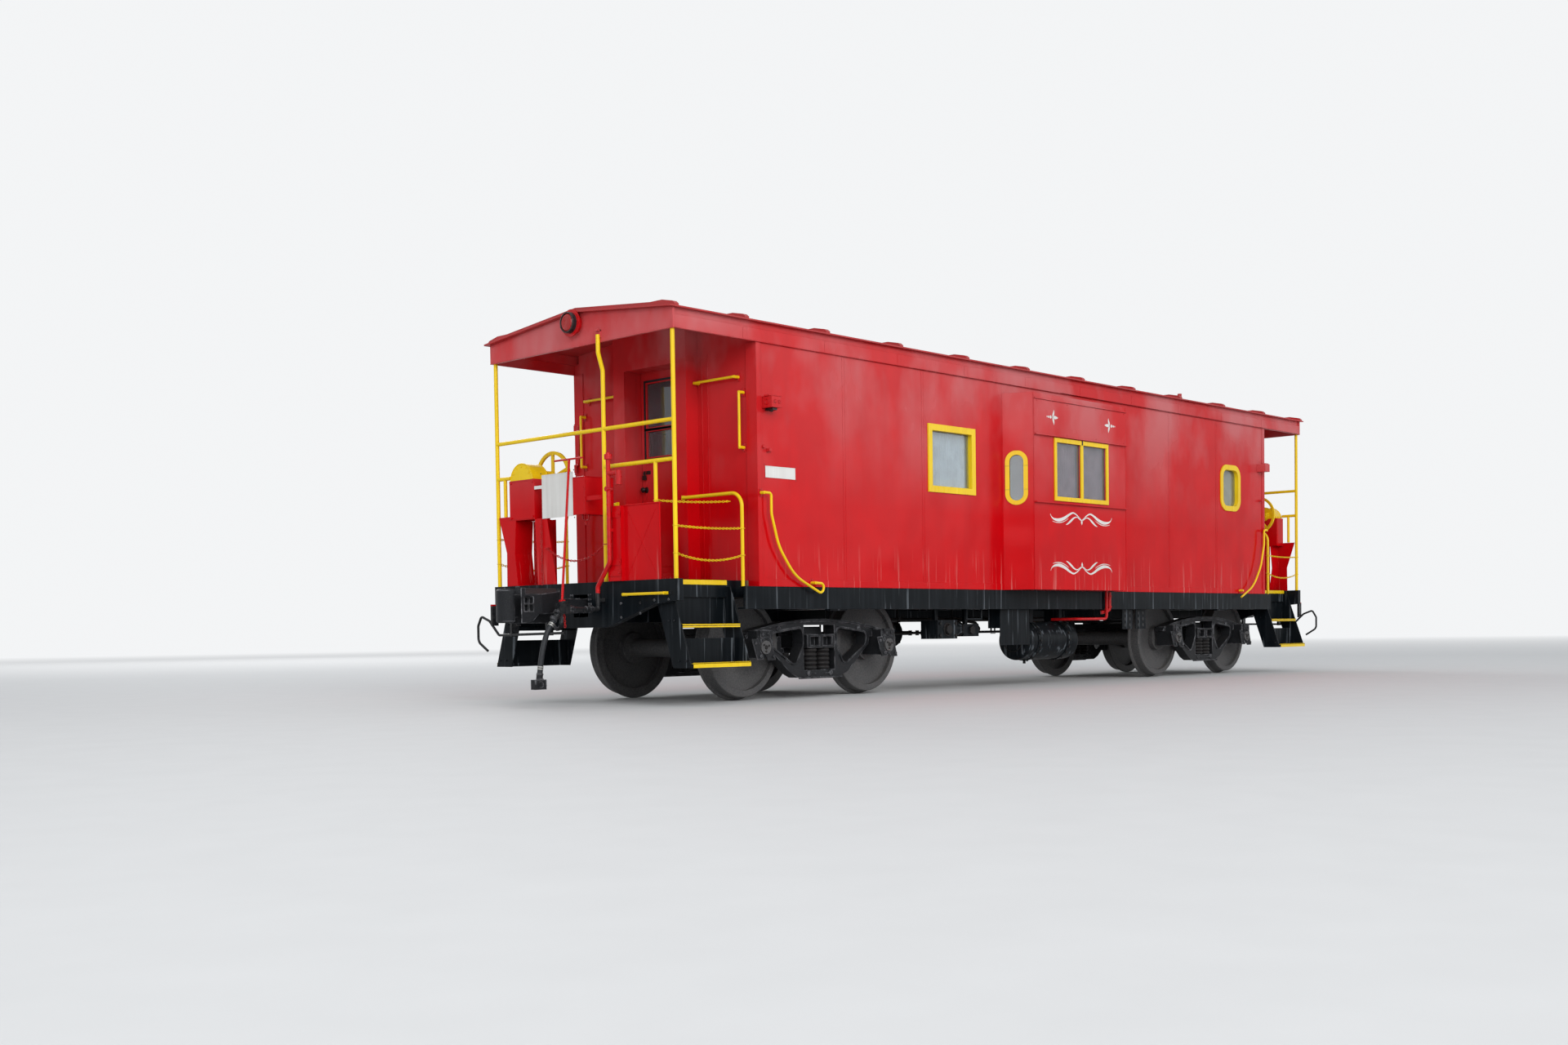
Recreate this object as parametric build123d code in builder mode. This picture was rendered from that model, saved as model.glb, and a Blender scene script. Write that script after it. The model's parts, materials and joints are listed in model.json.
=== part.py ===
from build123d import *
import math
import os

os.makedirs("parts", exist_ok=True)

# Driving dimensions, in millimetres. Heights are given above the rail head,
# and rail_top lifts them so that the wheel flanges stand at zero.
flange_depth = 28
rail_top = flange_depth

# Body
body_half_length = 4709
body_half_width = 1245
wall_thickness = 60
sill_bottom_height = 799
wall_bottom_height = 999
floor_top_height = 1055
bay_top_height = 3045
fascia_bottom_height = bay_top_height + 97
fascia_top_height = fascia_bottom_height + 113
eave_height = fascia_top_height + 57
ridge_height = eave_height + 128
panel_seam = 2

# Roof
roof_half_length = 5760
roof_half_width = 1290
roof_sheet_thickness = 25
roof_edge_thickness = 14
fascia_half_length = 5710
fascia_half_width = 1262
fascia_thickness = 25
rib_half_width = 26
rib_rise = 20
rib_start = -4858
rib_pitch = 1056.5
rib_count = 10
end_rib_x = 5690

# Running gear
wheel_radius = 457
wheelbase = 1727
truck_centre_x = 3629
wheel_back_spacing = 1353
wheel_width = 140
axle_radius = 85
wheel_seat_radius = 97
journal_radius = 75
journal_end_y = 1080
end_cap_radius = 62
end_cap_y = 1112
journal_clearance = 0.3
frame_inner_y = 850
frame_outer_y = 970
bolster_seat_height = 690
centre_plate_radius = 160

# Platforms
platform_half_width = 1060
platform_thickness = 25
end_sill_x = 5640
end_sill_thickness = 70
rail_pipe_radius = 19
rail_x = 5680
post_y = 1222
top_rail_height = 2390
low_rail_height = 2060
short_post_height = 1703

# Coupler
coupler_height = 850
shank_half = 65
shank_gap = 35
coupler_pin_x = 5350
coupler_pin_radius = 35
pin_clearance = 0.3

# Bay
bay_depth = 280
bay_wall_half = 1045
bay_front_half = 890
bay_wall = 45

# Door
door_opening_half = 345
door_threshold = 55
door_top_height = 3055
surround_half = 500
surround_depth = 150
door_thickness = 42
door_lap = 20
door_gap = 5
pin_radius = 8

half_wheelbase = wheelbase / 2
axle_z = rail_top + wheel_radius
wall_inner_y = body_half_width - wall_thickness
floor_top_z = rail_top + floor_top_height
wall_bottom_z = rail_top + wall_bottom_height
sill_bottom_z = rail_top + sill_bottom_height
fascia_bottom_z = rail_top + fascia_bottom_height
fascia_top_z = rail_top + fascia_top_height
eave_z = rail_top + eave_height
ridge_z = rail_top + ridge_height
roof_slope = (ridge_z - eave_z) / roof_half_width
rib_slope = (ridge_z + roof_sheet_thickness - eave_z - roof_edge_thickness) / roof_half_width
node_names = []


def up(height):
    return rail_top + height


def block(x_span, y_span, z_span, mode=Mode.ADD):
    spans = (x_span, y_span, z_span)
    centre = tuple((low + high) / 2 for low, high in spans)
    size = tuple(abs(high - low) for low, high in spans)
    with Locations(centre):
        Box(*size, mode=mode)


def mirrored_blocks(x_span, y_span, z_span, mode=Mode.ADD):
    block(x_span, y_span, z_span, mode)
    block(x_span, tuple(-value for value in y_span), z_span, mode)


def bar(start, end, radius, mode=Mode.ADD):
    run = Vector(*end) - Vector(*start)
    with BuildSketch(Plane(origin=start, z_dir=run)) as profile:
        Circle(radius)
    extrude(profile.sketch, amount=run.length, mode=mode)


def bent_bar(points, bend, radius):
    with BuildLine() as route:
        FilletPolyline(*points, radius=bend)
    with BuildSketch(Plane(origin=route.line @ 0, z_dir=route.line % 0)) as profile:
        Circle(radius)
    sweep(profile.sketch, path=route.line)


def prism_x(outline, x_span, mode=Mode.ADD):
    # The outline is (y, z) pairs, extruded along the car.
    low, high = min(x_span), max(x_span)
    with BuildSketch(Plane(origin=(low, 0, 0), x_dir=(0, 1, 0), z_dir=(1, 0, 0))) as profile:
        Polygon(*outline, align=None)
    extrude(profile.sketch, amount=high - low, mode=mode)


def prism_y(outline, y_span, mode=Mode.ADD):
    # The outline is (x, z) pairs, extruded across the car.
    low, high = min(y_span), max(y_span)
    with BuildSketch(Plane(origin=(0, high, 0), x_dir=(1, 0, 0), z_dir=(0, -1, 0))) as profile:
        Polygon(*outline, align=None)
    extrude(profile.sketch, amount=high - low, mode=mode)


def prism_z(outline, z_span, mode=Mode.ADD):
    low, high = min(z_span), max(z_span)
    with BuildSketch(Plane.XY.offset(low)) as profile:
        Polygon(*outline, align=None)
    extrude(profile.sketch, amount=high - low, mode=mode)


def roof_under_z(y):
    return eave_z + (roof_half_width - abs(y)) * roof_slope


def write(piece, name):
    piece.part.label = name
    export_step(piece.part, f"parts/{name}.step")
    node_names.append(name)


def write_group(name, *pieces):
    # Plates that only touch stay separate solids of one node.
    group = Compound([solid for piece in pieces for solid in piece.part.solids()])
    group.label = name
    export_step(group, f"parts/{name}.step")
    node_names.append(name)


def turned(piece):
    # The far end repeats the near end, turned half round about the middle.
    with BuildPart() as copy:
        add(piece.part, rotation=(0, 0, 180))
    return copy


def write_pair(piece, near_name, far_name):
    write(piece, near_name)
    write(turned(piece), far_name)


def both_ends(*pieces):
    with BuildPart() as pair:
        for piece in pieces:
            add(piece.part)
            add(piece.part, rotation=(0, 0, 180))
    return pair


# Underframe
centre_sill_half = 165
centre_sill_wall = 20
centre_sill_bottom = bolster_seat_height + 9

with BuildPart() as centre_sill:
    block((-end_sill_x, end_sill_x), (-centre_sill_half, centre_sill_half), (up(centre_sill_bottom), wall_bottom_z))
    pocket_half = centre_sill_half - centre_sill_wall
    block(
        (-end_sill_x, end_sill_x),
        (-pocket_half, pocket_half),
        (up(centre_sill_bottom) + centre_sill_wall, wall_bottom_z - centre_sill_wall),
        mode=Mode.SUBTRACT,
    )
    for end in (-1, 1):
        truck_x = end * truck_centre_x
        bar((truck_x, 0, up(bolster_seat_height)), (truck_x, 0, up(centre_sill_bottom)), centre_plate_radius)
        pin_x = end * coupler_pin_x
        bar((pin_x, 0, up(centre_sill_bottom)), (pin_x, 0, wall_bottom_z), coupler_pin_radius)

sill_web = 20
sill_flange = 90
sill_flange_thickness = 16
side_sill_half_length = 4890

# Jacking pads under the sills, over the truck centres
pad_half_length = 120
pad_thickness = 14
pad_inset = 4

with BuildPart() as sill_webs:
    for side in (-1, 1):
        outer = side * body_half_width
        block(
            (-side_sill_half_length, side_sill_half_length),
            (outer, outer - side * sill_web),
            (sill_bottom_z, wall_bottom_z),
        )

flange_places = (sill_bottom_z, wall_bottom_z - sill_flange_thickness)
sill_flanges = []
for flange_z in flange_places:
    with BuildPart() as flanges:
        for side in (-1, 1):
            outer = side * body_half_width
            block(
                (-side_sill_half_length, side_sill_half_length),
                (outer - side * sill_web, outer - side * sill_flange),
                (flange_z, flange_z + sill_flange_thickness),
            )
    sill_flanges.append(flanges)

with BuildPart() as jacking_pads:
    for side in (-1, 1):
        pad_outer = side * (body_half_width - sill_web - pad_inset)
        pad_inner = side * (body_half_width - sill_flange + pad_inset)
        for pad_x in (-truck_centre_x, truck_centre_x):
            block(
                (pad_x - pad_half_length, pad_x + pad_half_length),
                (pad_outer, pad_inner),
                (sill_bottom_z - pad_thickness, sill_bottom_z),
            )
write_group("side_sills", sill_webs, *sill_flanges, jacking_pads)

bolster_beam_half = 150
bearer_half = 40
bearer_positions = (-1250, 0, 1250)

with BuildPart() as cross_members:
    for side in (-1, 1):
        inner_y = side * centre_sill_half
        outer_y = side * (body_half_width - sill_flange)
        for centre_x in (-truck_centre_x, truck_centre_x):
            block(
                (centre_x - bolster_beam_half, centre_x + bolster_beam_half),
                (inner_y, outer_y),
                (sill_bottom_z, wall_bottom_z),
            )
        for centre_x in bearer_positions:
            block((centre_x - bearer_half, centre_x + bearer_half), (inner_y, outer_y), (sill_bottom_z, wall_bottom_z))
with BuildPart() as underframe:
    add(centre_sill.part)
    add(cross_members.part)
write(underframe, "underframe")

with BuildPart() as floor:
    block((-body_half_length, body_half_length), (-wall_inner_y, wall_inner_y), (wall_bottom_z, floor_top_z))
write(floor, "floor")

skirt_thickness = 14
skirt_bottom_height = 905

with BuildPart() as near_deck:
    deck_span = (-end_sill_x, -body_half_length)
    block(deck_span, (-platform_half_width, platform_half_width), (floor_top_z - platform_thickness, floor_top_z))
    mirrored_blocks(
        deck_span,
        (platform_half_width - skirt_thickness, platform_half_width),
        (up(skirt_bottom_height), floor_top_z - platform_thickness),
    )
    block(deck_span, (-centre_sill_half, centre_sill_half), (wall_bottom_z, floor_top_z - platform_thickness))
write(both_ends(near_deck), "platform_decks")

end_sill_outline = (
    (-1262, floor_top_z),
    (1262, floor_top_z),
    (1262, up(872)),
    (980, up(848)),
    (360, up(655)),
    (-360, up(655)),
    (-980, up(848)),
    (-1262, up(872)),
)

with BuildPart() as near_end_sill:
    prism_x(end_sill_outline, (-end_sill_x - end_sill_thickness, -end_sill_x))
    block(
        (-end_sill_x - end_sill_thickness, -end_sill_x),
        (-shank_half - shank_gap, shank_half + shank_gap),
        (up(coupler_height - shank_half - shank_gap), up(coupler_height + shank_half + shank_gap)),
        mode=Mode.SUBTRACT,
    )
write(both_ends(near_end_sill), "end_sills")

# Steps
step_plate_thickness = 12
step_near_x = end_sill_x
step_far_x = 4930
tread_thickness = 32
step_lean = 0.34
step_depth = 226
middle_tread_height = 672
bottom_tread_height = 335
step_plate_bottom = 300


def step_edge(height):
    return 1157 + step_lean * (865 - height)


with BuildPart() as near_steps:
    plate_outline = [
        (step_edge(wall_bottom_height), up(wall_bottom_height)),
        (step_edge(step_plate_bottom), up(step_plate_bottom)),
        (step_edge(step_plate_bottom) - step_depth, up(step_plate_bottom)),
        (step_edge(905) - step_depth, up(905)),
        (platform_half_width, up(905)),
        (platform_half_width, up(wall_bottom_height)),
    ]
    for side in (-1, 1):
        outline = [(side * y, z) for y, z in plate_outline]
        for plate_x in (-step_near_x, -step_far_x - step_plate_thickness):
            prism_x(outline, (plate_x, plate_x + step_plate_thickness))
        tread_span = (-step_near_x + step_plate_thickness, -step_far_x - step_plate_thickness)
        for height, reach in ((middle_tread_height, 10), (bottom_tread_height, 22)):
            front = step_edge(height) + reach
            block(tread_span, (side * front, side * (front - step_depth)), (up(height - tread_thickness), up(height)))
        for height, rise in ((middle_tread_height, 240), (bottom_tread_height, 215)):
            back = step_edge(height) - step_depth + 30
            block(tread_span, (side * back, side * (back + 8)), (up(height), up(height + rise)))
write(both_ends(near_steps), "steps")

# Side walls
strip_lap = 8
wall_top_z = fascia_top_z - strip_lap
panel_breaks = (
    (-body_half_length, -3555),
    (-3555, -2380),
    (-2380, -bay_wall_half),
    (bay_wall_half, 2319),
    (2319, 3457),
    (3457, body_half_length),
)
plain_ends = (bay_wall_half, body_half_length)
window_frame_width = 46
square_window = {"left": -2305, "right": -1534, "bottom": 1958, "top": 2632}
small_window = {"left": 3556, "right": 4062, "bottom": 2035, "top": 2613}
small_window_corner = 150


def window_opening(window, grow, y_span, corner=0, mode=Mode.SUBTRACT):
    # The opening is the frame's outline, grown or shrunk all round.
    centre_x = (window["left"] + window["right"]) / 2
    centre_z = rail_top + (window["bottom"] + window["top"]) / 2
    width = window["right"] - window["left"] + 2 * grow
    height = window["top"] - window["bottom"] + 2 * grow
    high = max(y_span)
    with BuildSketch(Plane(origin=(centre_x, high, centre_z), x_dir=(1, 0, 0), z_dir=(0, -1, 0))) as profile:
        if corner:
            RectangleRounded(width, height, corner + grow)
        else:
            Rectangle(width, height)
    extrude(profile.sketch, amount=high - min(y_span), mode=mode)


wall_span = (-body_half_width, -wall_inner_y)

with BuildPart() as left_side_panels:
    for start, end in panel_breaks:
        low = start if abs(start) in plain_ends else start + panel_seam / 2
        high = end if abs(end) in plain_ends else end - panel_seam / 2
        block((low, high), wall_span, (wall_bottom_z, wall_top_z))
    block((-bay_wall_half, bay_wall_half), wall_span, (up(bay_top_height), wall_top_z))
    window_opening(square_window, -window_frame_width, wall_span)
    window_opening(small_window, -window_frame_width, wall_span, small_window_corner)
write(both_ends(left_side_panels), "side_panels")

stud_width = 70
stud_thickness = 20
stud_positions = (-3555, -2380, 2319, 3457)

with BuildPart() as left_studs:
    for centre_x in stud_positions:
        block(
            (centre_x - stud_width / 2, centre_x + stud_width / 2),
            (-wall_inner_y, -wall_inner_y + stud_thickness),
            (floor_top_z, wall_top_z),
        )

# Bays
bay_outer_y = body_half_width + bay_depth
bay_corner_share = 0.6


def bay_outline(inset):
    # The slanted faces stop at the wall's outer face; short jambs run on through the wall.
    wall_half = bay_wall_half - inset
    front_half = bay_front_half - inset * bay_corner_share
    right = [(wall_half, -wall_inner_y), (wall_half, -body_half_width), (front_half, -bay_outer_y + inset)]
    return right + [(-x, y) for x, y in reversed(right)]


bay_window = {"left": -521, "right": 521, "bottom": 1938, "top": bay_top_height - 444}
bay_mullion = 46
oval_place = 0.44
oval_width = 236
oval_height = 566
oval_middle_height = 2164
oval_opening_width = oval_width - 2 * window_frame_width + 20
oval_opening_height = oval_height - 2 * window_frame_width + 20
oval_cut_margin = 5
bay_light_half = 480


def oval_plane(side, out):
    # A plane on the slanted face, at the middle of its oval window.
    along = oval_place
    centre = Vector(
        side * (bay_wall_half - (bay_wall_half - bay_front_half) * along),
        -body_half_width - bay_depth * along,
        up(oval_middle_height),
    )
    normal = Vector(side * bay_depth, -(bay_wall_half - bay_front_half), 0).normalized()
    return Plane(origin=centre + normal * out, x_dir=(0, 0, 1), z_dir=normal)


# Each bay is a floor and a crown plate between a front panel and two slanted panels.
bay_height = (wall_bottom_z, up(bay_top_height))
bay_inner_corner = (bay_front_half - bay_wall * bay_corner_share, -bay_outer_y + bay_wall)

with BuildPart() as left_bay_plates:
    prism_z(bay_outline(bay_wall), (bay_height[0], bay_height[0] + bay_wall))
    prism_z(bay_outline(bay_wall), (bay_height[1] - bay_wall, bay_height[1]))

with BuildPart() as left_bay_front:
    front_outline = (
        (-bay_front_half, -bay_outer_y),
        (bay_front_half, -bay_outer_y),
        bay_inner_corner,
        (-bay_inner_corner[0], bay_inner_corner[1]),
    )
    prism_z(front_outline, bay_height)
    for start, end in ((-bay_light_half, -bay_mullion / 2), (bay_mullion / 2, bay_light_half)):
        block(
            (start, end),
            (-bay_outer_y, -bay_outer_y + bay_wall),
            (up(bay_window["bottom"] + window_frame_width), up(bay_window["top"] - window_frame_width)),
            mode=Mode.SUBTRACT,
        )

left_bay_slants = []
for side in (-1, 1):
    with BuildPart() as slant:
        slant_outline = (
            (side * bay_wall_half, -wall_inner_y),
            (side * bay_wall_half, -body_half_width),
            (side * bay_front_half, -bay_outer_y),
            (side * bay_inner_corner[0], bay_inner_corner[1]),
            (side * (bay_wall_half - bay_wall), -body_half_width),
            (side * (bay_wall_half - bay_wall), -wall_inner_y),
        )
        prism_z(slant_outline, bay_height)
        with BuildSketch(oval_plane(side, oval_cut_margin)):
            SlotOverall(oval_opening_height, oval_opening_width)
        extrude(amount=-bay_wall - 3 * oval_cut_margin, mode=Mode.SUBTRACT)
    left_bay_slants.append(slant)

# Trim on the bays: the number board and the ledges.
bay_board = {"bottom": bay_top_height - 423, "top": bay_top_height - 67, "proud": 10}
ledge_thickness = 14
bay_ledges = (
    {"height": bay_top_height - 437, "reach": 34},
    {"height": bay_window["bottom"] - 33, "reach": 34},
    {"height": bay_board["top"] + 2, "reach": 22},
)

with BuildPart() as left_bay_trim:
    block(
        (-bay_front_half, bay_front_half),
        (-bay_outer_y - bay_board["proud"], -bay_outer_y),
        (up(bay_board["bottom"]), up(bay_board["top"])),
    )
    for ledge in bay_ledges:
        block(
            (-bay_front_half, bay_front_half),
            (-bay_outer_y - ledge["reach"], -bay_outer_y),
            (up(ledge["height"]), up(ledge["height"] + ledge_thickness)),
        )
bay_pieces = (left_bay_plates, left_bay_front, *left_bay_slants, left_bay_trim)
write_group("bays", *(both_ends(piece) for piece in bay_pieces))

# Window frames and glass
frame_proud = 14
glass_thickness = 6
glass_depth = 34
bay_glass_depth = 12
frame_rebate = 18
oval_glass_lap = 10
side_frame_span = (-body_half_width - frame_proud, -wall_inner_y)

with BuildPart() as side_frames:
    outer_span = (-body_half_width - frame_proud, -body_half_width)
    window_opening(square_window, 0, outer_span, mode=Mode.ADD)
    window_opening(square_window, -window_frame_width, side_frame_span, mode=Mode.ADD)
    window_opening(square_window, -window_frame_width - frame_rebate, side_frame_span)
    window_opening(small_window, 0, outer_span, small_window_corner, mode=Mode.ADD)
    window_opening(small_window, -window_frame_width, side_frame_span, small_window_corner, mode=Mode.ADD)
    window_opening(small_window, -window_frame_width - frame_rebate, side_frame_span, small_window_corner)

with BuildPart() as side_glass:
    glass_span = (-body_half_width + glass_depth, -body_half_width + glass_depth + glass_thickness)
    window_opening(square_window, -window_frame_width - frame_rebate, glass_span, mode=Mode.ADD)
    window_opening(small_window, -window_frame_width - frame_rebate, glass_span, small_window_corner, mode=Mode.ADD)

bay_span = (-bay_outer_y - frame_proud, -bay_outer_y)
bay_lights = [
    {
        "left": left,
        "right": right,
        "bottom": bay_window["bottom"] + window_frame_width,
        "top": bay_window["top"] - window_frame_width,
    }
    for left, right in ((-bay_light_half, -bay_mullion / 2), (bay_mullion / 2, bay_light_half))
]

with BuildPart() as bay_frames:
    window_opening(bay_window, 0, bay_span, mode=Mode.ADD)
    for light in bay_lights:
        window_opening(light, 0, bay_span)
    for side in (-1, 1):
        with BuildSketch(oval_plane(side, 0)):
            SlotOverall(oval_height, oval_width)
            SlotOverall(
                oval_height - 2 * window_frame_width,
                oval_width - 2 * window_frame_width,
                mode=Mode.SUBTRACT,
            )
        extrude(amount=frame_proud)
write(both_ends(side_frames, bay_frames), "window_frames")

with BuildPart() as bay_glass:
    bay_glass_y = -bay_outer_y + bay_glass_depth
    oval_inset = 2 * (window_frame_width - oval_glass_lap)
    for light in bay_lights:
        window_opening(light, 0, (bay_glass_y, bay_glass_y + glass_thickness), mode=Mode.ADD)
    for side in (-1, 1):
        with BuildSketch(oval_plane(side, -bay_glass_depth)):
            SlotOverall(oval_height - oval_inset, oval_width - oval_inset)
        extrude(amount=-glass_thickness)
write(both_ends(side_glass, bay_glass), "window_glass")

# End walls, door surrounds and doors
with BuildPart() as near_end_wall:
    wall_outline = (
        (-wall_inner_y, floor_top_z),
        (wall_inner_y, floor_top_z),
        (wall_inner_y, roof_under_z(wall_inner_y)),
        (0, ridge_z),
        (-wall_inner_y, roof_under_z(wall_inner_y)),
    )
    wall_x = (-body_half_length, -body_half_length + wall_thickness)
    prism_x(wall_outline, wall_x)
    block(
        wall_x,
        (-door_opening_half, door_opening_half),
        (floor_top_z + door_threshold, up(door_top_height)),
        mode=Mode.SUBTRACT,
    )
write(both_ends(near_end_wall), "end_walls")

surround_x = (-body_half_length - surround_depth, -body_half_length)
threshold_z = floor_top_z + door_threshold

with BuildPart() as near_jambs:
    mirrored_blocks(surround_x, (door_opening_half, surround_half), (floor_top_z, up(door_top_height)))

with BuildPart() as near_threshold:
    block(surround_x, (-door_opening_half, door_opening_half), (floor_top_z, threshold_z))

with BuildPart() as near_header:
    header_outline = (
        (-surround_half, up(door_top_height)),
        (surround_half, up(door_top_height)),
        (surround_half, roof_under_z(surround_half)),
        (0, ridge_z),
        (-surround_half, roof_under_z(surround_half)),
    )
    prism_x(header_outline, surround_x)

door_half = door_opening_half + door_lap
door_end_lap = 15
door_bottom_z = floor_top_z + door_threshold - door_end_lap
door_top_z = up(door_top_height) + door_end_lap
door_face_x = -body_half_length + wall_thickness + door_gap
hinge_stand_off = 14
hinge_y = -door_half - hinge_stand_off
hinge_x = door_face_x + door_thickness
hinge_heights = (1350, 2150, door_top_height - 205)
hinge_leaf = 90
hinge_ear = 45
hinge_side_gap = 1
hinge_ear_lap = 4
hinge_strap = {"width": 60, "thickness": 6}
knuckle_wall = 5
door_handle = {"y": 290, "end_y": 190, "height": 1950, "reach": 50, "radius": 8}
door_light_half = 272
door_lights = ({"bottom": 2262, "top": 2500}, {"bottom": 2540, "top": door_top_height - 105})

with BuildPart() as near_door:
    block((door_face_x, hinge_x), (-door_half, door_half), (door_bottom_z, door_top_z))
    for light in door_lights:
        block(
            (door_face_x, hinge_x),
            (-door_light_half, door_light_half),
            (up(light["bottom"]), up(light["top"])),
            mode=Mode.SUBTRACT,
        )
    for hinge_height in hinge_heights:
        knuckle = [(hinge_x, hinge_y, up(z)) for z in (hinge_height, hinge_height + hinge_leaf)]
        bar(*knuckle, pin_radius + knuckle_wall)
        block(
            (hinge_x, hinge_x + hinge_strap["thickness"]),
            (hinge_y, hinge_y + hinge_strap["width"]),
            (up(hinge_height), up(hinge_height + hinge_leaf)),
        )
        bar(*knuckle, pin_radius + pin_clearance, mode=Mode.SUBTRACT)
    handle_z = up(door_handle["height"])
    handle_x = hinge_x + door_handle["reach"]
    bar((hinge_x, door_handle["y"], handle_z), (handle_x, door_handle["y"], handle_z), door_handle["radius"])
    bar((handle_x, door_handle["y"], handle_z), (handle_x, door_handle["end_y"], handle_z), door_handle["radius"])
write_pair(near_door, "near_door", "far_door")

door_glass_depth = 18

with BuildPart() as near_door_glass:
    glass_x = door_face_x + door_glass_depth
    for light in door_lights:
        block(
            (glass_x, glass_x + glass_thickness),
            (-door_light_half, door_light_half),
            (up(light["bottom"]), up(light["top"])),
        )
write_pair(near_door_glass, "near_door_glass", "far_door_glass")

with BuildPart() as near_hinges:
    for hinge_height in hinge_heights:
        below = hinge_height - hinge_side_gap - hinge_ear
        above = hinge_height + hinge_leaf + hinge_side_gap
        bar((hinge_x, hinge_y, up(below)), (hinge_x, hinge_y, up(above + hinge_ear)), pin_radius)
        for low in (below, above):
            bar((hinge_x, hinge_y, up(low)), (hinge_x, hinge_y, up(low + hinge_ear)), pin_radius + knuckle_wall)
            block(
                (door_face_x - door_gap, hinge_x),
                (hinge_y - pin_radius - knuckle_wall, hinge_y + hinge_ear_lap),
                (up(low), up(low + hinge_ear)),
            )
write_group(
    "door_surrounds",
    both_ends(near_jambs, near_hinges),
    both_ends(near_threshold),
    both_ends(near_header),
)

# Corner posts
post_end_width = 125
post_side_width = 42
post_thickness = 8

with BuildPart() as near_corner_posts:
    for side in (-1, 1):
        outer = side * body_half_width
        block(
            (-body_half_length - post_thickness, -body_half_length),
            (outer + side * post_thickness, outer - side * post_end_width),
            (wall_bottom_z, fascia_bottom_z),
        )
        block(
            (-body_half_length, -body_half_length + post_side_width),
            (outer, outer + side * post_thickness),
            (wall_bottom_z, fascia_bottom_z),
        )
write(both_ends(left_studs, near_corner_posts), "wall_posts")

# Roof
with BuildPart() as roof:
    roof_outline = (
        (-roof_half_width, eave_z),
        (0, ridge_z),
        (roof_half_width, eave_z),
        (roof_half_width, eave_z + roof_edge_thickness),
        (0, ridge_z + roof_sheet_thickness),
        (-roof_half_width, eave_z + roof_edge_thickness),
    )
    prism_x(roof_outline, (-roof_half_length, roof_half_length))
write(roof, "roof")

# Each seam cap is two strips that meet a ridge gap. It swells above the eave.
rib_ridge_gap = 3
rib_rises = (
    {"inset": 0, "rise": 14},
    {"inset": 25, "rise": 32},
    {"inset": 150, "rise": 45},
    {"inset": 300, "rise": 30},
    {"inset": roof_half_width - rib_ridge_gap, "rise": rib_rise},
)
rib_places = [rib_start + rib_pitch * number for number in range(rib_count)] + [-end_rib_x, end_rib_x]

with BuildPart() as roof_ribs:
    rib_foot_z = eave_z + roof_edge_thickness
    for side in (-1, 1):
        rib_outline = [(side * roof_half_width, rib_foot_z)]
        for row in rib_rises:
            rib_top_z = rib_foot_z + row["inset"] * rib_slope + row["rise"]
            rib_outline.append((side * (roof_half_width - row["inset"]), rib_top_z))
        rib_outline.append((side * rib_ridge_gap, rib_foot_z + (roof_half_width - rib_ridge_gap) * rib_slope))
        for centre_x in rib_places:
            prism_x(rib_outline, (centre_x - rib_half_width, centre_x + rib_half_width))
write(roof_ribs, "roof_ribs")

eave_strip_width = 30
eave_strip_height = 20
eave_strip_inner = body_half_width - eave_strip_width

with BuildPart() as eave_strips:
    for side in (-1, 1):
        outline = (
            (side * eave_strip_inner, wall_top_z),
            (side * body_half_width, wall_top_z),
            (side * body_half_width, roof_under_z(body_half_width)),
            (side * eave_strip_inner, roof_under_z(eave_strip_inner)),
        )
        prism_x(outline, (-fascia_half_length + fascia_thickness, fascia_half_length - fascia_thickness))

with BuildPart() as side_fascias:
    for side in (-1, 1):
        block(
            (-fascia_half_length + fascia_thickness, fascia_half_length - fascia_thickness),
            (side * body_half_width, side * fascia_half_width),
            (fascia_bottom_z, fascia_top_z),
        )
        for end in (-1, 1):
            block(
                (end * body_half_length, end * (fascia_half_length - fascia_thickness)),
                (side * eave_strip_inner, side * body_half_width),
                (fascia_top_z - eave_strip_height, fascia_top_z),
            )
with BuildPart() as eaves:
    add(eave_strips.part)
    add(side_fascias.part)
write(eaves, "side_fascias")

with BuildPart() as near_end_fascia:
    fascia_outline = (
        (-fascia_half_width, fascia_bottom_z),
        (fascia_half_width, fascia_bottom_z),
        (fascia_half_width, roof_under_z(fascia_half_width)),
        (0, ridge_z),
        (-fascia_half_width, roof_under_z(fascia_half_width)),
    )
    prism_x(fascia_outline, (-fascia_half_length, -fascia_half_length + fascia_thickness))
write(both_ends(near_end_fascia), "end_fascias")

# Roof walk remains and vents
walk_places = ({"start": -2220, "end": -750}, {"start": 2510, "end": 3720})
stringer_places = (-330, -210, 210, 330)
stringer_half = 20
stringer_rise = 70
cross_board_half = 25
cross_board_reach = 350
cross_board_thickness = 25
cross_board_inset = 120
vent = {"x": 1750, "y": -150, "radius": 190, "rise": 62, "dome": 45, "dome_top": 95}
flue = {"x": 4500, "y": -150, "radius": 28, "rise": 230}

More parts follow.
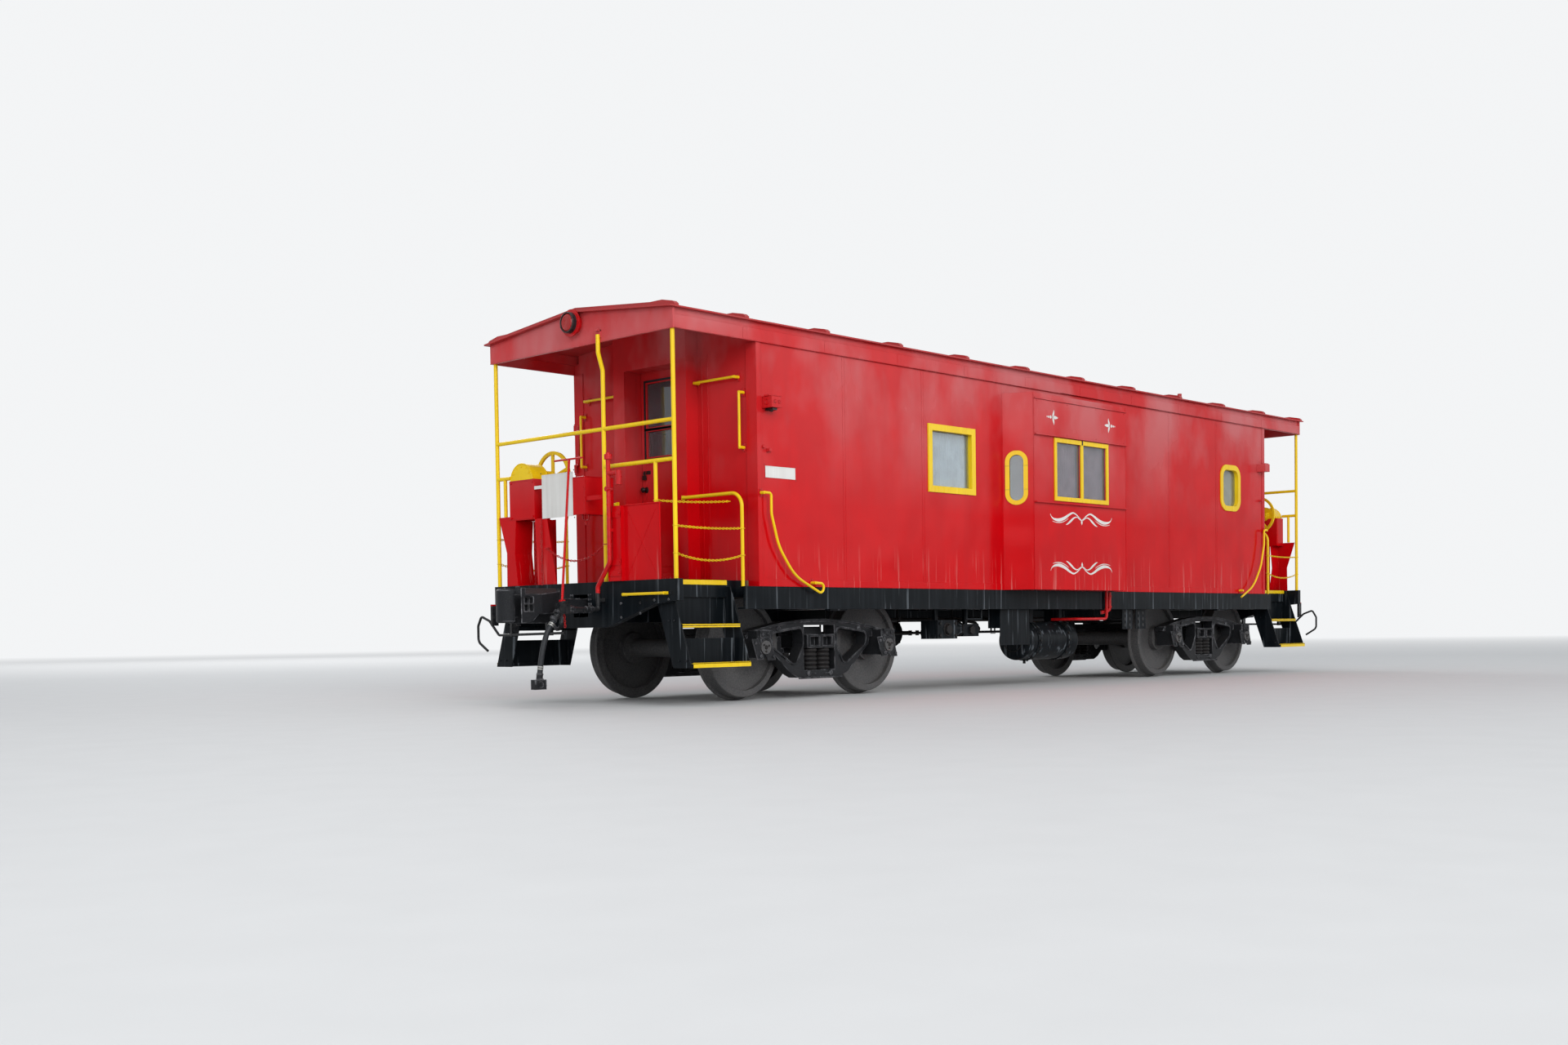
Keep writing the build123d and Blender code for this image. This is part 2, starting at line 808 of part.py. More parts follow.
with BuildPart() as roof_fittings:
    top_at = ridge_z + roof_sheet_thickness
    board_z = top_at + stringer_rise
    for walk in walk_places:
        for y in stringer_places:
            block(
                (walk["start"], walk["end"]),
                (y - stringer_half, y + stringer_half),
                (top_at - abs(y) * roof_slope, board_z),
            )
        for centre_x in (walk["start"] + cross_board_inset, walk["end"] - cross_board_inset):
            block(
                (centre_x - cross_board_half, centre_x + cross_board_half),
                (-cross_board_reach, cross_board_reach),
                (board_z, board_z + cross_board_thickness),
            )
    vent_top = top_at + vent["rise"]
    bar((vent["x"], vent["y"], ridge_z), (vent["x"], vent["y"], vent_top), vent["radius"])
    with Locations((vent["x"], vent["y"], vent_top + vent["dome"] / 2)):
        Cone(vent["radius"], vent["dome_top"], vent["dome"])
    bar((flue["x"], flue["y"], ridge_z), (flue["x"], flue["y"], top_at + flue["rise"]), flue["radius"])
    roof_top_outline = (
        (-roof_half_width, eave_z + roof_edge_thickness),
        (0, ridge_z + roof_sheet_thickness),
        (roof_half_width, eave_z + roof_edge_thickness),
        (roof_half_width, fascia_top_z),
        (-roof_half_width, fascia_top_z),
    )
    prism_x(roof_top_outline, (-roof_half_length, roof_half_length), mode=Mode.SUBTRACT)
    add(roof_ribs.part, mode=Mode.SUBTRACT)
write(roof_fittings, "roof_fittings")

# End lamps
lamp_z = up(eave_height + 33)
lamp_radius = 78
lamp_plate_radius = 120
lamp_plate_thickness = 10
lamp_neck_radius = 88
lamp_rim_width = 14
lamp_recess = 30
lens_proud = 8
lens_round = 20
lamp_plate_x = -roof_half_length - 1
lamp_front_x = lamp_plate_x - 50


def lamp_bar(start_x, end_x, radius, mode=Mode.ADD):
    bar((start_x, 0, lamp_z), (end_x, 0, lamp_z), radius, mode=mode)


with BuildPart() as near_lamp_housing:
    lamp_bar(-fascia_half_length, lamp_plate_x, lamp_neck_radius)
    lamp_bar(lamp_plate_x, lamp_plate_x - lamp_plate_thickness, lamp_plate_radius)
    lamp_bar(lamp_plate_x - lamp_plate_thickness, lamp_front_x, lamp_radius + lamp_rim_width)
    lamp_bar(lamp_front_x + lamp_recess, lamp_front_x, lamp_radius, mode=Mode.SUBTRACT)
write(both_ends(near_lamp_housing), "end_lamp_housings")

with BuildPart() as near_lamp_lens:
    lamp_bar(lamp_front_x + lamp_recess, lamp_front_x - lens_proud, lamp_radius)
    fillet(near_lamp_lens.edges().group_by(Axis.X)[0], lens_round)
write(both_ends(near_lamp_lens), "end_lamp_lenses")

# End railings
mid_post_y = -320
mid_post_reach = abs(mid_post_y) - rail_pipe_radius
jog_top_height = fascia_bottom_height + 63
jog_out_height = jog_top_height - 155
jog_in_height = jog_top_height - 305
jog_x = fascia_half_length + rail_pipe_radius
cross_rail_radius = rail_pipe_radius - 1
drop_radius = rail_pipe_radius - 2
short_rail_end = 1020
cross_rails = (
    (post_y, -post_y, top_rail_height),
    (mid_post_y, -post_y, low_rail_height),
    (post_y, short_rail_end, low_rail_height),
)
rail_drops = (-985, 1108)
jog_bend = 60

with BuildPart() as near_railing:
    bar((-rail_x, post_y, floor_top_z), (-rail_x, post_y, fascia_bottom_z), rail_pipe_radius)
    bar((-rail_x, -post_y, floor_top_z), (-rail_x, -post_y, fascia_bottom_z), rail_pipe_radius)
    bent_bar(
        (
            (-jog_x, mid_post_y, up(jog_top_height)),
            (-jog_x, mid_post_y, up(jog_out_height)),
            (-rail_x, mid_post_y, up(jog_in_height)),
            (-rail_x, mid_post_y, floor_top_z),
        ),
        jog_bend,
        rail_pipe_radius,
    )
    for start_y, end_y, height in cross_rails:
        bar((-rail_x, start_y, up(height)), (-rail_x, end_y, up(height)), cross_rail_radius)
    for drop_y in rail_drops:
        bar((-rail_x, drop_y, up(low_rail_height)), (-rail_x, drop_y, up(short_post_height)), drop_radius)

step_rail_x = 4878
step_rail_y = 1212
step_rail_radius = 16
step_rail_height = 1820
step_rail_bend = 125
step_rail_inset = 40
step_lug = {"outer": 30, "inner": 60, "half": 20}

with BuildPart() as near_step_rails:
    for side in (-1, 1):
        bent_bar(
            (
                (-step_rail_x, side * (surround_half - step_rail_inset), up(step_rail_height)),
                (-step_rail_x, side * step_rail_y, up(step_rail_height)),
                (-step_rail_x, side * step_rail_y, wall_bottom_z),
            ),
            step_rail_bend,
            step_rail_radius,
        )
        block(
            (-step_rail_x, -body_half_length - surround_depth),
            (side * (surround_half - step_lug["outer"]), side * (surround_half - step_lug["inner"])),
            (up(step_rail_height - step_lug["half"]), up(step_rail_height + step_lug["half"])),
        )
write(both_ends(near_railing, near_step_rails), "end_railings")

# Panels and boxes on the near railing
panel_x = 5705
panel_sheet = 6
panel_y = (-1055, -600)
strip_reach = 40
strip_edge_y = -430
panel_top_z = up(short_post_height)
panel_back_x = -panel_x + panel_sheet
strip_front_x = -panel_x - strip_reach

with BuildPart() as near_end_panel:
    block((-panel_x, panel_back_x), panel_y, (floor_top_z, panel_top_z))
    block((-panel_x, -rail_x), panel_y, (panel_top_z - panel_sheet, panel_top_z))
    block((strip_front_x, panel_back_x), (panel_y[1], strip_edge_y), (floor_top_z, panel_top_z))
    block(
        (strip_front_x + panel_sheet, panel_back_x),
        (panel_y[1] + panel_sheet, strip_edge_y - panel_sheet),
        (floor_top_z, panel_top_z - panel_sheet),
        mode=Mode.SUBTRACT,
    )

tool_box_sheet = 4
tool_box_x = (-5703, -5370)
tool_box_y = (-75, 85)
tool_box_z = (up(1665), up(1995))
tool_box_strap = {"x": (-5695, -5665), "bottom": 1780, "top": 1820}

with BuildPart() as near_tool_box:
    block(tool_box_x, tool_box_y, tool_box_z)
    block(
        (tool_box_x[0] + tool_box_sheet, tool_box_x[1]),
        (tool_box_y[0] + tool_box_sheet, tool_box_y[1] - tool_box_sheet),
        (tool_box_z[0] + tool_box_sheet, tool_box_z[1] - tool_box_sheet),
        mode=Mode.SUBTRACT,
    )
    block(
        tool_box_strap["x"],
        (-mid_post_reach, tool_box_y[0]),
        (up(tool_box_strap["bottom"]), up(tool_box_strap["top"])),
    )
write(both_ends(near_end_panel, near_tool_box), "end_panels")

# Hand brake: box, flared chain housing, gear case and wheel
brake_y = 835
brake_front_x = 5700
brake_back_x = 5500
brake_box_back_x = 5520
brake_box_top = 2030
brake_box_bottom = 1660
brake_box_y = (650, 1020)
brake_back_y = (600, 930)
brake_sheet = 8
brake_foot_y = (351, 610, 925, 1082)
brake_top_y = (470, 640, 940, 1188)
brake_waist = {"y": 965, "outer_y": 1077, "height": 1360, "outer_height": 1363}
brake_shoulder_height = 1700
brake_slope_height = 1640

with BuildPart() as near_brake_housing:
    box_bottom_z = up(brake_box_bottom)
    block((-brake_front_x, -brake_box_back_x), brake_box_y, (box_bottom_z, up(brake_box_top)))
    block(
        (-brake_front_x + brake_sheet, -brake_box_back_x - brake_sheet),
        (brake_box_y[0] + brake_sheet, brake_box_y[1] - brake_sheet),
        (box_bottom_z, up(brake_box_top) - brake_sheet),
        mode=Mode.SUBTRACT,
    )
    left_edge = (
        (brake_foot_y[2], floor_top_z),
        (brake_waist["y"], up(brake_waist["height"])),
        (brake_top_y[2], box_bottom_z),
    )
    left_face = (
        (brake_top_y[3], up(brake_shoulder_height)),
        (brake_waist["outer_y"], up(brake_waist["outer_height"])),
        (brake_foot_y[3], floor_top_z),
        *left_edge,
        (brake_top_y[2], up(brake_shoulder_height)),
    )
    right_face = (
        (brake_top_y[1], box_bottom_z),
        (brake_foot_y[1], floor_top_z),
        (brake_foot_y[0], floor_top_z),
        (brake_top_y[0], up(brake_slope_height)),
        (brake_top_y[0], box_bottom_z),
    )
    left_cheek = (*left_edge, *((y - brake_sheet, z) for y, z in reversed(left_edge)))
    right_cheek = (
        (brake_top_y[1], box_bottom_z),
        (brake_foot_y[1], floor_top_z),
        (brake_foot_y[1] + brake_sheet, floor_top_z),
        (brake_top_y[1] + brake_sheet, box_bottom_z),
    )
    for face in (left_face, right_face):
        prism_x(face, (-brake_front_x, -brake_front_x + brake_sheet))
    for cheek in (left_cheek, right_cheek):
        prism_x(cheek, (-brake_front_x, -brake_back_x))
    block((-brake_back_x, -brake_back_x + brake_sheet), brake_back_y, (floor_top_z, box_bottom_z))
write(both_ends(near_brake_housing), "brake_housings")

brake_wheel_x = 5330
brake_wheel_radius = 250
brake_rim_width = 32
brake_rim_half = 12
brake_spoke = {"count": 5, "width": 34, "half": 8, "short": 20}
brake_boss_radius = 52
brake_hub_radius = 40
brake_hub_length = 30
gear_case_half = 165
gear_case_rise = 150
gear_neck_radius = 62
wheel_hub_z = up(brake_box_top + 40)
gear_case_plane = Plane(origin=(-brake_front_x, brake_y, up(brake_box_top)), x_dir=(0, 1, 0), z_dir=(1, 0, 0))

with BuildPart() as near_gear_case:
    with BuildSketch(gear_case_plane):
        with BuildLine():
            Line((-gear_case_half, 0), (gear_case_half, 0))
            ThreePointArc((gear_case_half, 0), (0, gear_case_rise), (-gear_case_half, 0))
        make_face()
    extrude(amount=brake_front_x - brake_box_back_x)
    bar(
        (-brake_box_back_x, brake_y, wheel_hub_z),
        (-brake_wheel_x - brake_hub_length, brake_y, wheel_hub_z),
        gear_neck_radius,
    )
write(both_ends(near_gear_case), "brake_gear_cases")

with BuildPart() as near_brake_wheel:
    wheel_plane = Plane(origin=(-brake_wheel_x, brake_y, wheel_hub_z), z_dir=(1, 0, 0))
    with BuildSketch(wheel_plane):
        Circle(brake_wheel_radius)
        Circle(brake_wheel_radius - brake_rim_width, mode=Mode.SUBTRACT)
    extrude(amount=brake_rim_half, both=True)
    with BuildSketch(wheel_plane):
        Circle(brake_boss_radius)
        with PolarLocations(brake_wheel_radius / 2, brake_spoke["count"]):
            Rectangle(brake_wheel_radius - brake_spoke["short"], brake_spoke["width"])
    extrude(amount=brake_spoke["half"], both=True)
    bar(
        (-brake_wheel_x - brake_hub_length, brake_y, wheel_hub_z),
        (-brake_wheel_x, brake_y, wheel_hub_z),
        brake_hub_radius,
    )
write(both_ends(near_brake_wheel), "brake_wheels")

# Blank plates: the square one on its carrying strip, and a small one on the side
plate_thickness = 4
square_plate = {"y": (95, 520), "bottom": 1665, "top": 2040}
plate_strip = {"y": (85, 650), "bottom": 1930, "top": 1960, "thickness": 12}
side_plate = {"x": (-4611, -4233), "bottom": 1967, "top": 2060}

with BuildPart() as near_plates:
    block(
        (-brake_front_x - plate_thickness, -brake_front_x),
        square_plate["y"],
        (up(square_plate["bottom"]), up(square_plate["top"])),
    )
    block(
        (-brake_front_x, -brake_front_x + plate_strip["thickness"]),
        plate_strip["y"],
        (up(plate_strip["bottom"]), up(plate_strip["top"])),
    )
    block(
        side_plate["x"],
        (-body_half_width - plate_thickness, -body_half_width),
        (up(side_plate["bottom"]), up(side_plate["top"])),
    )
write(both_ends(near_plates), "blank_plates")

# Grab irons
grab_radius = 12
grab_foot_radius = grab_radius + 2
grab_foot_past = 4
side_grab_y = 1302
side_grab_route = (
    (-4684, 1822),
    (-4600, 1822),
    (-4600, 1640),
    (-4512, 1352),
    (-4312, 1095),
    (-3925, 925),
    (-3925, 1030),
    (-4030, 1036),
)
side_grab_bends = (30, 150, 500, 500, 45, 40)

with BuildPart() as left_grabs:
    for end in (1, -1):
        bent_bar([(end * x, -side_grab_y, up(z)) for x, z in side_grab_route], side_grab_bends, grab_radius)
        for (x, z), foot_y in (
            (side_grab_route[0], body_half_width + post_thickness),
            (side_grab_route[-1], body_half_width),
        ):
            bar((end * x, -foot_y, up(z)), (end * x, -side_grab_y - grab_foot_past, up(z)), grab_foot_radius)

end_grab_x = body_half_length + 64
sill_grab_x = end_sill_x + end_sill_thickness
sill_grab_reach = 50
sill_grab_height = 935
sill_grab_span = (630, 1150)
end_grabs = (
    {"start": (520, 2857), "end": (1030, 2857)},
    {"start": (1090, 2230), "end": (1090, 2715)},
)

with BuildPart() as near_end_grabs:
    for side in (-1, 1):
        for grab in end_grabs:
            feet = [(side * y, up(z)) for y, z in (grab["start"], grab["end"])]
            bar((-end_grab_x, *feet[0]), (-end_grab_x, *feet[1]), grab_radius)
            for foot in feet:
                bar((-body_half_length, *foot), (-end_grab_x - grab_foot_past, *foot), grab_foot_radius)
        sill_feet = [(side * y, up(sill_grab_height)) for y in sill_grab_span]
        sill_grab_front = -sill_grab_x - sill_grab_reach
        bar((sill_grab_front, *sill_feet[0]), (sill_grab_front, *sill_feet[1]), grab_radius)
        for foot in sill_feet:
            bar((-sill_grab_x, *foot), (sill_grab_front - grab_foot_past, *foot), grab_foot_radius)
write(both_ends(left_grabs, near_end_grabs), "grab_irons")

# Marker brackets at the corners
marker_blocks = (
    {"x": (4640, 4520), "y": (-1365, -body_half_width), "bottom": 2570, "top": 2668},
    {"x": (4650, 4560), "y": (-1345, -1285), "bottom": 2668, "top": 2680},
    {"x": (4600, 4570), "y": (-1290, -body_half_width), "bottom": 2190, "top": 2215},
)

with BuildPart() as left_markers:
    for end in (-1, 1):
        for row in marker_blocks:
            block([end * x for x in row["x"]], row["y"], (up(row["bottom"]), up(row["top"])))
write(both_ends(left_markers), "marker_brackets")

# Brake pipe, valve and valve rod at the end
pipe_radius = 20
pipe_y = -335
cock_x = 6190
riser_x = 5775
riser_y = -481
pipe_run_height = 815
cock_top = 865
hose_start = Vector(-cock_x - 75, pipe_y, up(745))
hose_lead = Vector(-65, 0, -75).normalized()
hose_first_run = 115

riser_top = 2165
riser_bends = (60, 60, 22)
riser_offset = {"y": pipe_y + 20, "high": 1215, "low": 1010}
riser_cap = {"radius": 34, "bottom": 2105, "top": 2150}
branch = {"height": 1985, "reach": 150, "nozzle_y": 135, "nozzle_top": 2000, "nozzle_bottom": 1880, "radius": 26}
riser_valve = {"height": 1850, "back": 33, "front": 30, "radius": 22}
riser_clip = {"bottom": 1480, "top": 1510}
pipe_clip = {"width": 40, "bottom": 880, "top": 910}
cock_back = 60
cock_front = 45
cock_half = 38
cock_bottom = 775
hose_socket = {"length": 100, "radius": 27}

with BuildPart() as near_air_pipe:
    bent_bar(
        (
            (-riser_x, riser_y, up(riser_top)),
            (-riser_x, riser_y, up(riser_offset["high"])),
            (-riser_x, riser_offset["y"], up(riser_offset["low"])),
            (-riser_x, riser_offset["y"], up(pipe_run_height)),
            (-cock_x + cock_back, pipe_y, up(pipe_run_height)),
        ),
        riser_bends,
        pipe_radius,
    )
    bar((-riser_x, riser_y, up(riser_cap["bottom"])), (-riser_x, riser_y, up(riser_cap["top"])), riser_cap["radius"])
    branch_z = up(branch["height"])
    nozzle_y = riser_y - branch["nozzle_y"]
    bar((-riser_x, riser_y, branch_z), (-riser_x, riser_y - branch["reach"], branch_z), pipe_radius)
    bar(
        (-riser_x, nozzle_y, up(branch["nozzle_top"])),
        (-riser_x, nozzle_y, up(branch["nozzle_bottom"])),
        branch["radius"],
    )
    valve_z = up(riser_valve["height"])
    bar(
        (-riser_x + riser_valve["back"], riser_y, valve_z),
        (-riser_x - riser_valve["front"], riser_y, valve_z),
        riser_valve["radius"],
    )
    block(
        (-riser_x, -panel_x - strip_reach),
        (riser_y - pipe_radius, riser_y + pipe_radius),
        (up(riser_clip["bottom"]), up(riser_clip["top"])),
    )
    block(
        (-riser_x, -end_sill_x - end_sill_thickness),
        (pipe_y, pipe_y + pipe_clip["width"]),
        (up(pipe_clip["bottom"]), up(pipe_clip["top"])),
    )

with BuildPart() as near_angle_cock:
    block(
        (-cock_x - cock_front, -cock_x + cock_back),
        (pipe_y - cock_half, pipe_y + cock_half),
        (up(cock_bottom), up(cock_top)),
    )
    bar(tuple(hose_start - hose_lead * hose_socket["length"]), tuple(hose_start), hose_socket["radius"])

rod_x = 5780
rod_y = 40
rod_height = 2150
rod_radius = 11
rod_handle = {"y": (-145, 245), "radius": 9}
rod_socket = {"x": 22, "y": 16, "rise": 30}

with BuildPart() as near_rod:
    handle_ends = [(-rod_x, y, up(rod_height)) for y in rod_handle["y"]]
    bar((-rod_x, rod_y, up(rod_height)), (-cock_x, pipe_y, up(cock_top + rod_socket["rise"] / 2)), rod_radius)
    bar(*handle_ends, rod_handle["radius"])
    block(
        (-cock_x - rod_socket["x"], -cock_x + rod_socket["x"]),
        (pipe_y - rod_socket["y"], pipe_y + rod_socket["y"]),
        (up(cock_top), up(cock_top + rod_socket["rise"])),
    )

# Air hose: straight runs joined by tangent arcs, hanging from the angle cock
hose_radius = 24
hose_points = (
    tuple(hose_start),
    tuple(hose_start + hose_lead * hose_first_run),
    (-cock_x - 195, pipe_y + 6, up(535)),
    (-cock_x - 225, pipe_y + 14, up(405)),
    (-cock_x - 235, pipe_y + 22, up(275)),
)


def tangent_radii(points):
    radii = []
    for before, at, after in zip(points, points[1:], points[2:]):
        first = Vector(*at) - Vector(*before)
        second = Vector(*after) - Vector(*at)
        turn = math.radians(first.get_angle(second))
        radii.append(0.45 * min(first.length, second.length) / math.tan(turn / 2))
    return radii


hose_radii = tangent_radii(hose_points)
print("hose radii", [round(radius) for radius in hose_radii])

with BuildPart() as near_hose:
    with BuildLine() as hose_line:
        FilletPolyline(*hose_points, radius=hose_radii)
    with BuildSketch(Plane(origin=hose_line.line @ 0, z_dir=hose_line.line % 0)):
        Circle(hose_radius)
    sweep(path=hose_line.line)
hose_section = math.pi * hose_radius**2
print("hose volume", round(near_hose.part.volume), "expected", round(hose_section * hose_line.wire().length))
write_pair(near_hose, "near_air_hose", "far_air_hose")

hose_end = hose_line.line @ 1
hose_exit = hose_line.line % 1

ferrule = {"length": 60, "radius": 28}
gladhand = {"front": 75, "back": 45, "half": 30, "bottom": 140, "top": 55}

with BuildPart() as near_gladhand:
    bar(tuple(hose_end), tuple(hose_end + hose_exit * ferrule["length"]), ferrule["radius"])
    block(
        (hose_end.X - gladhand["front"], hose_end.X + gladhand["back"]),
        (hose_end.Y - gladhand["half"], hose_end.Y + gladhand["half"]),
        (hose_end.Z - gladhand["bottom"], hose_end.Z - gladhand["top"]),
    )
write_pair(near_gladhand, "near_gladhand", "far_gladhand")

# Couplers
coupler_z = up(coupler_height)
knuckle_pin = (-6310, 120)
knuckle_pin_radius = 20
head_half_height = 150
head_outline = (
    (-6060, -150),
    (-6060, 150),
    (-6215, 200),
    (-6215, 20),
    (-6300, 0),
    (-6310, -60),
    (-6420, -110),
    (-6520, -195),
    (-6300, -200),
)

guard_face_y = -200
guard_pocket_x = (-6488, -6390)
guard_pocket_depth = 80
guard_pockets = ({"bottom": 800, "top": 856}, {"bottom": 868, "top": 924})
guard_cut_past = 10
shoulder_x = (-6470, -6070)
shoulder_cut = ((0, 90), (0, 155), (-120, 155))
heel_cut = ((-6420, 695), (-6050, 695), (-6050, 790), (-6330, 775))
shank_x = (-6080, -5270)
lug_height = 44
lug_radius = 80
lug_x = (-6310, -6200)
lug_y = (45, 195)

with BuildPart() as near_coupler:
    block(shank_x, (-shank_half, shank_half), (coupler_z - shank_half, coupler_z + shank_half))
    bar(
        (-coupler_pin_x, 0, coupler_z - shank_half),
        (-coupler_pin_x, 0, coupler_z + shank_half),
        coupler_pin_radius + pin_clearance,
        mode=Mode.SUBTRACT,
    )
    prism_z(head_outline, (coupler_z - head_half_height, coupler_z + head_half_height))
    for pocket in guard_pockets:
        block(
            guard_pocket_x,
            (guard_face_y - guard_cut_past, guard_face_y + guard_pocket_depth),
            (up(pocket["bottom"]), up(pocket["top"])),
            mode=Mode.SUBTRACT,
        )
    prism_x(
        [(guard_face_y - guard_cut_past - run, coupler_z + rise) for run, rise in shoulder_cut],
        shoulder_x,
        mode=Mode.SUBTRACT,
    )
    prism_y(
        [(x, up(height)) for x, height in heel_cut],
        (guard_face_y - 2 * guard_cut_past, -shank_half),
        mode=Mode.SUBTRACT,
    )
    for low in (coupler_z - head_half_height, coupler_z + head_half_height - lug_height):
        bar((*knuckle_pin, low), (*knuckle_pin, low + lug_height), lug_radius)
        block(lug_x, lug_y, (low, low + lug_height))
    bar(
        (*knuckle_pin, coupler_z - head_half_height),
        (*knuckle_pin, coupler_z + head_half_height),
        knuckle_pin_radius + pin_clearance,
        mode=Mode.SUBTRACT,
    )
write(both_ends(near_coupler), "couplers")

knuckle_half_height = 100
nose_half_height = 146
nose_back_x = -6404
nose_round = 14
knuckle_eye_radius = 74
pin_past_head = 20
nose_outer = (-6452, 194)
nose_tip = (-6548, 84)
nose_inner = (-6462, -34)
knuckle_outline = (
    nose_inner,
    (-6450, 60),
    (-6390, 70),
    (-6330, 50),
    (-6300, 190),
    nose_outer,
)
nose_outline = (nose_inner, (-6450, 60), (nose_back_x, 68), (nose_back_x, nose_outer[1]), nose_outer)


def knuckle_prism(outline, half_height):
    with BuildSketch(Plane.XY.offset(coupler_z - half_height)) as plan:
        with BuildLine():
            Polyline(*outline)
            ThreePointArc(nose_outer, nose_tip, nose_inner)
        make_face()
    extrude(plan.sketch, amount=2 * half_height)


with BuildPart() as knuckle_nose:
    knuckle_prism(nose_outline, nose_half_height)
    nose_faces = knuckle_nose.faces().sort_by(Axis.Z)
    chamfer(nose_faces[0].edges() + nose_faces[-1].edges(), nose_round)

with BuildPart() as near_knuckle:
    bar(
        (*knuckle_pin, coupler_z - knuckle_half_height),
        (*knuckle_pin, coupler_z + knuckle_half_height),
        knuckle_eye_radius,
    )
    knuckle_prism(knuckle_outline, knuckle_half_height)
    add(knuckle_nose.part)
    bar(
        (*knuckle_pin, coupler_z - head_half_height - pin_past_head),
        (*knuckle_pin, coupler_z + head_half_height + pin_past_head),
        knuckle_pin_radius,
    )
write(both_ends(near_knuckle), "coupler_knuckles")

lever_x = 5770
lever_radius = 12
lever_route = ((160, 612), (1130, 600), (1275, 735), (1400, 780), (1455, 690), (1455, 540), (1310, 455))
lever_bends = (40, 40, 30, 40, 70)
bracket_width = 25
lever_brackets = (
    {"y": 395, "bottom": 592, "top": 765},
    {"y": 920, "bottom": 586, "top": 888},
    {"y": 1215, "bottom": 690, "top": 890},
)

with BuildPart() as near_lever:
    bent_bar([(-lever_x, y, up(height)) for y, height in lever_route], lever_bends, lever_radius)
    for bracket in lever_brackets:
        block(
            (-lever_x - lever_radius, -end_sill_x - end_sill_thickness),
            (bracket["y"], bracket["y"] + bracket_width),
            (up(bracket["bottom"]), up(bracket["top"])),
        )
write(both_ends(near_rod, near_lever), "control_rods")

# Chains: plain bars here, one for each run of links
chain_radius = 7


def chain_run(start, end, sag):
    middle = (Vector(*start) + Vector(*end)) * 0.5 - Vector(0, 0, sag)
    with BuildLine() as route:
        if sag:
            ThreePointArc(start, tuple(middle), end)
        else:
            Line(start, end)
    with BuildSketch(Plane(origin=route.line @ 0, z_dir=route.line % 0)) as profile:
        Circle(chain_radius)
    sweep(profile.sketch, path=route.line)


hook_reach = 14
hook_x = -brake_front_x - hook_reach
hook_half = 10
hook_back = 4
hooks = ({"y": 455, "height": 1384}, {"y": 540, "height": 1640})
side_chains = ({"post": 1500, "rail": 1505, "sag": 0}, {"post": 1270, "rail": 1270, "sag": 55})
hung_chain_top_z = up(brake_box_top) - brake_sheet
end_chains = (
    {"start": (-rail_x, rail_drops[0], up(1725)), "end": (-step_rail_x, -1040, up(1750)), "sag": 0},
    {"start": (-rail_x, mid_post_y, up(1384)), "end": (hook_x, 455, up(1384)), "sag": 130},
    {"start": (hook_x, 540, up(1640)), "end": (hook_x, 540, floor_top_z), "sag": 0},
    {"start": (-5600, 780, hung_chain_top_z), "end": (-5600, 780, floor_top_z), "sag": 0},
    {"start": (-cock_x + 20, pipe_y, up(800)), "end": (-cock_x + 60, pipe_y + 40, up(660)), "sag": 0},
)

with BuildPart() as near_chains:
    for side in (-1, 1):
        for row in side_chains:
            post = (-rail_x, side * post_y, up(row["post"]))
            rail = (-step_rail_x, side * step_rail_y, up(row["rail"]))
            chain_run(post, rail, row["sag"])
    for row in end_chains:
        chain_run(row["start"], row["end"], row["sag"])
    for hook in hooks:
        block(
            (hook_x - hook_back, -brake_front_x),
            (hook["y"] - hook_half, hook["y"] + hook_half),
            (up(hook["height"] - hook_half), up(hook["height"] + hook_half)),
        )
    for carrier in (near_railing, near_step_rails, near_angle_cock, near_air_pipe):
        add(carrier.part, mode=Mode.SUBTRACT)
write(both_ends(near_chains), "chains")

# Equipment under the floor, on the left of the car
reservoir_x = (-300, 700)
reservoir_y = -820
reservoir_radius = 215
reservoir_z = up(460)
reservoir_end_round = 60

with BuildPart() as reservoir:
    bar((reservoir_x[0], reservoir_y, reservoir_z), (reservoir_x[1], reservoir_y, reservoir_z), reservoir_radius)
    fillet(reservoir.edges().filter_by(GeomType.CIRCLE), reservoir_end_round)
write(reservoir, "air_reservoir")

strap_positions = (-120, 450)
strap_width = 60
strap_thickness = 8
strap_half = 100
plate_y = (-1158, -1150)
hanger_y = (-1170, -1155)
equipment_sheets = (
    {"x": (-1000, -470), "y": plate_y, "bottom": 420, "top_z": sill_bottom_z},
    {"x": (-1000, -940), "y": (-1150, -1000), "bottom": 600, "top_z": sill_bottom_z},
    {"x": (1400, 1620), "y": plate_y, "bottom": 570, "top_z": sill_bottom_z},
    {"x": (1690, 1910), "y": plate_y, "bottom": 570, "top_z": sill_bottom_z},
    {"x": (-1598, -1582), "y": hanger_y, "bottom": 700, "top_z": sill_bottom_z},
    {"x": (-1348, -1332), "y": hanger_y, "bottom": 700, "top_z": sill_bottom_z},
    {"x": (-1598, -1332), "y": hanger_y, "bottom": 690, "top_z": up(706)},
)

with BuildPart() as reservoir_straps:
    for x in strap_positions:
        strap_ends = [(end_x, reservoir_y, reservoir_z) for end_x in (x, x + strap_width)]
        bar(*strap_ends, reservoir_radius + strap_thickness)
        block(
            (x, x + strap_width),
            (reservoir_y - strap_half, reservoir_y + strap_half),
            (reservoir_z, wall_bottom_z),
        )
        bar(*strap_ends, reservoir_radius, mode=Mode.SUBTRACT)

with BuildPart() as equipment_plates:
    for row in equipment_sheets:
        block(row["x"], row["y"], (up(row["bottom"]), row["top_z"]))
with BuildPart() as equipment_brackets:
    add(reservoir_straps.part)
    add(equipment_plates.part)
write(equipment_brackets, "equipment_brackets")

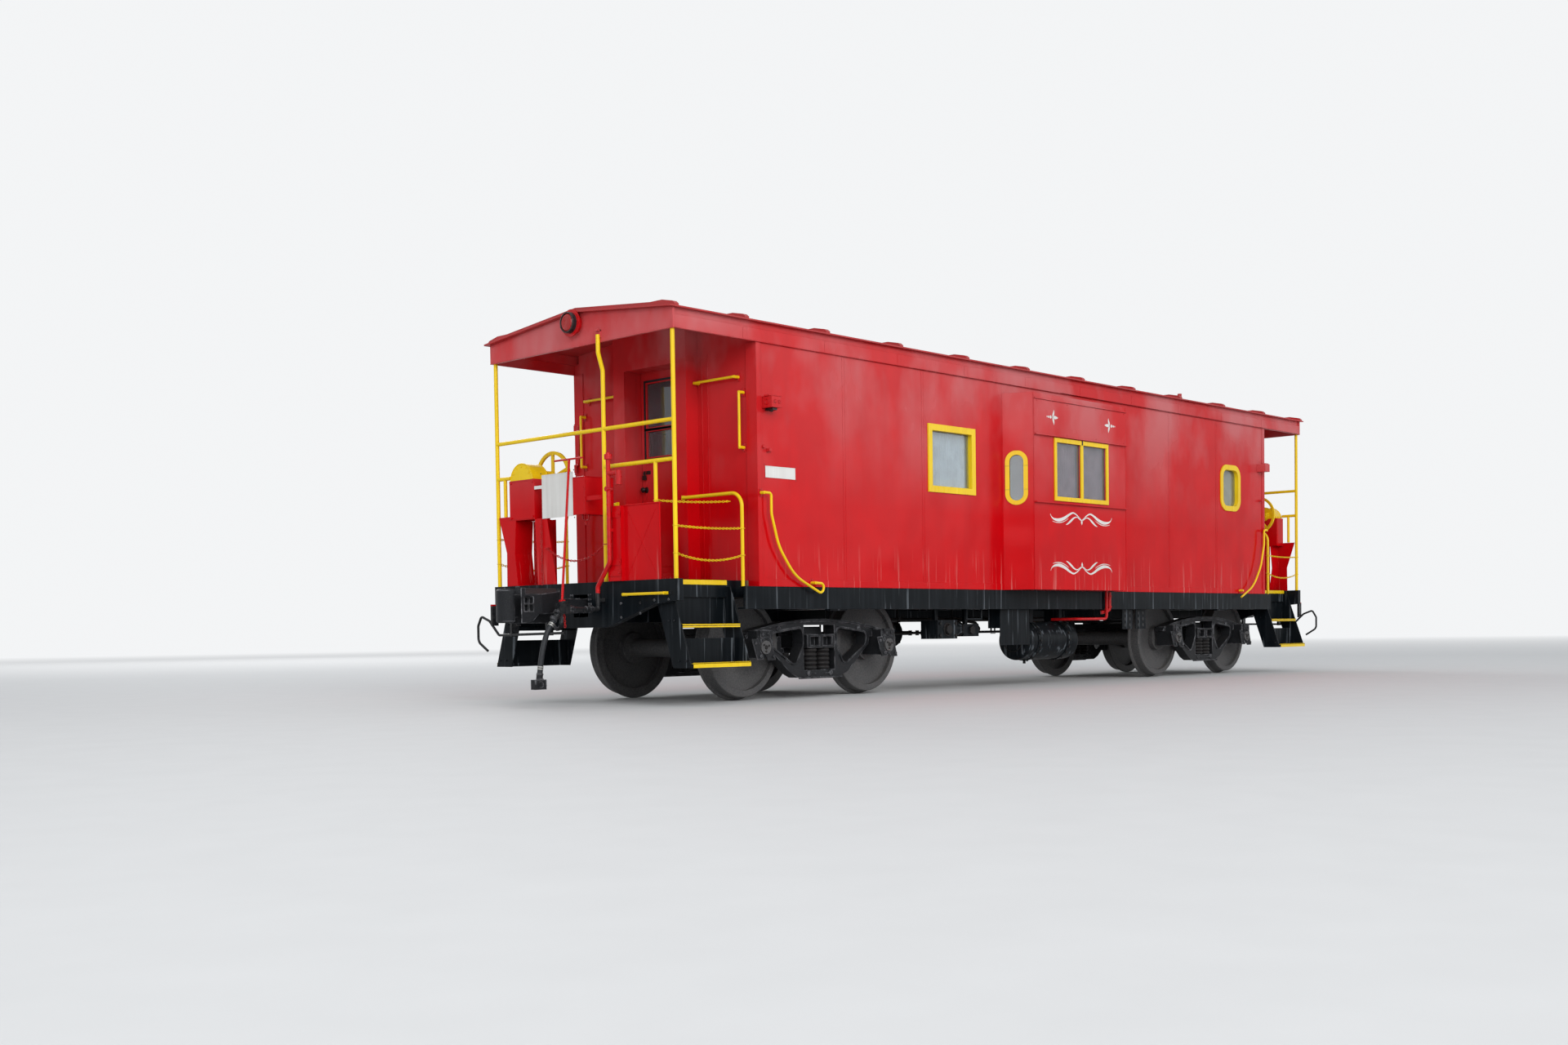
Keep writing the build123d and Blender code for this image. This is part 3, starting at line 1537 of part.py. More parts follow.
valve_blocks = (
    {"x": (-1960, -1640), "y": (-1080, -860), "bottom": 500, "top_z": up(690)},
    {"x": (-1480, -1220), "y": (-1040, -900), "bottom": 520, "top_z": up(650)},
    {"x": (-1900, -1860), "y": (-1000, -960), "bottom": 690, "top_z": wall_bottom_z},
    {"x": (-1400, -1360), "y": (-1000, -960), "bottom": 650, "top_z": wall_bottom_z},
)
valve_drum = {"x": (-1640, -1480), "y": -970, "height": 600, "radius": 70}
cylinder = {"x": (-900, -400), "y": 820, "height": 560, "radius": 150}
piston_rod = {"end_x": -60, "radius": 25}
cylinder_hangers = {"x": (-820, -520), "width": 40, "bottom": 700}

with BuildPart() as valve_group:
    for row in valve_blocks:
        block(row["x"], row["y"], (up(row["bottom"]), row["top_z"]))
    drum_ends = [(x, valve_drum["y"], up(valve_drum["height"])) for x in valve_drum["x"]]
    bar(*drum_ends, valve_drum["radius"])

with BuildPart() as brake_cylinder:
    cylinder_y = cylinder["y"]
    cylinder_z = up(cylinder["height"])
    start_x, end_x = cylinder["x"]
    bar((start_x, cylinder_y, cylinder_z), (end_x, cylinder_y, cylinder_z), cylinder["radius"])
    bar((end_x, cylinder_y, cylinder_z), (piston_rod["end_x"], cylinder_y, cylinder_z), piston_rod["radius"])
    hanger_half = cylinder_hangers["width"] / 2
    for x in cylinder_hangers["x"]:
        block(
            (x, x + cylinder_hangers["width"]),
            (cylinder_y - hanger_half, cylinder_y + hanger_half),
            (up(cylinder_hangers["bottom"]), wall_bottom_z),
        )
with BuildPart() as brake_equipment:
    add(valve_group.part)
    add(brake_cylinder.part)
write(brake_equipment, "brake_equipment")

side_pipe_z = up(690)
side_pipe_route = (
    (880, -1272, wall_bottom_z),
    (880, -1272, side_pipe_z),
    (420, -1200, side_pipe_z),
    (330, -900, side_pipe_z),
)
side_pipe_bends = (40, 60)
side_pipe_radius = 16

with BuildPart() as side_pipes:
    bent_bar(side_pipe_route, side_pipe_bends, side_pipe_radius)
with BuildPart() as air_pipes:
    add(both_ends(near_air_pipe, near_angle_cock).part)
    add(side_pipes.part)
write(air_pipes, "air_pipes")

# Curtains behind the glass, hung from a flat rod that is fixed to the wall
curtain_gap = 12
curtain_thickness = 10
curtain_rod = 20
curtain_places = (
    {"left": -2290, "right": -1550, "bottom": 1930, "top": 2660, "wall_y": wall_inner_y},
    {"left": 3570, "right": 4048, "bottom": 2010, "top": 2640, "wall_y": wall_inner_y},
    {"left": -500, "right": -30, "bottom": 1915, "top": bay_window["top"] + 29, "wall_y": bay_outer_y - bay_wall},
    {"left": 30, "right": 500, "bottom": 1915, "top": bay_window["top"] + 29, "wall_y": bay_outer_y - bay_wall},
)

with BuildPart() as left_curtains:
    for place in curtain_places:
        wall_y = -place["wall_y"]
        near_y = wall_y + curtain_gap
        cloth_top = up(place["top"])
        block(
            (place["left"], place["right"]),
            (near_y, near_y + curtain_thickness),
            (up(place["bottom"]), cloth_top),
        )
        block((place["left"], place["right"]), (wall_y, near_y + curtain_rod), (cloth_top, cloth_top + curtain_rod))
write(both_ends(left_curtains), "curtains")

# Trucks, each made about its own centre and then set under the car
frame_thickness = frame_outer_y - frame_inner_y
arch_top = 712
arch_end = 590
pedestal_height = 540
frame_end_x = 985
window_half = 215
window_top = 655
spring_seat_height = 235
bolster_end_bottom = 440
bolster_end_top = 567
bolster_end_half = 190
bolster_end_y = 992
box_half = 100
box_outer_y = 1092
box_bottom = 360
box_top = 610
frame_light = ((243, 628), (672, 576), (652, 468), (345, 285), (240, 468))
frame_light_round = 48
frame_rim = 16
frame_lip = 22
frame_rim_proud = 12
cap_gap = 5
# Cover plates on each bearing box, as (x, z) from the axle, with how far they stand out
box_covers = (
    {"outline": ((-170, 77), (-90, 80), (-20, -110), (-105, -110)), "proud": 8},
    {"outline": ((-62, 80), (66, 80), (126, -116), (33, -119), (-45, -20)), "proud": 14},
    {"outline": ((-81, 157), (35, 157), (58, 84), (-74, 84)), "proud": 24},
)

frame_edge = (
    (frame_end_x, up(arch_end)),
    (frame_end_x, up(pedestal_height)),
    (725, up(pedestal_height)),
    (715, up(470)),
    (400, up(210)),
    (300, up(165)),
    (-300, up(165)),
    (-400, up(210)),
    (-715, up(470)),
    (-725, up(pedestal_height)),
    (-frame_end_x, up(pedestal_height)),
    (-frame_end_x, up(arch_end)),
)

frame_plane = Plane(origin=(0, -frame_inner_y, 0), x_dir=(1, 0, 0), z_dir=(0, -1, 0))

with BuildSketch(frame_plane) as frame_outline:
    with BuildLine():
        ThreePointArc((-frame_end_x, up(arch_end)), (0, up(arch_top)), (frame_end_x, up(arch_end)))
        Polyline(*frame_edge)
    make_face()

with BuildSketch(frame_plane) as frame_lights:
    for side in (-1, 1):
        Polygon(*[(side * x, up(z)) for x, z in frame_light], align=None)
    fillet(frame_lights.vertices(), frame_light_round)

with BuildSketch(frame_plane) as light_rims:
    add(frame_lights.sketch)
    offset(amount=frame_rim)
    add(frame_lights.sketch, mode=Mode.SUBTRACT)

with BuildSketch(frame_plane) as edge_rims:
    with BuildLine():
        ThreePointArc((-frame_end_x, up(arch_end)), (0, up(arch_top)), (frame_end_x, up(arch_end)))
        Line((frame_end_x, up(arch_end)), (frame_end_x, up(arch_end - frame_lip)))
        ThreePointArc(
            (frame_end_x, up(arch_end - frame_lip)),
            (0, up(arch_top - frame_lip)),
            (-frame_end_x, up(arch_end - frame_lip)),
        )
        Line((-frame_end_x, up(arch_end - frame_lip)), (-frame_end_x, up(arch_end)))
    make_face()

with BuildPart() as truck_frame:
    with BuildSketch(frame_plane) as frame_view:
        add(frame_outline.sketch)
        with Locations((0, up((spring_seat_height + window_top) / 2))):
            Rectangle(2 * window_half, window_top - spring_seat_height, mode=Mode.SUBTRACT)
        add(frame_lights.sketch, mode=Mode.SUBTRACT)
    extrude(frame_view.sketch, amount=frame_thickness)
    for rims in (light_rims, edge_rims):
        extrude(rims.sketch, amount=frame_thickness + frame_rim_proud)
    for side in (-1, 1):
        centre_x = side * half_wheelbase
        span = (centre_x - box_half, centre_x + box_half)
        block(span, (-frame_outer_y, -frame_inner_y), (up(box_bottom), up(pedestal_height)))
        block(span, (-box_outer_y, -frame_outer_y), (up(box_bottom), up(box_top)))
        for cover in box_covers:
            cover_outline = [(centre_x + x, axle_z + z) for x, z in cover["outline"]]
            prism_y(cover_outline, (-box_outer_y - cover["proud"], -box_outer_y))
        bar(
            (centre_x, -frame_inner_y + 1, axle_z),
            (centre_x, -box_outer_y - 1, axle_z),
            journal_radius + journal_clearance,
            mode=Mode.SUBTRACT,
        )
        bar(
            (centre_x, -box_outer_y, axle_z),
            (centre_x, -end_cap_y - frame_rim, axle_z),
            end_cap_radius + cap_gap,
            mode=Mode.SUBTRACT,
        )

bolster_half = 170
bolster_top = 640
bolster_gap = 8
centre_plate_rim = 15
pocket_half = 62
pocket_depth = 60
pocket_margin = 22
coil_x = 88
coil_y = 905

with BuildPart() as bolster:
    block(
        (-bolster_half, bolster_half),
        (-frame_inner_y + bolster_gap, frame_inner_y - bolster_gap),
        (up(bolster_end_bottom), up(bolster_top)),
    )
    block(
        (-bolster_end_half, bolster_end_half),
        (-bolster_end_y, bolster_end_y),
        (up(bolster_end_bottom), up(bolster_end_top)),
    )
    bar((0, 0, up(bolster_top)), (0, 0, up(bolster_seat_height)), centre_plate_radius + centre_plate_rim)
    for side in (-1, 1):
        for x in (-coil_x, coil_x):
            block(
                (x - pocket_half, x + pocket_half),
                (side * bolster_end_y, side * (bolster_end_y - pocket_depth)),
                (up(bolster_end_bottom + pocket_margin), up(bolster_end_top - pocket_margin)),
                mode=Mode.SUBTRACT,
            )

coil_turns = 5
coil_radius = 82
coil_wire = 16
coil_places = [(x, y) for y in (-coil_y, coil_y) for x in (-coil_x, coil_x)]
coil_pitch = (bolster_end_bottom - spring_seat_height) / coil_turns

with BuildPart() as springs:
    for x, y in coil_places:
        with BuildSketch(Plane(origin=(x, y, 0), x_dir=(1, 0, 0), z_dir=(0, -1, 0))) as coil:
            with BuildLine():
                base_z = up(spring_seat_height)
                top_z = up(bolster_end_bottom)
                inner = coil_radius - coil_wire
                Polyline((inner, top_z), (0, top_z), (0, base_z), (inner, base_z))
                for turn in range(coil_turns):
                    low = base_z + turn * coil_pitch
                    ThreePointArc((inner, low), (coil_radius, low + coil_pitch / 2), (inner, low + coil_pitch))
            make_face()
        revolve(coil.sketch, axis=Axis((x, y, 0), (0, 0, 1)))

shoe_clearance = 8
shoe_thickness = 45
shoe_y = (722, 806)
beam_x = 338
beam_z = axle_z - 40
beam_radius = 26
hanger_top = 668
hanger_bar_radius = 12
brake_hanger_y = (750, 780)
hanger_half_width = 14
shoe_size = (200, 270)
shoe_inset = 30

with BuildPart() as brake_rigging:
    for side in (-1, 1):
        wheel_x = side * half_wheelbase
        bar((side * beam_x, -shoe_y[1], beam_z), (side * beam_x, shoe_y[1], beam_z), beam_radius)
        bar(
            (side * beam_x, -frame_inner_y, up(hanger_top)),
            (side * beam_x, frame_inner_y, up(hanger_top)),
            hanger_bar_radius,
        )
        for hand in (-1, 1):
            low_y, high_y = sorted((hand * shoe_y[0], hand * shoe_y[1]))
            with BuildSketch(Plane(origin=(wheel_x, high_y, axle_z), x_dir=(1, 0, 0), z_dir=(0, -1, 0))) as shoe:
                Circle(wheel_radius + shoe_clearance + shoe_thickness)
                Circle(wheel_radius + shoe_clearance, mode=Mode.SUBTRACT)
                with Locations((-side * (wheel_radius + shoe_inset), beam_z - axle_z)):
                    Rectangle(*shoe_size, mode=Mode.INTERSECT)
            extrude(shoe.sketch, amount=high_y - low_y)
            block(
                (side * (beam_x - hanger_half_width), side * (beam_x + hanger_half_width)),
                [hand * y for y in brake_hanger_y],
                (beam_z, up(hanger_top)),
            )

truck_pieces = (
    (both_ends(truck_frame), "side_frames"),
    (brake_rigging, "brake_rigging"),
    (bolster, "bolster"),
    (springs, "springs"),
)

for name, end in (("near", -1), ("far", 1)):
    for piece, label in truck_pieces:
        with BuildPart() as placed:
            with Locations((end * truck_centre_x, 0, 0)):
                add(piece.part)
        write(placed, f"{name}_{label}")

# Wheelsets: one axle and its two wheels turn together
wheel_back = wheel_back_spacing / 2
hub_radius = 150
rim_depth = 62

wheelset_profile = [
    (0, 0),
    (axle_radius, 0),
    (axle_radius, wheel_back - 30),
    (wheel_seat_radius, wheel_back - 22),
    (hub_radius, wheel_back - 8),
    (hub_radius, wheel_back + 48),
    (wheel_radius - rim_depth, wheel_back + 62),
    (wheel_radius - rim_depth, wheel_back),
    (wheel_radius + flange_depth - 8, wheel_back),
    (wheel_radius + flange_depth, wheel_back + 10),
    (wheel_radius + flange_depth - 4, wheel_back + 22),
    (wheel_radius + 2, wheel_back + 34),
    (wheel_radius, wheel_back + 70),
    (wheel_radius - 3, wheel_back + wheel_width - 8),
    (wheel_radius - 10, wheel_back + wheel_width),
    (wheel_radius - rim_depth, wheel_back + wheel_width),
    (wheel_radius - rim_depth - 4, wheel_back + 98),
    (hub_radius, wheel_back + 84),
    (hub_radius, wheel_back + 150),
    (axle_radius, wheel_back + 150),
    (journal_radius, wheel_back + 158),
    (journal_radius, journal_end_y),
    (end_cap_radius, journal_end_y + 4),
    (end_cap_radius, end_cap_y),
    (0, end_cap_y),
]

wheelset_places = (
    ("near_outer", -truck_centre_x - half_wheelbase),
    ("near_inner", -truck_centre_x + half_wheelbase),
    ("far_inner", truck_centre_x - half_wheelbase),
    ("far_outer", truck_centre_x + half_wheelbase),
)

for name, centre_x in wheelset_places:
    with BuildPart() as wheelset:
        with BuildSketch(Plane(origin=(centre_x, 0, axle_z), x_dir=(0, 0, 1), z_dir=(-1, 0, 0))) as profile:
            Polygon(*wheelset_profile, align=None)
            mirror(about=Plane(origin=(centre_x, 0, axle_z), z_dir=(0, 1, 0)))
        revolve(profile.sketch, axis=Axis((centre_x, 0, axle_z), (0, 1, 0)))
    write(wheelset, f"{name}_wheelset")

print(len(node_names), "nodes")
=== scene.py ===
import json
import math

import bmesh
import bpy
from mathutils import Matrix, Vector


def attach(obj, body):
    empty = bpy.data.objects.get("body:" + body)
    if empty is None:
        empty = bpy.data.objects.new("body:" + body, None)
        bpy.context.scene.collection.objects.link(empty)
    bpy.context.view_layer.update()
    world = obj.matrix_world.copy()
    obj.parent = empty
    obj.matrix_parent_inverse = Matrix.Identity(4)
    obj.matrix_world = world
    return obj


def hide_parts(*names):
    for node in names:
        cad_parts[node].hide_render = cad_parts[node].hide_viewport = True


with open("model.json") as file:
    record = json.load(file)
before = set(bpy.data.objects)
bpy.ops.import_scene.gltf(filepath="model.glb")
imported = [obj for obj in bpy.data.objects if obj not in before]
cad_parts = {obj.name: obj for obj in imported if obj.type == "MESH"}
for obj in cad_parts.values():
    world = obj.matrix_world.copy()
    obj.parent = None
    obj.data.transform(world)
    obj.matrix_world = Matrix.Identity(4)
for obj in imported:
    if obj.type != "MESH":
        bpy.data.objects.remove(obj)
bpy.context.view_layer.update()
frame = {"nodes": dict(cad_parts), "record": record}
railTop = 0.028
halfTurn = Matrix.Rotation(math.pi, 4, "Z")
endTurns = {"near": Matrix.Identity(4), "far": halfTurn}


def up(height):
    # Heights here are above the rail; the frame's zero is at the bottom of the flanges
    return height + railTop


def raised(x, y, height):
    return Vector((x, y, up(height)))


def evenly(low, high, count):
    return [low + (high - low) * index / (count - 1) for index in range(count)]


# Camera, set where the photograph was taken from
cameraSetup = {
    "spot": (-14.9284, -11.2227, up(0.594)), "yaw": 43.49, "pitch": -1.845, "roll": -0.824, "lens": 37.14,
    "sensor": 36, "shiftUp": 0.103, "sight": 300,
}


def placeCamera(setup):
    yaw, pitch, roll = (math.radians(setup[key]) for key in ("yaw", "pitch", "roll"))
    ahead = Vector((math.cos(yaw) * math.cos(pitch), math.sin(yaw) * math.cos(pitch), math.sin(pitch)))
    right = Vector((math.sin(yaw), -math.cos(yaw), 0))
    above = right.cross(ahead)
    tiltedRight = right * math.cos(roll) + above * math.sin(roll)
    tiltedUp = above * math.cos(roll) - right * math.sin(roll)
    axes = Matrix((tiltedRight, tiltedUp, -ahead)).transposed()
    lensData = bpy.data.cameras.new("photoCamera")
    lensData.lens = setup["lens"]
    lensData.sensor_width = setup["sensor"]
    lensData.shift_y = setup["shiftUp"]
    lensData.clip_end = setup["sight"]
    camera = bpy.data.objects.new("photoCamera", lensData)
    camera.matrix_world = Matrix.Translation(setup["spot"]) @ axes.to_4x4()
    bpy.context.scene.collection.objects.link(camera)
    bpy.context.scene.camera = camera


placeCamera(cameraSetup)
print("camera placed")

# Node helpers


def feed(tree, socket, value):
    # A socket takes a link or a plain value; every plain colour is opaque
    if isinstance(value, bpy.types.NodeSocket):
        tree.links.new(value, socket)
    else:
        socket.default_value = (*value, 1) if socket.type == "RGBA" else value


def place(tree, kind, values=None, **settings):
    node = tree.nodes.new("ShaderNode" + kind)
    for key, value in settings.items():
        setattr(node, key, value)
    for key, value in (values or {}).items():
        feed(tree, node.inputs[key], value)
    return node


def useGroup(tree, group, **values):
    return place(tree, "Group", values, node_tree=group).outputs


def mixColour(tree, factor, first, second):
    return place(tree, "Mix", {0: factor, 6: first, 7: second}, data_type="RGBA").outputs[2]


def compute(tree, operation, *values):
    return place(tree, "Math", dict(enumerate(values)), operation=operation).outputs[0]


def times(tree, first, second):
    return compute(tree, "MULTIPLY", first, second)


def spread(tree, value, low, high, toLow=0.0, toHigh=1.0):
    values = {"Value": value, "From Min": low, "From Max": high, "To Min": toLow, "To Max": toHigh}
    return place(tree, "MapRange", values).outputs[0]


def addNoise(tree, vector, scale, detail, rough=0.5):
    values = {"Vector": vector, "Scale": scale, "Detail": detail, "Roughness": rough}
    return place(tree, "TexNoise", values).outputs[0]


def objectSpace(tree, scale=(1, 1, 1)):
    coords = place(tree, "TexCoord").outputs["Object"]
    return place(tree, "Mapping", {"Vector": coords, "Scale": scale}).outputs[0]


def splitAxes(tree, vector):
    return place(tree, "SeparateXYZ", {0: vector}).outputs


def stretched(tree, parts, across, down):
    # Coordinates for marks that run down a sheet
    along = times(tree, parts[0], across)
    side = times(tree, parts[1], across)
    height = times(tree, parts[2], down)
    return place(tree, "CombineXYZ", {0: along, 1: side, 2: height}).outputs[0]


def startGroup(name, inputs, values, vectors=()):
    group = bpy.data.node_groups.new(name, "ShaderNodeTree")
    sockets = group.interface
    for label, value in inputs.items():
        sockets.new_socket(name=label, in_out="INPUT", socket_type="NodeSocketFloat").default_value = value
    for label in values:
        sockets.new_socket(name=label, in_out="OUTPUT", socket_type="NodeSocketFloat")
    for label in vectors:
        sockets.new_socket(name=label, in_out="OUTPUT", socket_type="NodeSocketVector")
    return group, group.nodes.new("NodeGroupInput").outputs, group.nodes.new("NodeGroupOutput").inputs


# Effects that several finishes share; a noise is given as scale, detail and roughness
effectSetup = {
    "streaks": {"noise": (1.0, 6.0, 0.6), "shows": (0.46, 0.72)},
    "drips": {"noise": (1.0, 3.0, 0.5), "down": 1.1, "shows": (0.60, 0.67)},
    "fadeAndReflection": {"noise": (0.85, 4.0, 0.55), "stretch": (1.0, 1.0, 0.62), "shows": (0.42, 0.60, 0.15, 1.0)},
    "edges": {"samples": 4, "bend": (0.01, 0.12), "noise": (14.0, 5.0), "shows": (0.4, 0.65)},
    "waves": {"detail": 2.0, "peelDepth": 0.012, "patches": (2.3, 5.0), "shows": (0.35, 0.7)},
    "dust": {"upward": (0.35, 0.95), "fallen": 0.55, "noise": (6.0, 7.0, 0.65), "shows": (0.35, 0.7)},
    "cast": {"detail": 8.0, "rough": 0.7, "grainDepth": 0.35, "lumps": (7.0, 3.0), "shows": (0.42, 0.6)},
}


def makeStreaks():
    setup = effectSetup["streaks"]
    group, given, result = startGroup("rainStreaks", {"Across": 9.0, "Down": 0.7, "Amount": 1.0}, ("Mask",))
    parts = splitAxes(group, place(group, "TexCoord").outputs["Object"])
    noise = addNoise(group, stretched(group, parts, given["Across"], given["Down"]), *setup["noise"])
    mask = spread(group, noise, *setup["shows"])
    group.links.new(times(group, mask, given["Amount"]), result["Mask"])
    return group


def makeDrips():
    # Thin runs that start at an edge and fade over a height
    setup = effectSetup["drips"]
    inputs = {"Across": 24.0, "Edge": 1.0, "Fade": 1.3, "Amount": 1.0}
    group, given, result = startGroup("dripRuns", inputs, ("Mask",))
    parts = splitAxes(group, objectSpace(group))
    noise = addNoise(group, stretched(group, parts, given["Across"], setup["down"]), *setup["noise"])
    lines = spread(group, noise, *setup["shows"])
    falling = spread(group, parts[2], given["Edge"], given["Fade"], 1.0, 0.0)
    mask = times(group, times(group, lines, falling), given["Amount"])
    group.links.new(mask, result["Mask"])
    return group


def makeFadeAndReflection():
    # Pale pink clouds, more of them higher up: partly paint that the sun has faded, partly a painted
    # reflection of the sky
    setup = effectSetup["fadeAndReflection"]
    group, given, result = startGroup("sunFadeAndReflection", {"Low": 1.8, "High": 3.2, "Amount": 0.5}, ("Mask",))
    noise = addNoise(group, objectSpace(group, setup["stretch"]), *setup["noise"])
    level = splitAxes(group, objectSpace(group))[2]
    rising = spread(group, level, given["Low"], given["High"])
    clouds = spread(group, noise, *setup["shows"])
    mask = times(group, times(group, rising, clouds), given["Amount"])
    group.links.new(mask, result["Mask"])
    return group


def makeEdgeWearAndHighlight():
    # Bare edges found by a rounded normal, which the finishes take over as well; on cast steel their pale
    # colour is partly a painted highlight
    setup = effectSetup["edges"]
    group, given, result = startGroup("edgeWearAndHighlight", {"Radius": 0.006, "Amount": 1.0}, ("Mask",), ("Rounded",))
    rounded = place(group, "Bevel", {"Radius": given["Radius"]}, samples=setup["samples"]).outputs[0]
    flat = place(group, "NewGeometry").outputs["Normal"]
    both = {0: rounded, 1: flat}
    facing = place(group, "VectorMath", both, operation="DOT_PRODUCT").outputs["Value"]
    edge = spread(group, compute(group, "SUBTRACT", 1.0, facing), *setup["bend"])
    patches = addNoise(group, objectSpace(group), *setup["noise"])
    worn = times(group, edge, spread(group, patches, *setup["shows"]))
    group.links.new(times(group, worn, given["Amount"]), result["Mask"])
    group.links.new(rounded, result["Rounded"])
    return group


def makeSheetWaves():
    setup = effectSetup["waves"]
    group, given, result = startGroup("sheetWaves", {"Size": 1.3, "Peel": 70.0}, ("Height", "Patches"))
    vector = objectSpace(group)
    broad = addNoise(group, vector, given["Size"], setup["detail"])
    fine = addNoise(group, vector, given["Peel"], setup["detail"])
    height = compute(group, "ADD", broad, times(group, fine, setup["peelDepth"]))
    group.links.new(height, result["Height"])
    patches = addNoise(group, vector, *setup["patches"])
    group.links.new(spread(group, patches, *setup["shows"]), result["Patches"])
    return group


def makeDust():
    # Dust on what faces up, and more of it near the ground
    setup = effectSetup["dust"]
    group, given, result = startGroup("dustFall", {"Amount": 0.5, "Low": 0.1, "High": 1.0}, ("Mask",))
    vector = objectSpace(group)
    normal = place(group, "NewGeometry").outputs["Normal"]
    upward = spread(group, splitAxes(group, normal)[2], *setup["upward"])
    level = splitAxes(group, vector)[2]
    low = spread(group, level, given["Low"], given["High"], setup["fallen"], 0.0)
    cloud = addNoise(group, vector, *setup["noise"])
    both = compute(group, "ADD", upward, low)
    patchy = times(group, both, spread(group, cloud, *setup["shows"]))
    mask = times(group, patchy, given["Amount"])
    group.links.new(place(group, "Clamp", {0: mask}).outputs[0], result["Mask"])
    return group


def makeCastGrain():
    setup = effectSetup["cast"]
    group, given, result = startGroup("castGrain", {"Scale": 90.0}, ("Height", "Pits"))
    vector = objectSpace(group)
    grain = addNoise(group, vector, given["Scale"], setup["detail"], setup["rough"])
    lumps = addNoise(group, vector, *setup["lumps"])
    height = compute(group, "ADD", times(group, grain, setup["grainDepth"]), lumps)
    group.links.new(height, result["Height"])
    group.links.new(spread(group, grain, *setup["shows"]), result["Pits"])
    return group


streaksGroup = makeStreaks()
dripsGroup = makeDrips()
fadeAndReflectionGroup = makeFadeAndReflection()
edgeGroup = makeEdgeWearAndHighlight()
wavesGroup = makeSheetWaves()
dustGroup = makeDust()
castGroup = makeCastGrain()
finishes = {}


def startMaterial(name):
    material = bpy.data.materials.new(name)
    material.use_nodes = True
    tree = material.node_tree
    tree.nodes.clear()
    shader = tree.nodes.new("ShaderNodeBsdfPrincipled")
    output = tree.nodes.new("ShaderNodeOutputMaterial")
    tree.links.new(shader.outputs[0], output.inputs[0])
    finishes[name] = material
    return tree, shader


def setShader(tree, shader, **values):
    labels = {
        "colour": "Base Color", "rough": "Roughness", "metal": "Metallic", "normal": "Normal",
        "clear": "Transmission Weight", "ior": "IOR", "sheen": "Sheen Weight", "paintedGlow": "Emission Color",
        "paintedGlowPower": "Emission Strength", "specular": "Specular IOR Level",
    }
    for key, value in values.items():
        feed(tree, shader.inputs[labels[key]], value)


def addBump(tree, depth, height, normal=None):
    values = {"Distance": depth, "Height": height}
    if normal is not None:
        values["Normal"] = normal
    return place(tree, "Bump", values).outputs[0]


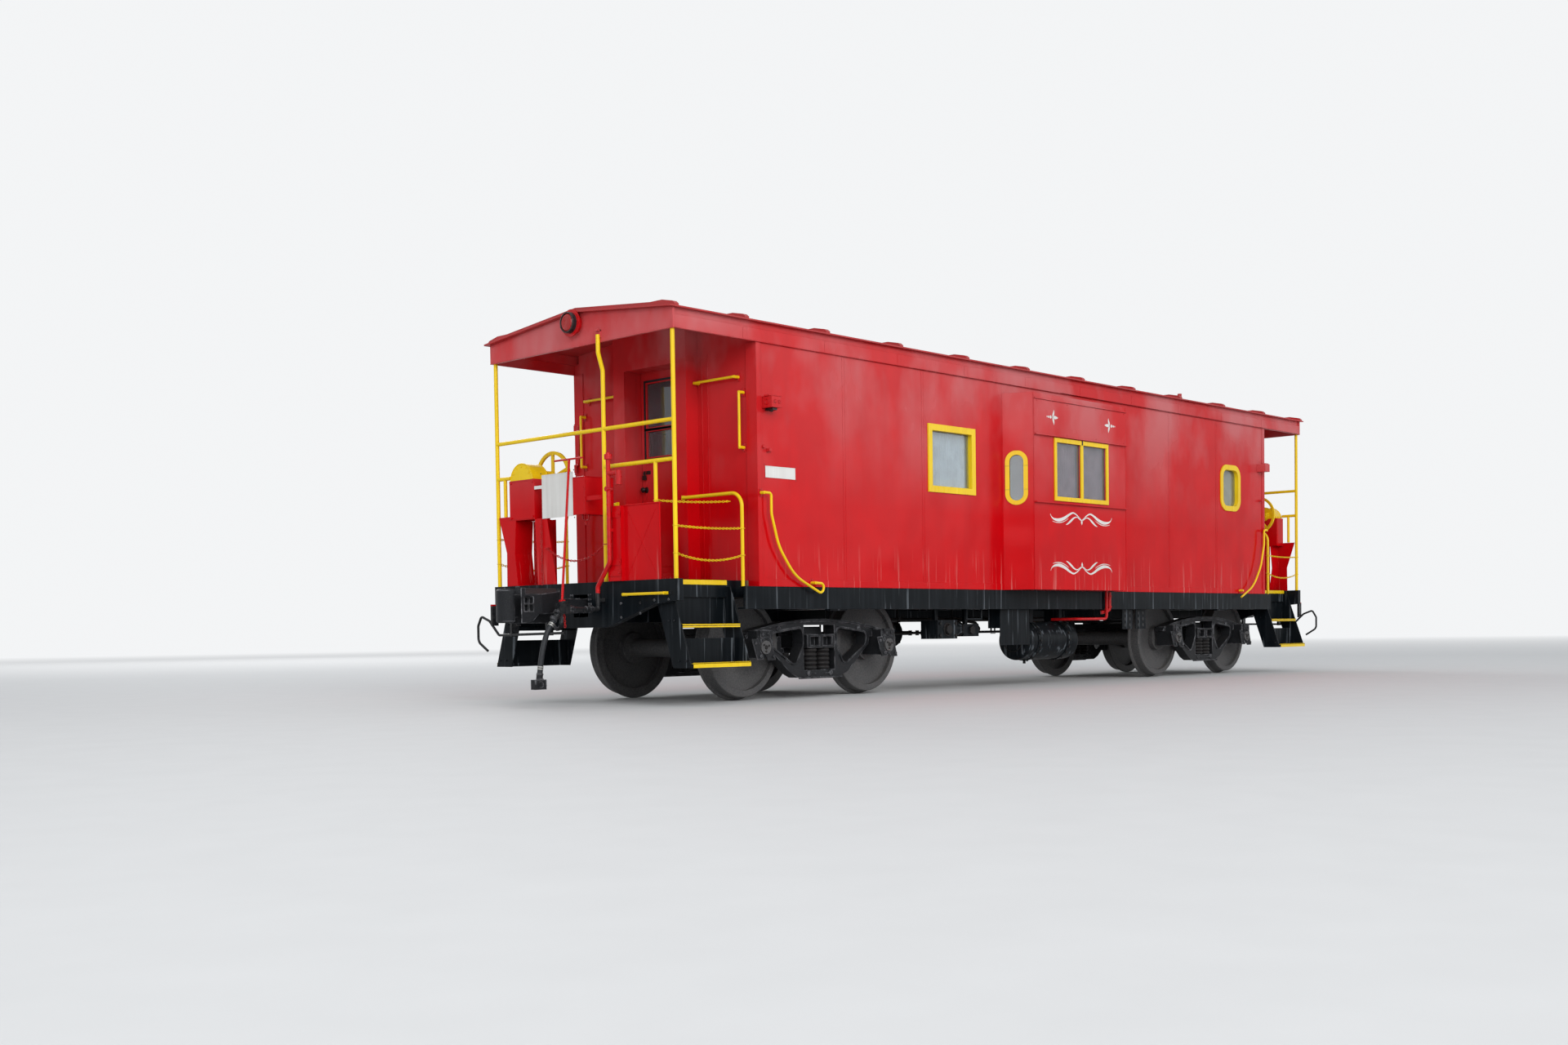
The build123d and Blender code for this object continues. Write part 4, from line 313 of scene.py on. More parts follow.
# Sheet steel paints; the spans are heights above the rail
paintSetup = {
    "dustFoot": 0.1, "dustRough": 0.5, "fadeAndReflectionSpan": (1.75, 3.15), "fadeAndReflectionRough": 0.25, "dripRough": 0.3,
}
paints = {
    "redPaint": {
        "colour": (0.60, 0.002, 0.005), "second": (0.53, 0.002, 0.005),
        "streakColour": (0.44, 0.006, 0.009), "edgeColour": (0.30, 0.015, 0.016),
        "dustColour": (0.46, 0.11, 0.10), "rough": 0.15, "streakRough": 0.12, "specular": 0.09,
        # The pale pink cloud colour below is partly faded paint and partly a painted sky reflection
        "fadeAndReflection": 0.95, "fadeAndReflectionColour": (0.56, 0.155, 0.160), "drips": 0.55, "dripSpan": (0.98, 1.42),
        "dripColour": (0.66, 0.20, 0.18), "waveSize": 1.1, "waveDepth": 0.022, "edgeRadius": 0.005,
        "wearAndHighlight": 0.35, "across": 7.0, "streaks": 0.30, "dust": 0.12, "dustTop": 0.9,
    },
    "roofPaint": {
        "colour": (0.46, 0.022, 0.024), "second": (0.38, 0.030, 0.032),
        "streakColour": (0.30, 0.05, 0.045), "edgeColour": (0.20, 0.03, 0.03),
        "dustColour": (0.36, 0.15, 0.13), "rough": 0.38, "streakRough": 0.2, "specular": 0.3,
        "waveSize": 1.5, "waveDepth": 0.02, "edgeRadius": 0.005, "wearAndHighlight": 0.5, "across": 4.0, "streaks": 0.4,
        "dust": 0.25, "dustTop": 0.9,
    },
    "yellowPaint": {
        "colour": (0.90, 0.62, 0.008), "second": (0.82, 0.54, 0.008),
        "streakColour": (0.66, 0.40, 0.015), "edgeColour": (0.40, 0.20, 0.03),
        "dustColour": (0.50, 0.34, 0.08), "rough": 0.26, "streakRough": 0.2, "specular": 0.22,
        "waveSize": 5.0, "waveDepth": 0.003, "edgeRadius": 0.003, "wearAndHighlight": 0.5, "across": 14.0,
        "streaks": 0.25, "dust": 0.2, "dustTop": 1.2,
    },
    "blackPaint": {
        "colour": (0.004, 0.006, 0.008), "second": (0.007, 0.009, 0.011),
        "streakColour": (0.024, 0.028, 0.033), "edgeColour": (0.10, 0.10, 0.105),
        "dustColour": (0.050, 0.044, 0.040), "rough": 0.28, "streakRough": 0.3, "specular": 0.06,
        "drips": 0.8, "dripSpan": (0.80, 1.60), "dripColour": (0.115, 0.130, 0.145), "waveSize": 2.0,
        "waveDepth": 0.012, "edgeRadius": 0.005, "wearAndHighlight": 0.7, "across": 16.0, "streaks": 0.45, "dust": 0.18,
        "dustTop": 0.8,
    },
    "whitePlate": {
        "colour": (0.78, 0.77, 0.74), "second": (0.70, 0.69, 0.66),
        "streakColour": (0.50, 0.46, 0.42), "edgeColour": (0.35, 0.33, 0.30),
        "dustColour": (0.50, 0.42, 0.36), "rough": 0.35, "streakRough": 0.2, "specular": 0.3,
        "waveSize": 4.0, "waveDepth": 0.002, "edgeRadius": 0.002, "wearAndHighlight": 0.4, "across": 20.0,
        "streaks": 0.3, "dust": 0.2, "dustTop": 1.2,
    },
    "lampMetal": {
        "colour": (0.014, 0.010, 0.010), "second": (0.022, 0.013, 0.012),
        "streakColour": (0.06, 0.025, 0.022), "edgeColour": (0.14, 0.10, 0.09),
        "dustColour": (0.09, 0.06, 0.05), "rough": 0.32, "streakRough": 0.2, "specular": 0.3,
        "waveSize": 8.0, "waveDepth": 0.001, "edgeRadius": 0.003, "wearAndHighlight": 0.8, "across": 20.0,
        "streaks": 0.3, "dust": 0.3, "dustTop": 1.0,
    },
}


def makePaint(name, paint):
    # Broad waves in the sheet, rounded edges, rain streaks and dust, on some drips and on pale clouds that
    # are partly faded paint and partly a painted sky reflection
    setup = paintSetup
    tree, shader = startMaterial(name)
    waves = useGroup(tree, wavesGroup, Size=paint["waveSize"])
    edges = useGroup(tree, edgeGroup, Radius=paint["edgeRadius"], Amount=paint["wearAndHighlight"])
    streaks = useGroup(tree, streaksGroup, Across=paint["across"], Amount=paint["streaks"])
    low, high = up(setup["dustFoot"]), up(paint["dustTop"])
    dust = useGroup(tree, dustGroup, Amount=paint["dust"], Low=low, High=high)
    colour = mixColour(tree, waves["Patches"], paint["colour"], paint["second"])
    colour = mixColour(tree, streaks["Mask"], colour, paint["streakColour"])
    rough = compute(tree, "MULTIPLY_ADD", streaks["Mask"], paint["streakRough"], paint["rough"])
    # Pale pink clouds high on the wall: partly faded paint, partly a painted reflection of the sky
    if "fadeAndReflection" in paint:
        low, high = setup["fadeAndReflectionSpan"]
        fadeAndReflection = useGroup(tree, fadeAndReflectionGroup, Low=up(low), High=up(high), Amount=paint["fadeAndReflection"])
        colour = mixColour(tree, fadeAndReflection["Mask"], colour, paint["fadeAndReflectionColour"])
        rough = compute(tree, "MULTIPLY_ADD", fadeAndReflection["Mask"], setup["fadeAndReflectionRough"], rough)
    if "drips" in paint:
        low, high = paint["dripSpan"]
        drips = useGroup(tree, dripsGroup, Edge=up(low), Fade=up(high), Amount=paint["drips"])
        colour = mixColour(tree, drips["Mask"], colour, paint["dripColour"])
        rough = compute(tree, "MULTIPLY_ADD", drips["Mask"], setup["dripRough"], rough)
    colour = mixColour(tree, edges["Mask"], colour, paint["edgeColour"])
    colour = mixColour(tree, dust["Mask"], colour, paint["dustColour"])
    rough = compute(tree, "MULTIPLY_ADD", dust["Mask"], setup["dustRough"], rough)
    bump = addBump(tree, paint["waveDepth"], waves["Height"], edges["Rounded"])
    setShader(tree, shader, colour=colour, rough=rough, normal=bump, specular=paint["specular"])


for paintName, paint in paints.items():
    makePaint(paintName, paint)

# Cast and rolled steel
castSetup = {"dustTop": 0.9, "pitRough": 0.18, "specular": 0.14}
casts = {
    "castSteel": {
        "colour": (0.013, 0.014, 0.016), "second": (0.024, 0.025, 0.028),
        # The pale edge colour of cast steel is partly worn steel and partly a painted highlight on lit edges
        "edgeColour": (0.30, 0.30, 0.32), "dustColour": (0.060, 0.052, 0.046), "rough": 0.40,
        "grain": 110.0, "depth": 0.004, "edgeRadius": 0.014, "wearAndHighlight": 0.9, "dust": 0.22, "metal": 0.15,
    },
    "wheelSteel": {
        "colour": (0.070, 0.070, 0.073), "second": (0.115, 0.112, 0.112),
        "edgeColour": (0.30, 0.29, 0.28), "dustColour": (0.150, 0.135, 0.122), "rough": 0.46,
        "grain": 70.0, "depth": 0.003, "edgeRadius": 0.006, "wearAndHighlight": 0.6, "dust": 0.4, "metal": 0.2,
    },
    "springSteel": {
        "colour": (0.010, 0.010, 0.012), "second": (0.024, 0.022, 0.021),
        "edgeColour": (0.12, 0.11, 0.10), "dustColour": (0.070, 0.056, 0.048), "rough": 0.40,
        "grain": 120.0, "depth": 0.001, "edgeRadius": 0.003, "wearAndHighlight": 0.5, "dust": 0.35, "metal": 0.2,
    },
    "bandSteel": {
        "colour": (0.42, 0.42, 0.40), "second": (0.34, 0.34, 0.32),
        "edgeColour": (0.55, 0.55, 0.54), "dustColour": (0.16, 0.14, 0.12), "rough": 0.32,
        "grain": 160.0, "depth": 0.0005, "edgeRadius": 0.001, "wearAndHighlight": 0.5, "dust": 0.3, "metal": 0.6,
    },
}


def makeCast(name, cast):
    # Pitted steel with worn edges and brown dust; the pale edges of cast steel are partly a painted highlight
    tree, shader = startMaterial(name)
    grain = useGroup(tree, castGroup, Scale=cast["grain"])
    edges = useGroup(tree, edgeGroup, Radius=cast["edgeRadius"], Amount=cast["wearAndHighlight"])
    dust = useGroup(tree, dustGroup, Amount=cast["dust"], Low=railTop, High=up(castSetup["dustTop"]))
    colour = mixColour(tree, grain["Pits"], cast["colour"], cast["second"])
    colour = mixColour(tree, edges["Mask"], colour, cast["edgeColour"])
    colour = mixColour(tree, dust["Mask"], colour, cast["dustColour"])
    rough = compute(tree, "MULTIPLY_ADD", grain["Pits"], castSetup["pitRough"], cast["rough"])
    bump = addBump(tree, cast["depth"], grain["Height"], edges["Rounded"])
    look = {"colour": colour, "rough": rough, "metal": cast["metal"], "specular": castSetup["specular"]}
    setShader(tree, shader, normal=bump, **look)


for castName, cast in casts.items():
    makeCast(castName, cast)

# Pipes and rods: black below a height where they stand out beyond the cabin's ends, else red
redPair = ((0.56, 0.005, 0.008), (0.44, 0.008, 0.010))
blackPair = ((0.010, 0.011, 0.013), (0.026, 0.026, 0.027))
twoToneSetup = {
    "noise": (25.0, 5.0), "ragged": 0.05, "shows": (0.35, 0.7), "edgeRadius": 0.003, "wearAndHighlight": 0.6,
    "edgeColour": (0.16, 0.10, 0.09), "depth": 0.0015, "rough": (0.3, 0.7, 0.22, 0.42), "specular": 0.25,
    "finishes": {
        "pipePaint": {"lower": blackPair, "height": 0.985, "inside": 5.0},
        "rodPaint": {"lower": blackPair, "height": 0.905, "inside": 5.0},
        "redIron": {"lower": redPair, "height": 0.0, "inside": 5.0},
        "lampPaint": {"lower": blackPair, "height": 9.0, "inside": 5.7735},
    },
}


def makeTwoTone(name, lower, height, inside):
    setup = twoToneSetup
    tree, shader = startMaterial(name)
    vector = place(tree, "TexCoord").outputs["Object"]
    parts = splitAxes(tree, vector)
    noise = addNoise(tree, vector, *setup["noise"])
    ragged = compute(tree, "MULTIPLY_ADD", noise, setup["ragged"], height - setup["ragged"] / 2)
    isLow = compute(tree, "LESS_THAN", parts[2], ragged)
    isOut = compute(tree, "GREATER_THAN", compute(tree, "ABSOLUTE", parts[0]), inside)
    edges = useGroup(tree, edgeGroup, Radius=setup["edgeRadius"], Amount=setup["wearAndHighlight"])
    first = mixColour(tree, spread(tree, noise, *setup["shows"]), *redPair)
    second = mixColour(tree, spread(tree, noise, *setup["shows"]), *lower)
    colour = mixColour(tree, times(tree, isLow, isOut), first, second)
    colour = mixColour(tree, edges["Mask"], colour, setup["edgeColour"])
    bump = addBump(tree, setup["depth"], noise, edges["Rounded"])
    rough = spread(tree, noise, *setup["rough"])
    setShader(tree, shader, colour=colour, rough=rough, normal=bump, specular=setup["specular"])


for toneName, tone in twoToneSetup["finishes"].items():
    makeTwoTone(toneName, **tone)

# Rubber of the hoses and the window seals
rubberSetup = {
    "noise": (40.0, 6.0), "shows": (0.4, 0.65),
    "colours": ((0.010, 0.012, 0.015), (0.020, 0.022, 0.026)), "dust": 0.5, "dustTop": 0.8,
    "dustColour": (0.055, 0.050, 0.046), "depth": 0.0006, "rough": (0.3, 0.7, 0.38, 0.58), "specular": 0.3,
}


def makeRubber(name):
    setup = rubberSetup
    tree, shader = startMaterial(name)
    noise = addNoise(tree, objectSpace(tree), *setup["noise"])
    dust = useGroup(tree, dustGroup, Amount=setup["dust"], Low=railTop, High=up(setup["dustTop"]))
    colour = mixColour(tree, spread(tree, noise, *setup["shows"]), *setup["colours"])
    colour = mixColour(tree, dust["Mask"], colour, setup["dustColour"])
    bump = addBump(tree, setup["depth"], noise)
    rough = spread(tree, noise, *setup["rough"])
    setShader(tree, shader, colour=colour, rough=rough, normal=bump, specular=setup["specular"])


for rubberName in ("hoseRubber", "blackRubber"):
    makeRubber(rubberName)

# Window glass: faint ripples and smears
glassSetup = {
    "ripple": (2.2, 1.0), "rippleDepth": 0.001, "smear": (9.0, 6.0), "shows": (0.4, 0.7),
    "colours": ((0.45, 0.51, 0.55), (0.40, 0.45, 0.48)), "rough": (0.45, 0.75, 0.01, 0.07),
    "clear": 0.90, "ior": 1.5, "specular": 0.6, "shadow": (0.86, 0.89, 0.90),
}


def makeGlass():
    # Shadow rays pass, so that daylight reaches the curtains
    setup = glassSetup
    tree, shader = startMaterial("windowGlass")
    vector = objectSpace(tree)
    ripple = addNoise(tree, vector, *setup["ripple"])
    smear = addNoise(tree, vector, *setup["smear"])
    bump = addBump(tree, setup["rippleDepth"], ripple)
    colour = mixColour(tree, spread(tree, smear, *setup["shows"]), *setup["colours"])
    rough = spread(tree, smear, *setup["rough"])
    look = {key: setup[key] for key in ("clear", "ior", "specular")}
    setShader(tree, shader, colour=colour, rough=rough, normal=bump, **look)
    passing = place(tree, "BsdfTransparent", {"Color": setup["shadow"]}).outputs[0]
    isShadow = place(tree, "LightPath").outputs["Is Shadow Ray"]
    mixed = place(tree, "MixShader", {0: isShadow, 1: shader.outputs[0], 2: passing}).outputs[0]
    tree.links.new(mixed, tree.nodes["Material Output"].inputs[0])


makeGlass()

# Red lens of the end lamps; its faint red emission is a painted glow in the lens
lensSetup = {
    "noise": (30.0, 4.0), "colours": ((0.38, 0.002, 0.002), (0.22, 0.001, 0.001)),
    "look": {"rough": 0.07, "specular": 0.5, "paintedGlow": (0.5, 0.0, 0.0), "paintedGlowPower": 0.08},
}


def makeLampLens():
    setup = lensSetup
    tree, shader = startMaterial("lampRed")
    colour = mixColour(tree, addNoise(tree, objectSpace(tree), *setup["noise"]), *setup["colours"])
    setShader(tree, shader, colour=colour, **setup["look"])


makeLampLens()

# Boards of the cabin floor, with dark gaps across the car
woodSetup = {
    "stretch": (0.6, 9.0, 9.0), "grain": (4.0, 8.0),
    "colours": ((0.34, 0.22, 0.13), (0.17, 0.10, 0.055)), "boards": 3.5, "gap": (0.0, 0.06, 1.0, 0.0),
    "gapColour": (0.03, 0.02, 0.015), "depth": 0.002, "rough": 0.55,
}


def makeWood():
    setup = woodSetup
    tree, shader = startMaterial("floorBoards")
    grain = addNoise(tree, objectSpace(tree, setup["stretch"]), *setup["grain"])
    values = {"Vector": objectSpace(tree), "Scale": setup["boards"]}
    boards = place(tree, "TexWave", values, bands_direction="Y").outputs[0]
    colour = mixColour(tree, grain, *setup["colours"])
    colour = mixColour(tree, spread(tree, boards, *setup["gap"]), colour, setup["gapColour"])
    setShader(tree, shader, colour=colour, rough=setup["rough"], normal=addBump(tree, setup["depth"], grain))


makeWood()

# Curtain cloth: woven, with faint stains
clothSetup = {
    "threads": 260.0, "stain": (5.0, 5.0), "shows": (0.35, 0.7), "depth": 0.0006, "rough": 0.85,
    "sheen": 0.3,
    "cloths": {
        "curtainCloth": ((0.90, 0.92, 0.93), (0.76, 0.78, 0.80)),
        "beigeCloth": ((0.85, 0.70, 0.40), (0.68, 0.54, 0.30)),
        "mauveCloth": ((0.62, 0.34, 0.36), (0.45, 0.24, 0.26)),
    },
}


def makeCloth(name, colours):
    setup = clothSetup
    tree, shader = startMaterial(name)
    vector = objectSpace(tree)
    values = {"Vector": vector, "Scale": setup["threads"]}
    weave = place(tree, "TexWave", values, bands_direction="Z").outputs[0]
    warp = place(tree, "TexWave", values, bands_direction="X").outputs[0]
    stain = addNoise(tree, vector, *setup["stain"])
    colour = mixColour(tree, spread(tree, stain, *setup["shows"]), *colours)
    bump = addBump(tree, setup["depth"], compute(tree, "ADD", weave, warp))
    setShader(tree, shader, colour=colour, rough=setup["rough"], normal=bump, sheen=setup["sheen"])


for clothName, clothColours in clothSetup["cloths"].items():
    makeCloth(clothName, clothColours)
print("finishes made:", len(finishes))

# The carried-over pieces take their finishes
slotFinish = {
    "red_paint": "redPaint", "roof_paint": "roofPaint", "yellow_paint": "yellowPaint",
    "black_paint": "blackPaint", "floor_boards": "floorBoards", "cast_steel": "castSteel",
    "spring_steel": "springSteel", "wheel_steel": "wheelSteel", "hose_rubber": "hoseRubber",
    "window_glass": "windowGlass", "lamp_metal": "lampMetal", "lamp_red": "lampRed",
    "plate_white": "whitePlate", "curtain_cloth": "curtainCloth",
}
finishSlot = {finish: slot for slot, finish in slotFinish.items()}
finishSlot |= {
    "redIron": "red_paint", "blackRubber": "hose_rubber", "beigeCloth": "curtain_cloth",
    "bandSteel": "lamp_metal", "mauveCloth": "curtain_cloth",
}
nodeFinish = {"air_pipes": "pipePaint", "control_rods": "rodPaint", "end_lamp_housings": "lampPaint"}
nodeSlot = {row["node"]: row["material_slot"] for row in frame["record"]["subparts"]}
for nodeName, node in frame["nodes"].items():
    finish = finishes[nodeFinish.get(nodeName, slotFinish[nodeSlot[nodeName]])]
    node.data.materials.clear()
    node.data.materials.append(finish)
    for face in node.data.polygons:
        face.material_index = 0
print("nodes dressed:", len(frame["nodes"]))

# Piece helpers; a ring's numbers are its radius, wire, steps and sides, a bolt's its radius and height
sharpAngle = math.radians(40)
boltTaper = 0.92
rivetSteps = ((0.0, 1.0), (0.35, 0.85), (0.65, 0.4))  # shares of a rivet's radius: height, then half width


def addPiece(name, mesh, body, finish):
    piece = bpy.data.objects.new(name, mesh)
    bpy.context.scene.collection.objects.link(piece)
    mesh.materials.clear()
    mesh.materials.append(finishes[finish])
    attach(piece, body)
    return piece


def repeatAtFarEnd(shape):
    copied = bmesh.ops.duplicate(shape, geom=shape.verts[:] + shape.edges[:] + shape.faces[:])["geom"]
    newVerts = [item for item in copied if isinstance(item, bmesh.types.BMVert)]
    bmesh.ops.transform(shape, matrix=halfTurn, verts=newVerts)


def closeMesh(shape, name, finish, body="carbody", smooth=True, turn=None, bothEnds=False):
    if bothEnds:
        repeatAtFarEnd(shape)
    if turn is not None:
        bmesh.ops.transform(shape, matrix=turn, verts=shape.verts)
    for face in shape.faces:
        face.smooth = smooth
    mesh = bpy.data.meshes.new(name)
    shape.to_mesh(mesh)
    shape.free()
    if smooth:
        mesh.set_sharp_from_angle(angle=sharpAngle)
    return addPiece(name, mesh, body, finish)


def softenEdges(shape, offset, segments=1, edges=None):
    edges = shape.edges[:] if edges is None else edges
    bmesh.ops.bevel(
        shape, geom=edges, offset=offset, segments=segments, affect="EDGES", profile=0.5, material=-1
    )


def aimed(spot, direction):
    # A matrix whose Z axis runs along the direction, at the spot
    return Matrix.Translation(spot) @ Vector(direction).to_track_quat("Z", "Y").to_matrix().to_4x4()


def addRod(shape, start, end, radius, sides=12, tip=None):
    start, end = Vector(start), Vector(end)
    ends = {"radius1": radius, "radius2": radius if tip is None else tip, "depth": (end - start).length}
    middle = aimed((start + end) / 2, end - start)
    bmesh.ops.create_cone(shape, cap_ends=True, segments=sides, matrix=middle, **ends)


def addBlock(shape, corner, opposite, turn=None):
    # A block between any two opposite corners
    corner, opposite = Vector(corner), Vector(opposite)
    lengths = [abs(length) for length in opposite - corner]
    sized = Matrix.Translation((corner + opposite) / 2) @ Matrix.Diagonal((*lengths, 1))
    if turn is not None:
        sized = turn @ sized
    bmesh.ops.create_cube(shape, size=1, matrix=sized)


def addBolt(shape, spot, outward, radius=0.012, height=0.009, sides=6):
    spot, outward = Vector(spot), Vector(outward).normalized()
    addRod(shape, spot, spot + outward * height, radius, sides, radius * boltTaper)


def addRivet(shape, spot, outward, radius=0.009):
    spot, outward = Vector(spot), Vector(outward).normalized() * radius
    for (low, wide), (high, narrow) in zip(rivetSteps, rivetSteps[1:]):
        addRod(shape, spot + outward * low, spot + outward * high, radius * wide, 8, radius * narrow)


def ring(shape, spot, outward, radius, wire, steps=24, sides=8):
    # A round bar bent to a closed ring, facing outward
    start = Matrix.Translation((radius, 0, 0))
    verts = bmesh.ops.create_circle(shape, segments=sides, radius=wire, matrix=start)["verts"]
    edges = list({edge for vert in verts for edge in vert.link_edges})
    before = set(shape.verts) - set(verts)
    spun = {"geom": verts + edges, "axis": (0, 1, 0), "cent": (0, 0, 0), "steps": steps, "angle": math.tau}
    bmesh.ops.spin(shape, use_merge=True, **spun)
    made = [vert for vert in shape.verts if vert not in before]
    turn = aimed(spot, outward) @ Matrix.Rotation(math.pi / 2, 4, "X")
    bmesh.ops.transform(shape, matrix=turn, verts=made)
    faces = list({face for vert in made for face in vert.link_faces})
    bmesh.ops.recalc_face_normals(shape, faces=faces)
    return made


def addTube(shape, route, radius, sides=8, closed=False):
    # A round bar along a list of points
    rings = []
    count = len(route)
    angles = [math.tau * side / sides for side in range(sides)]
    circle = [Vector((radius * math.cos(angle), radius * math.sin(angle), 0)) for angle in angles]
    for index, spot in enumerate(route):
        spot = Vector(spot)
        after = Vector(route[(index + 1) % count]) if closed or index + 1 < count else spot
        before = Vector(route[index - 1]) if closed or index else spot
        turn = aimed(spot, (after - before).normalized())
        rings.append([shape.verts.new(turn @ point) for point in circle])
    faces = []
    for index in range(count if closed else count - 1):
        first, second = rings[index], rings[(index + 1) % count]
        nearest = min(range(sides), key=lambda side: (second[side].co - first[0].co).length)
        for side in range(sides):
            other = (side + nearest) % sides
            quad = (first[side], first[(side + 1) % sides], second[(other + 1) % sides], second[other])
            faces.append(shape.faces.new(quad))
    if not closed:
        faces.append(shape.faces.new(rings[0][::-1]))
        faces.append(shape.faces.new(rings[-1]))
    bmesh.ops.recalc_face_normals(shape, faces=faces)


def addPlate(shape, outline, turn, thickness):
    # A flat plate from an outline of (across, up) points, thick along the outward axis
    low = [shape.verts.new(turn @ Vector((across, rise, 0))) for across, rise in outline]
    high = [shape.verts.new(turn @ Vector((across, rise, thickness))) for across, rise in outline]
    count = len(outline)
    faces = [shape.faces.new(low[::-1]), shape.faces.new(high)]
    for index in range(count):
        follow = (index + 1) % count
        faces.append(shape.faces.new((low[index], low[follow], high[follow], high[index])))
    bmesh.ops.recalc_face_normals(shape, faces=faces)


def addBand(shape, turn, lines, closed):
    # A flat band with a line of points along each of its four edges, each line with its depth
    rows = [[shape.verts.new(turn @ Vector((a, b, depth))) for a, b in line] for line, depth in lines]
    count = len(rows[0])
    faces = []
    for first, second in zip(rows, rows[1:] + rows[:1]):
        for index in range(count if closed else count - 1):
            follow = (index + 1) % count
            faces.append(shape.faces.new((first[index], first[follow], second[follow], second[index])))
    if not closed:
        faces += [shape.faces.new([row[index] for row in rows]) for index in (0, -1)]
    bmesh.ops.recalc_face_normals(shape, faces=faces)


def addFrame(shape, turn, outer, inner, thickness):
    # A flat ring between two outlines that have as many points as each other
    lines = ((outer, 0), (outer, thickness), (inner, thickness), (inner, 0))
    addBand(shape, turn, lines, closed=True)


def wallTurn(spot, outward, upward=(0, 0, 1)):
    # Axes on a wall: across, up and outward
    outward = Vector(outward).normalized()
    across = Vector(upward).cross(outward).normalized()
    rise = outward.cross(across)
    axes = Matrix((across, rise, outward)).transposed().to_4x4()
    return Matrix.Translation(spot) @ axes


def boxOutline(left, right, bottom, top):
    return [(right, top), (left, top), (left, bottom), (right, bottom)]


def roundedOutline(halfWidth, halfHeight, corner, steps=6, centre=(0, 0)):
    points = []
    for quarter, (signX, signY) in enumerate(((1, 1), (-1, 1), (-1, -1), (1, -1))):
        middleX = centre[0] + signX * (halfWidth - corner)
        middleY = centre[1] + signY * (halfHeight - corner)
        for step in range(steps + 1):
            angle = math.pi / 2 * (quarter + step / steps)
            points.append((middleX + corner * math.cos(angle), middleY + corner * math.sin(angle)))
    return points


def grown(outline, amount):
    # A box outline with each side moved outwards
    middles = [(min(values) + max(values)) / 2 for values in zip(*outline)]
    moved = []
    for spot in outline:
        moved.append([value + math.copysign(amount, value - middle) for value, middle in zip(spot, middles)])
    return moved


def aroundCircle(count, radius, start=0.0):
    # Even places on a circle, as pairs of offsets
    angles = [math.tau * index / count + start for index in range(count)]
    return [(radius * math.cos(angle), radius * math.sin(angle)) for angle in angles]


partKinds = {"rod": addRod, "ring": ring, "block": addBlock, "bolt": addBolt, "rivet": addRivet}


def addParts(shape, parts, side=1, lift=0):
    # Rows of a kind, its one or two spots with heights above the rail, and its other numbers in order
    for kind, spots, *values in parts:
        partKinds[kind](shape, *(raised(x, side * y, z + lift) for x, y, z in spots), *values)


# Air hoses: the route's points are those of the part's source
hoseSetup = {
    "route": (
        (-6.2650, -0.335, 0.7730), (-6.3403, -0.335, 0.6861), (-6.3850, -0.329, 0.5630),
        (-6.4150, -0.321, 0.4330), (-6.4250, -0.313, 0.3030),
    ),
    "length": 0.509, "diameter": 0.048, "bandRadius": 0.0262, "bandWidth": 0.011,
    "bands": (0.070, 0.088, 0.455, 0.473), "bandBolt": {"radius": 0.005, "reach": 0.6},
    "fitting": (
        ("ring", ((-6.425, -0.313, 0.263),), (0, 0, 1), 0.028, 0.004, 24, 6),
        ("ring", ((-6.425, -0.313, 0.225),), (0, 0, 1), 0.028, 0.004, 24, 6),
        ("ring", ((-6.440, -0.343, 0.177),), (0, -1, 0), 0.026, 0.005, 24, 8),
        ("ring", ((-6.440, -0.343, 0.177),), (0, -1, 0), 0.014, 0.003, 20, 6),
        ("rod", ((-6.493, -0.344, 0.213), (-6.493, -0.344, 0.163)), 0.005, 8),
        ("rod", ((-6.385, -0.344, 0.213), (-6.385, -0.344, 0.163)), 0.005, 8),
    ),
}


def addHoseBands(end, curve):
    # Clamp bands sit on the hose's own line, read from the curve with no bevel
    setup = hoseSetup
    line = curve.copy()
    line.bevel_depth = 0
    carrier = bpy.data.objects.new(end + "HoseLine", line)
    points = [vert.co.copy() for vert in bpy.data.meshes.new_from_object(carrier).vertices]
    bpy.data.objects.remove(carrier)
    shape = bmesh.new()
    for distance in setup["bands"]:
        gone = 0.0
        for start, after in zip(points, points[1:]):
            run = after - start
            if gone + run.length >= distance:
                middle = start + run * ((distance - gone) / run.length)
                reach = run.normalized() * setup["bandWidth"] / 2
                addRod(shape, middle - reach, middle + reach, setup["bandRadius"], 24)
                side = middle + run.cross(Vector((0, 0, 1))).normalized() * setup["bandRadius"]
                bolt = setup["bandBolt"]
                addRod(shape, side - reach * bolt["reach"], side + reach * bolt["reach"], bolt["radius"], 8)
                break
            gone += run.length
    return closeMesh(shape, end + "HoseBands", "bandSteel")


def addHoseEnd(end, turn):
    shape = bmesh.new()
    addParts(shape, hoseSetup["fitting"])
    return closeMesh(shape, end + "HoseEnd", "castSteel", turn=turn)


def buildHose(end, turn):
    setup = hoseSetup
    curve = bpy.data.curves.new(end + "Hose", "CURVE")
    curve.dimensions = "3D"
    curve.bevel_depth = setup["diameter"] / 2
    curve.bevel_resolution = 6
    curve.resolution_u = 12
    curve.use_fill_caps = True
    line = curve.splines.new("NURBS")
    line.points.add(len(setup["route"]) - 1)
    for point, spot in zip(line.points, setup["route"]):
        point.co = (*(turn @ Vector(spot)), 1)
    line.order_u = 3
    line.use_endpoint_u = True
    hose = bpy.data.objects.new(end + "Hose", curve)
    bpy.context.scene.collection.objects.link(hose)
    curve.materials.append(finishes["hoseRubber"])
    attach(hose, "carbody")
    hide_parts(end + "_air_hose")
    fittings = [frame["nodes"][end + "_gladhand"], addHoseBands(end, curve), addHoseEnd(end, turn)]


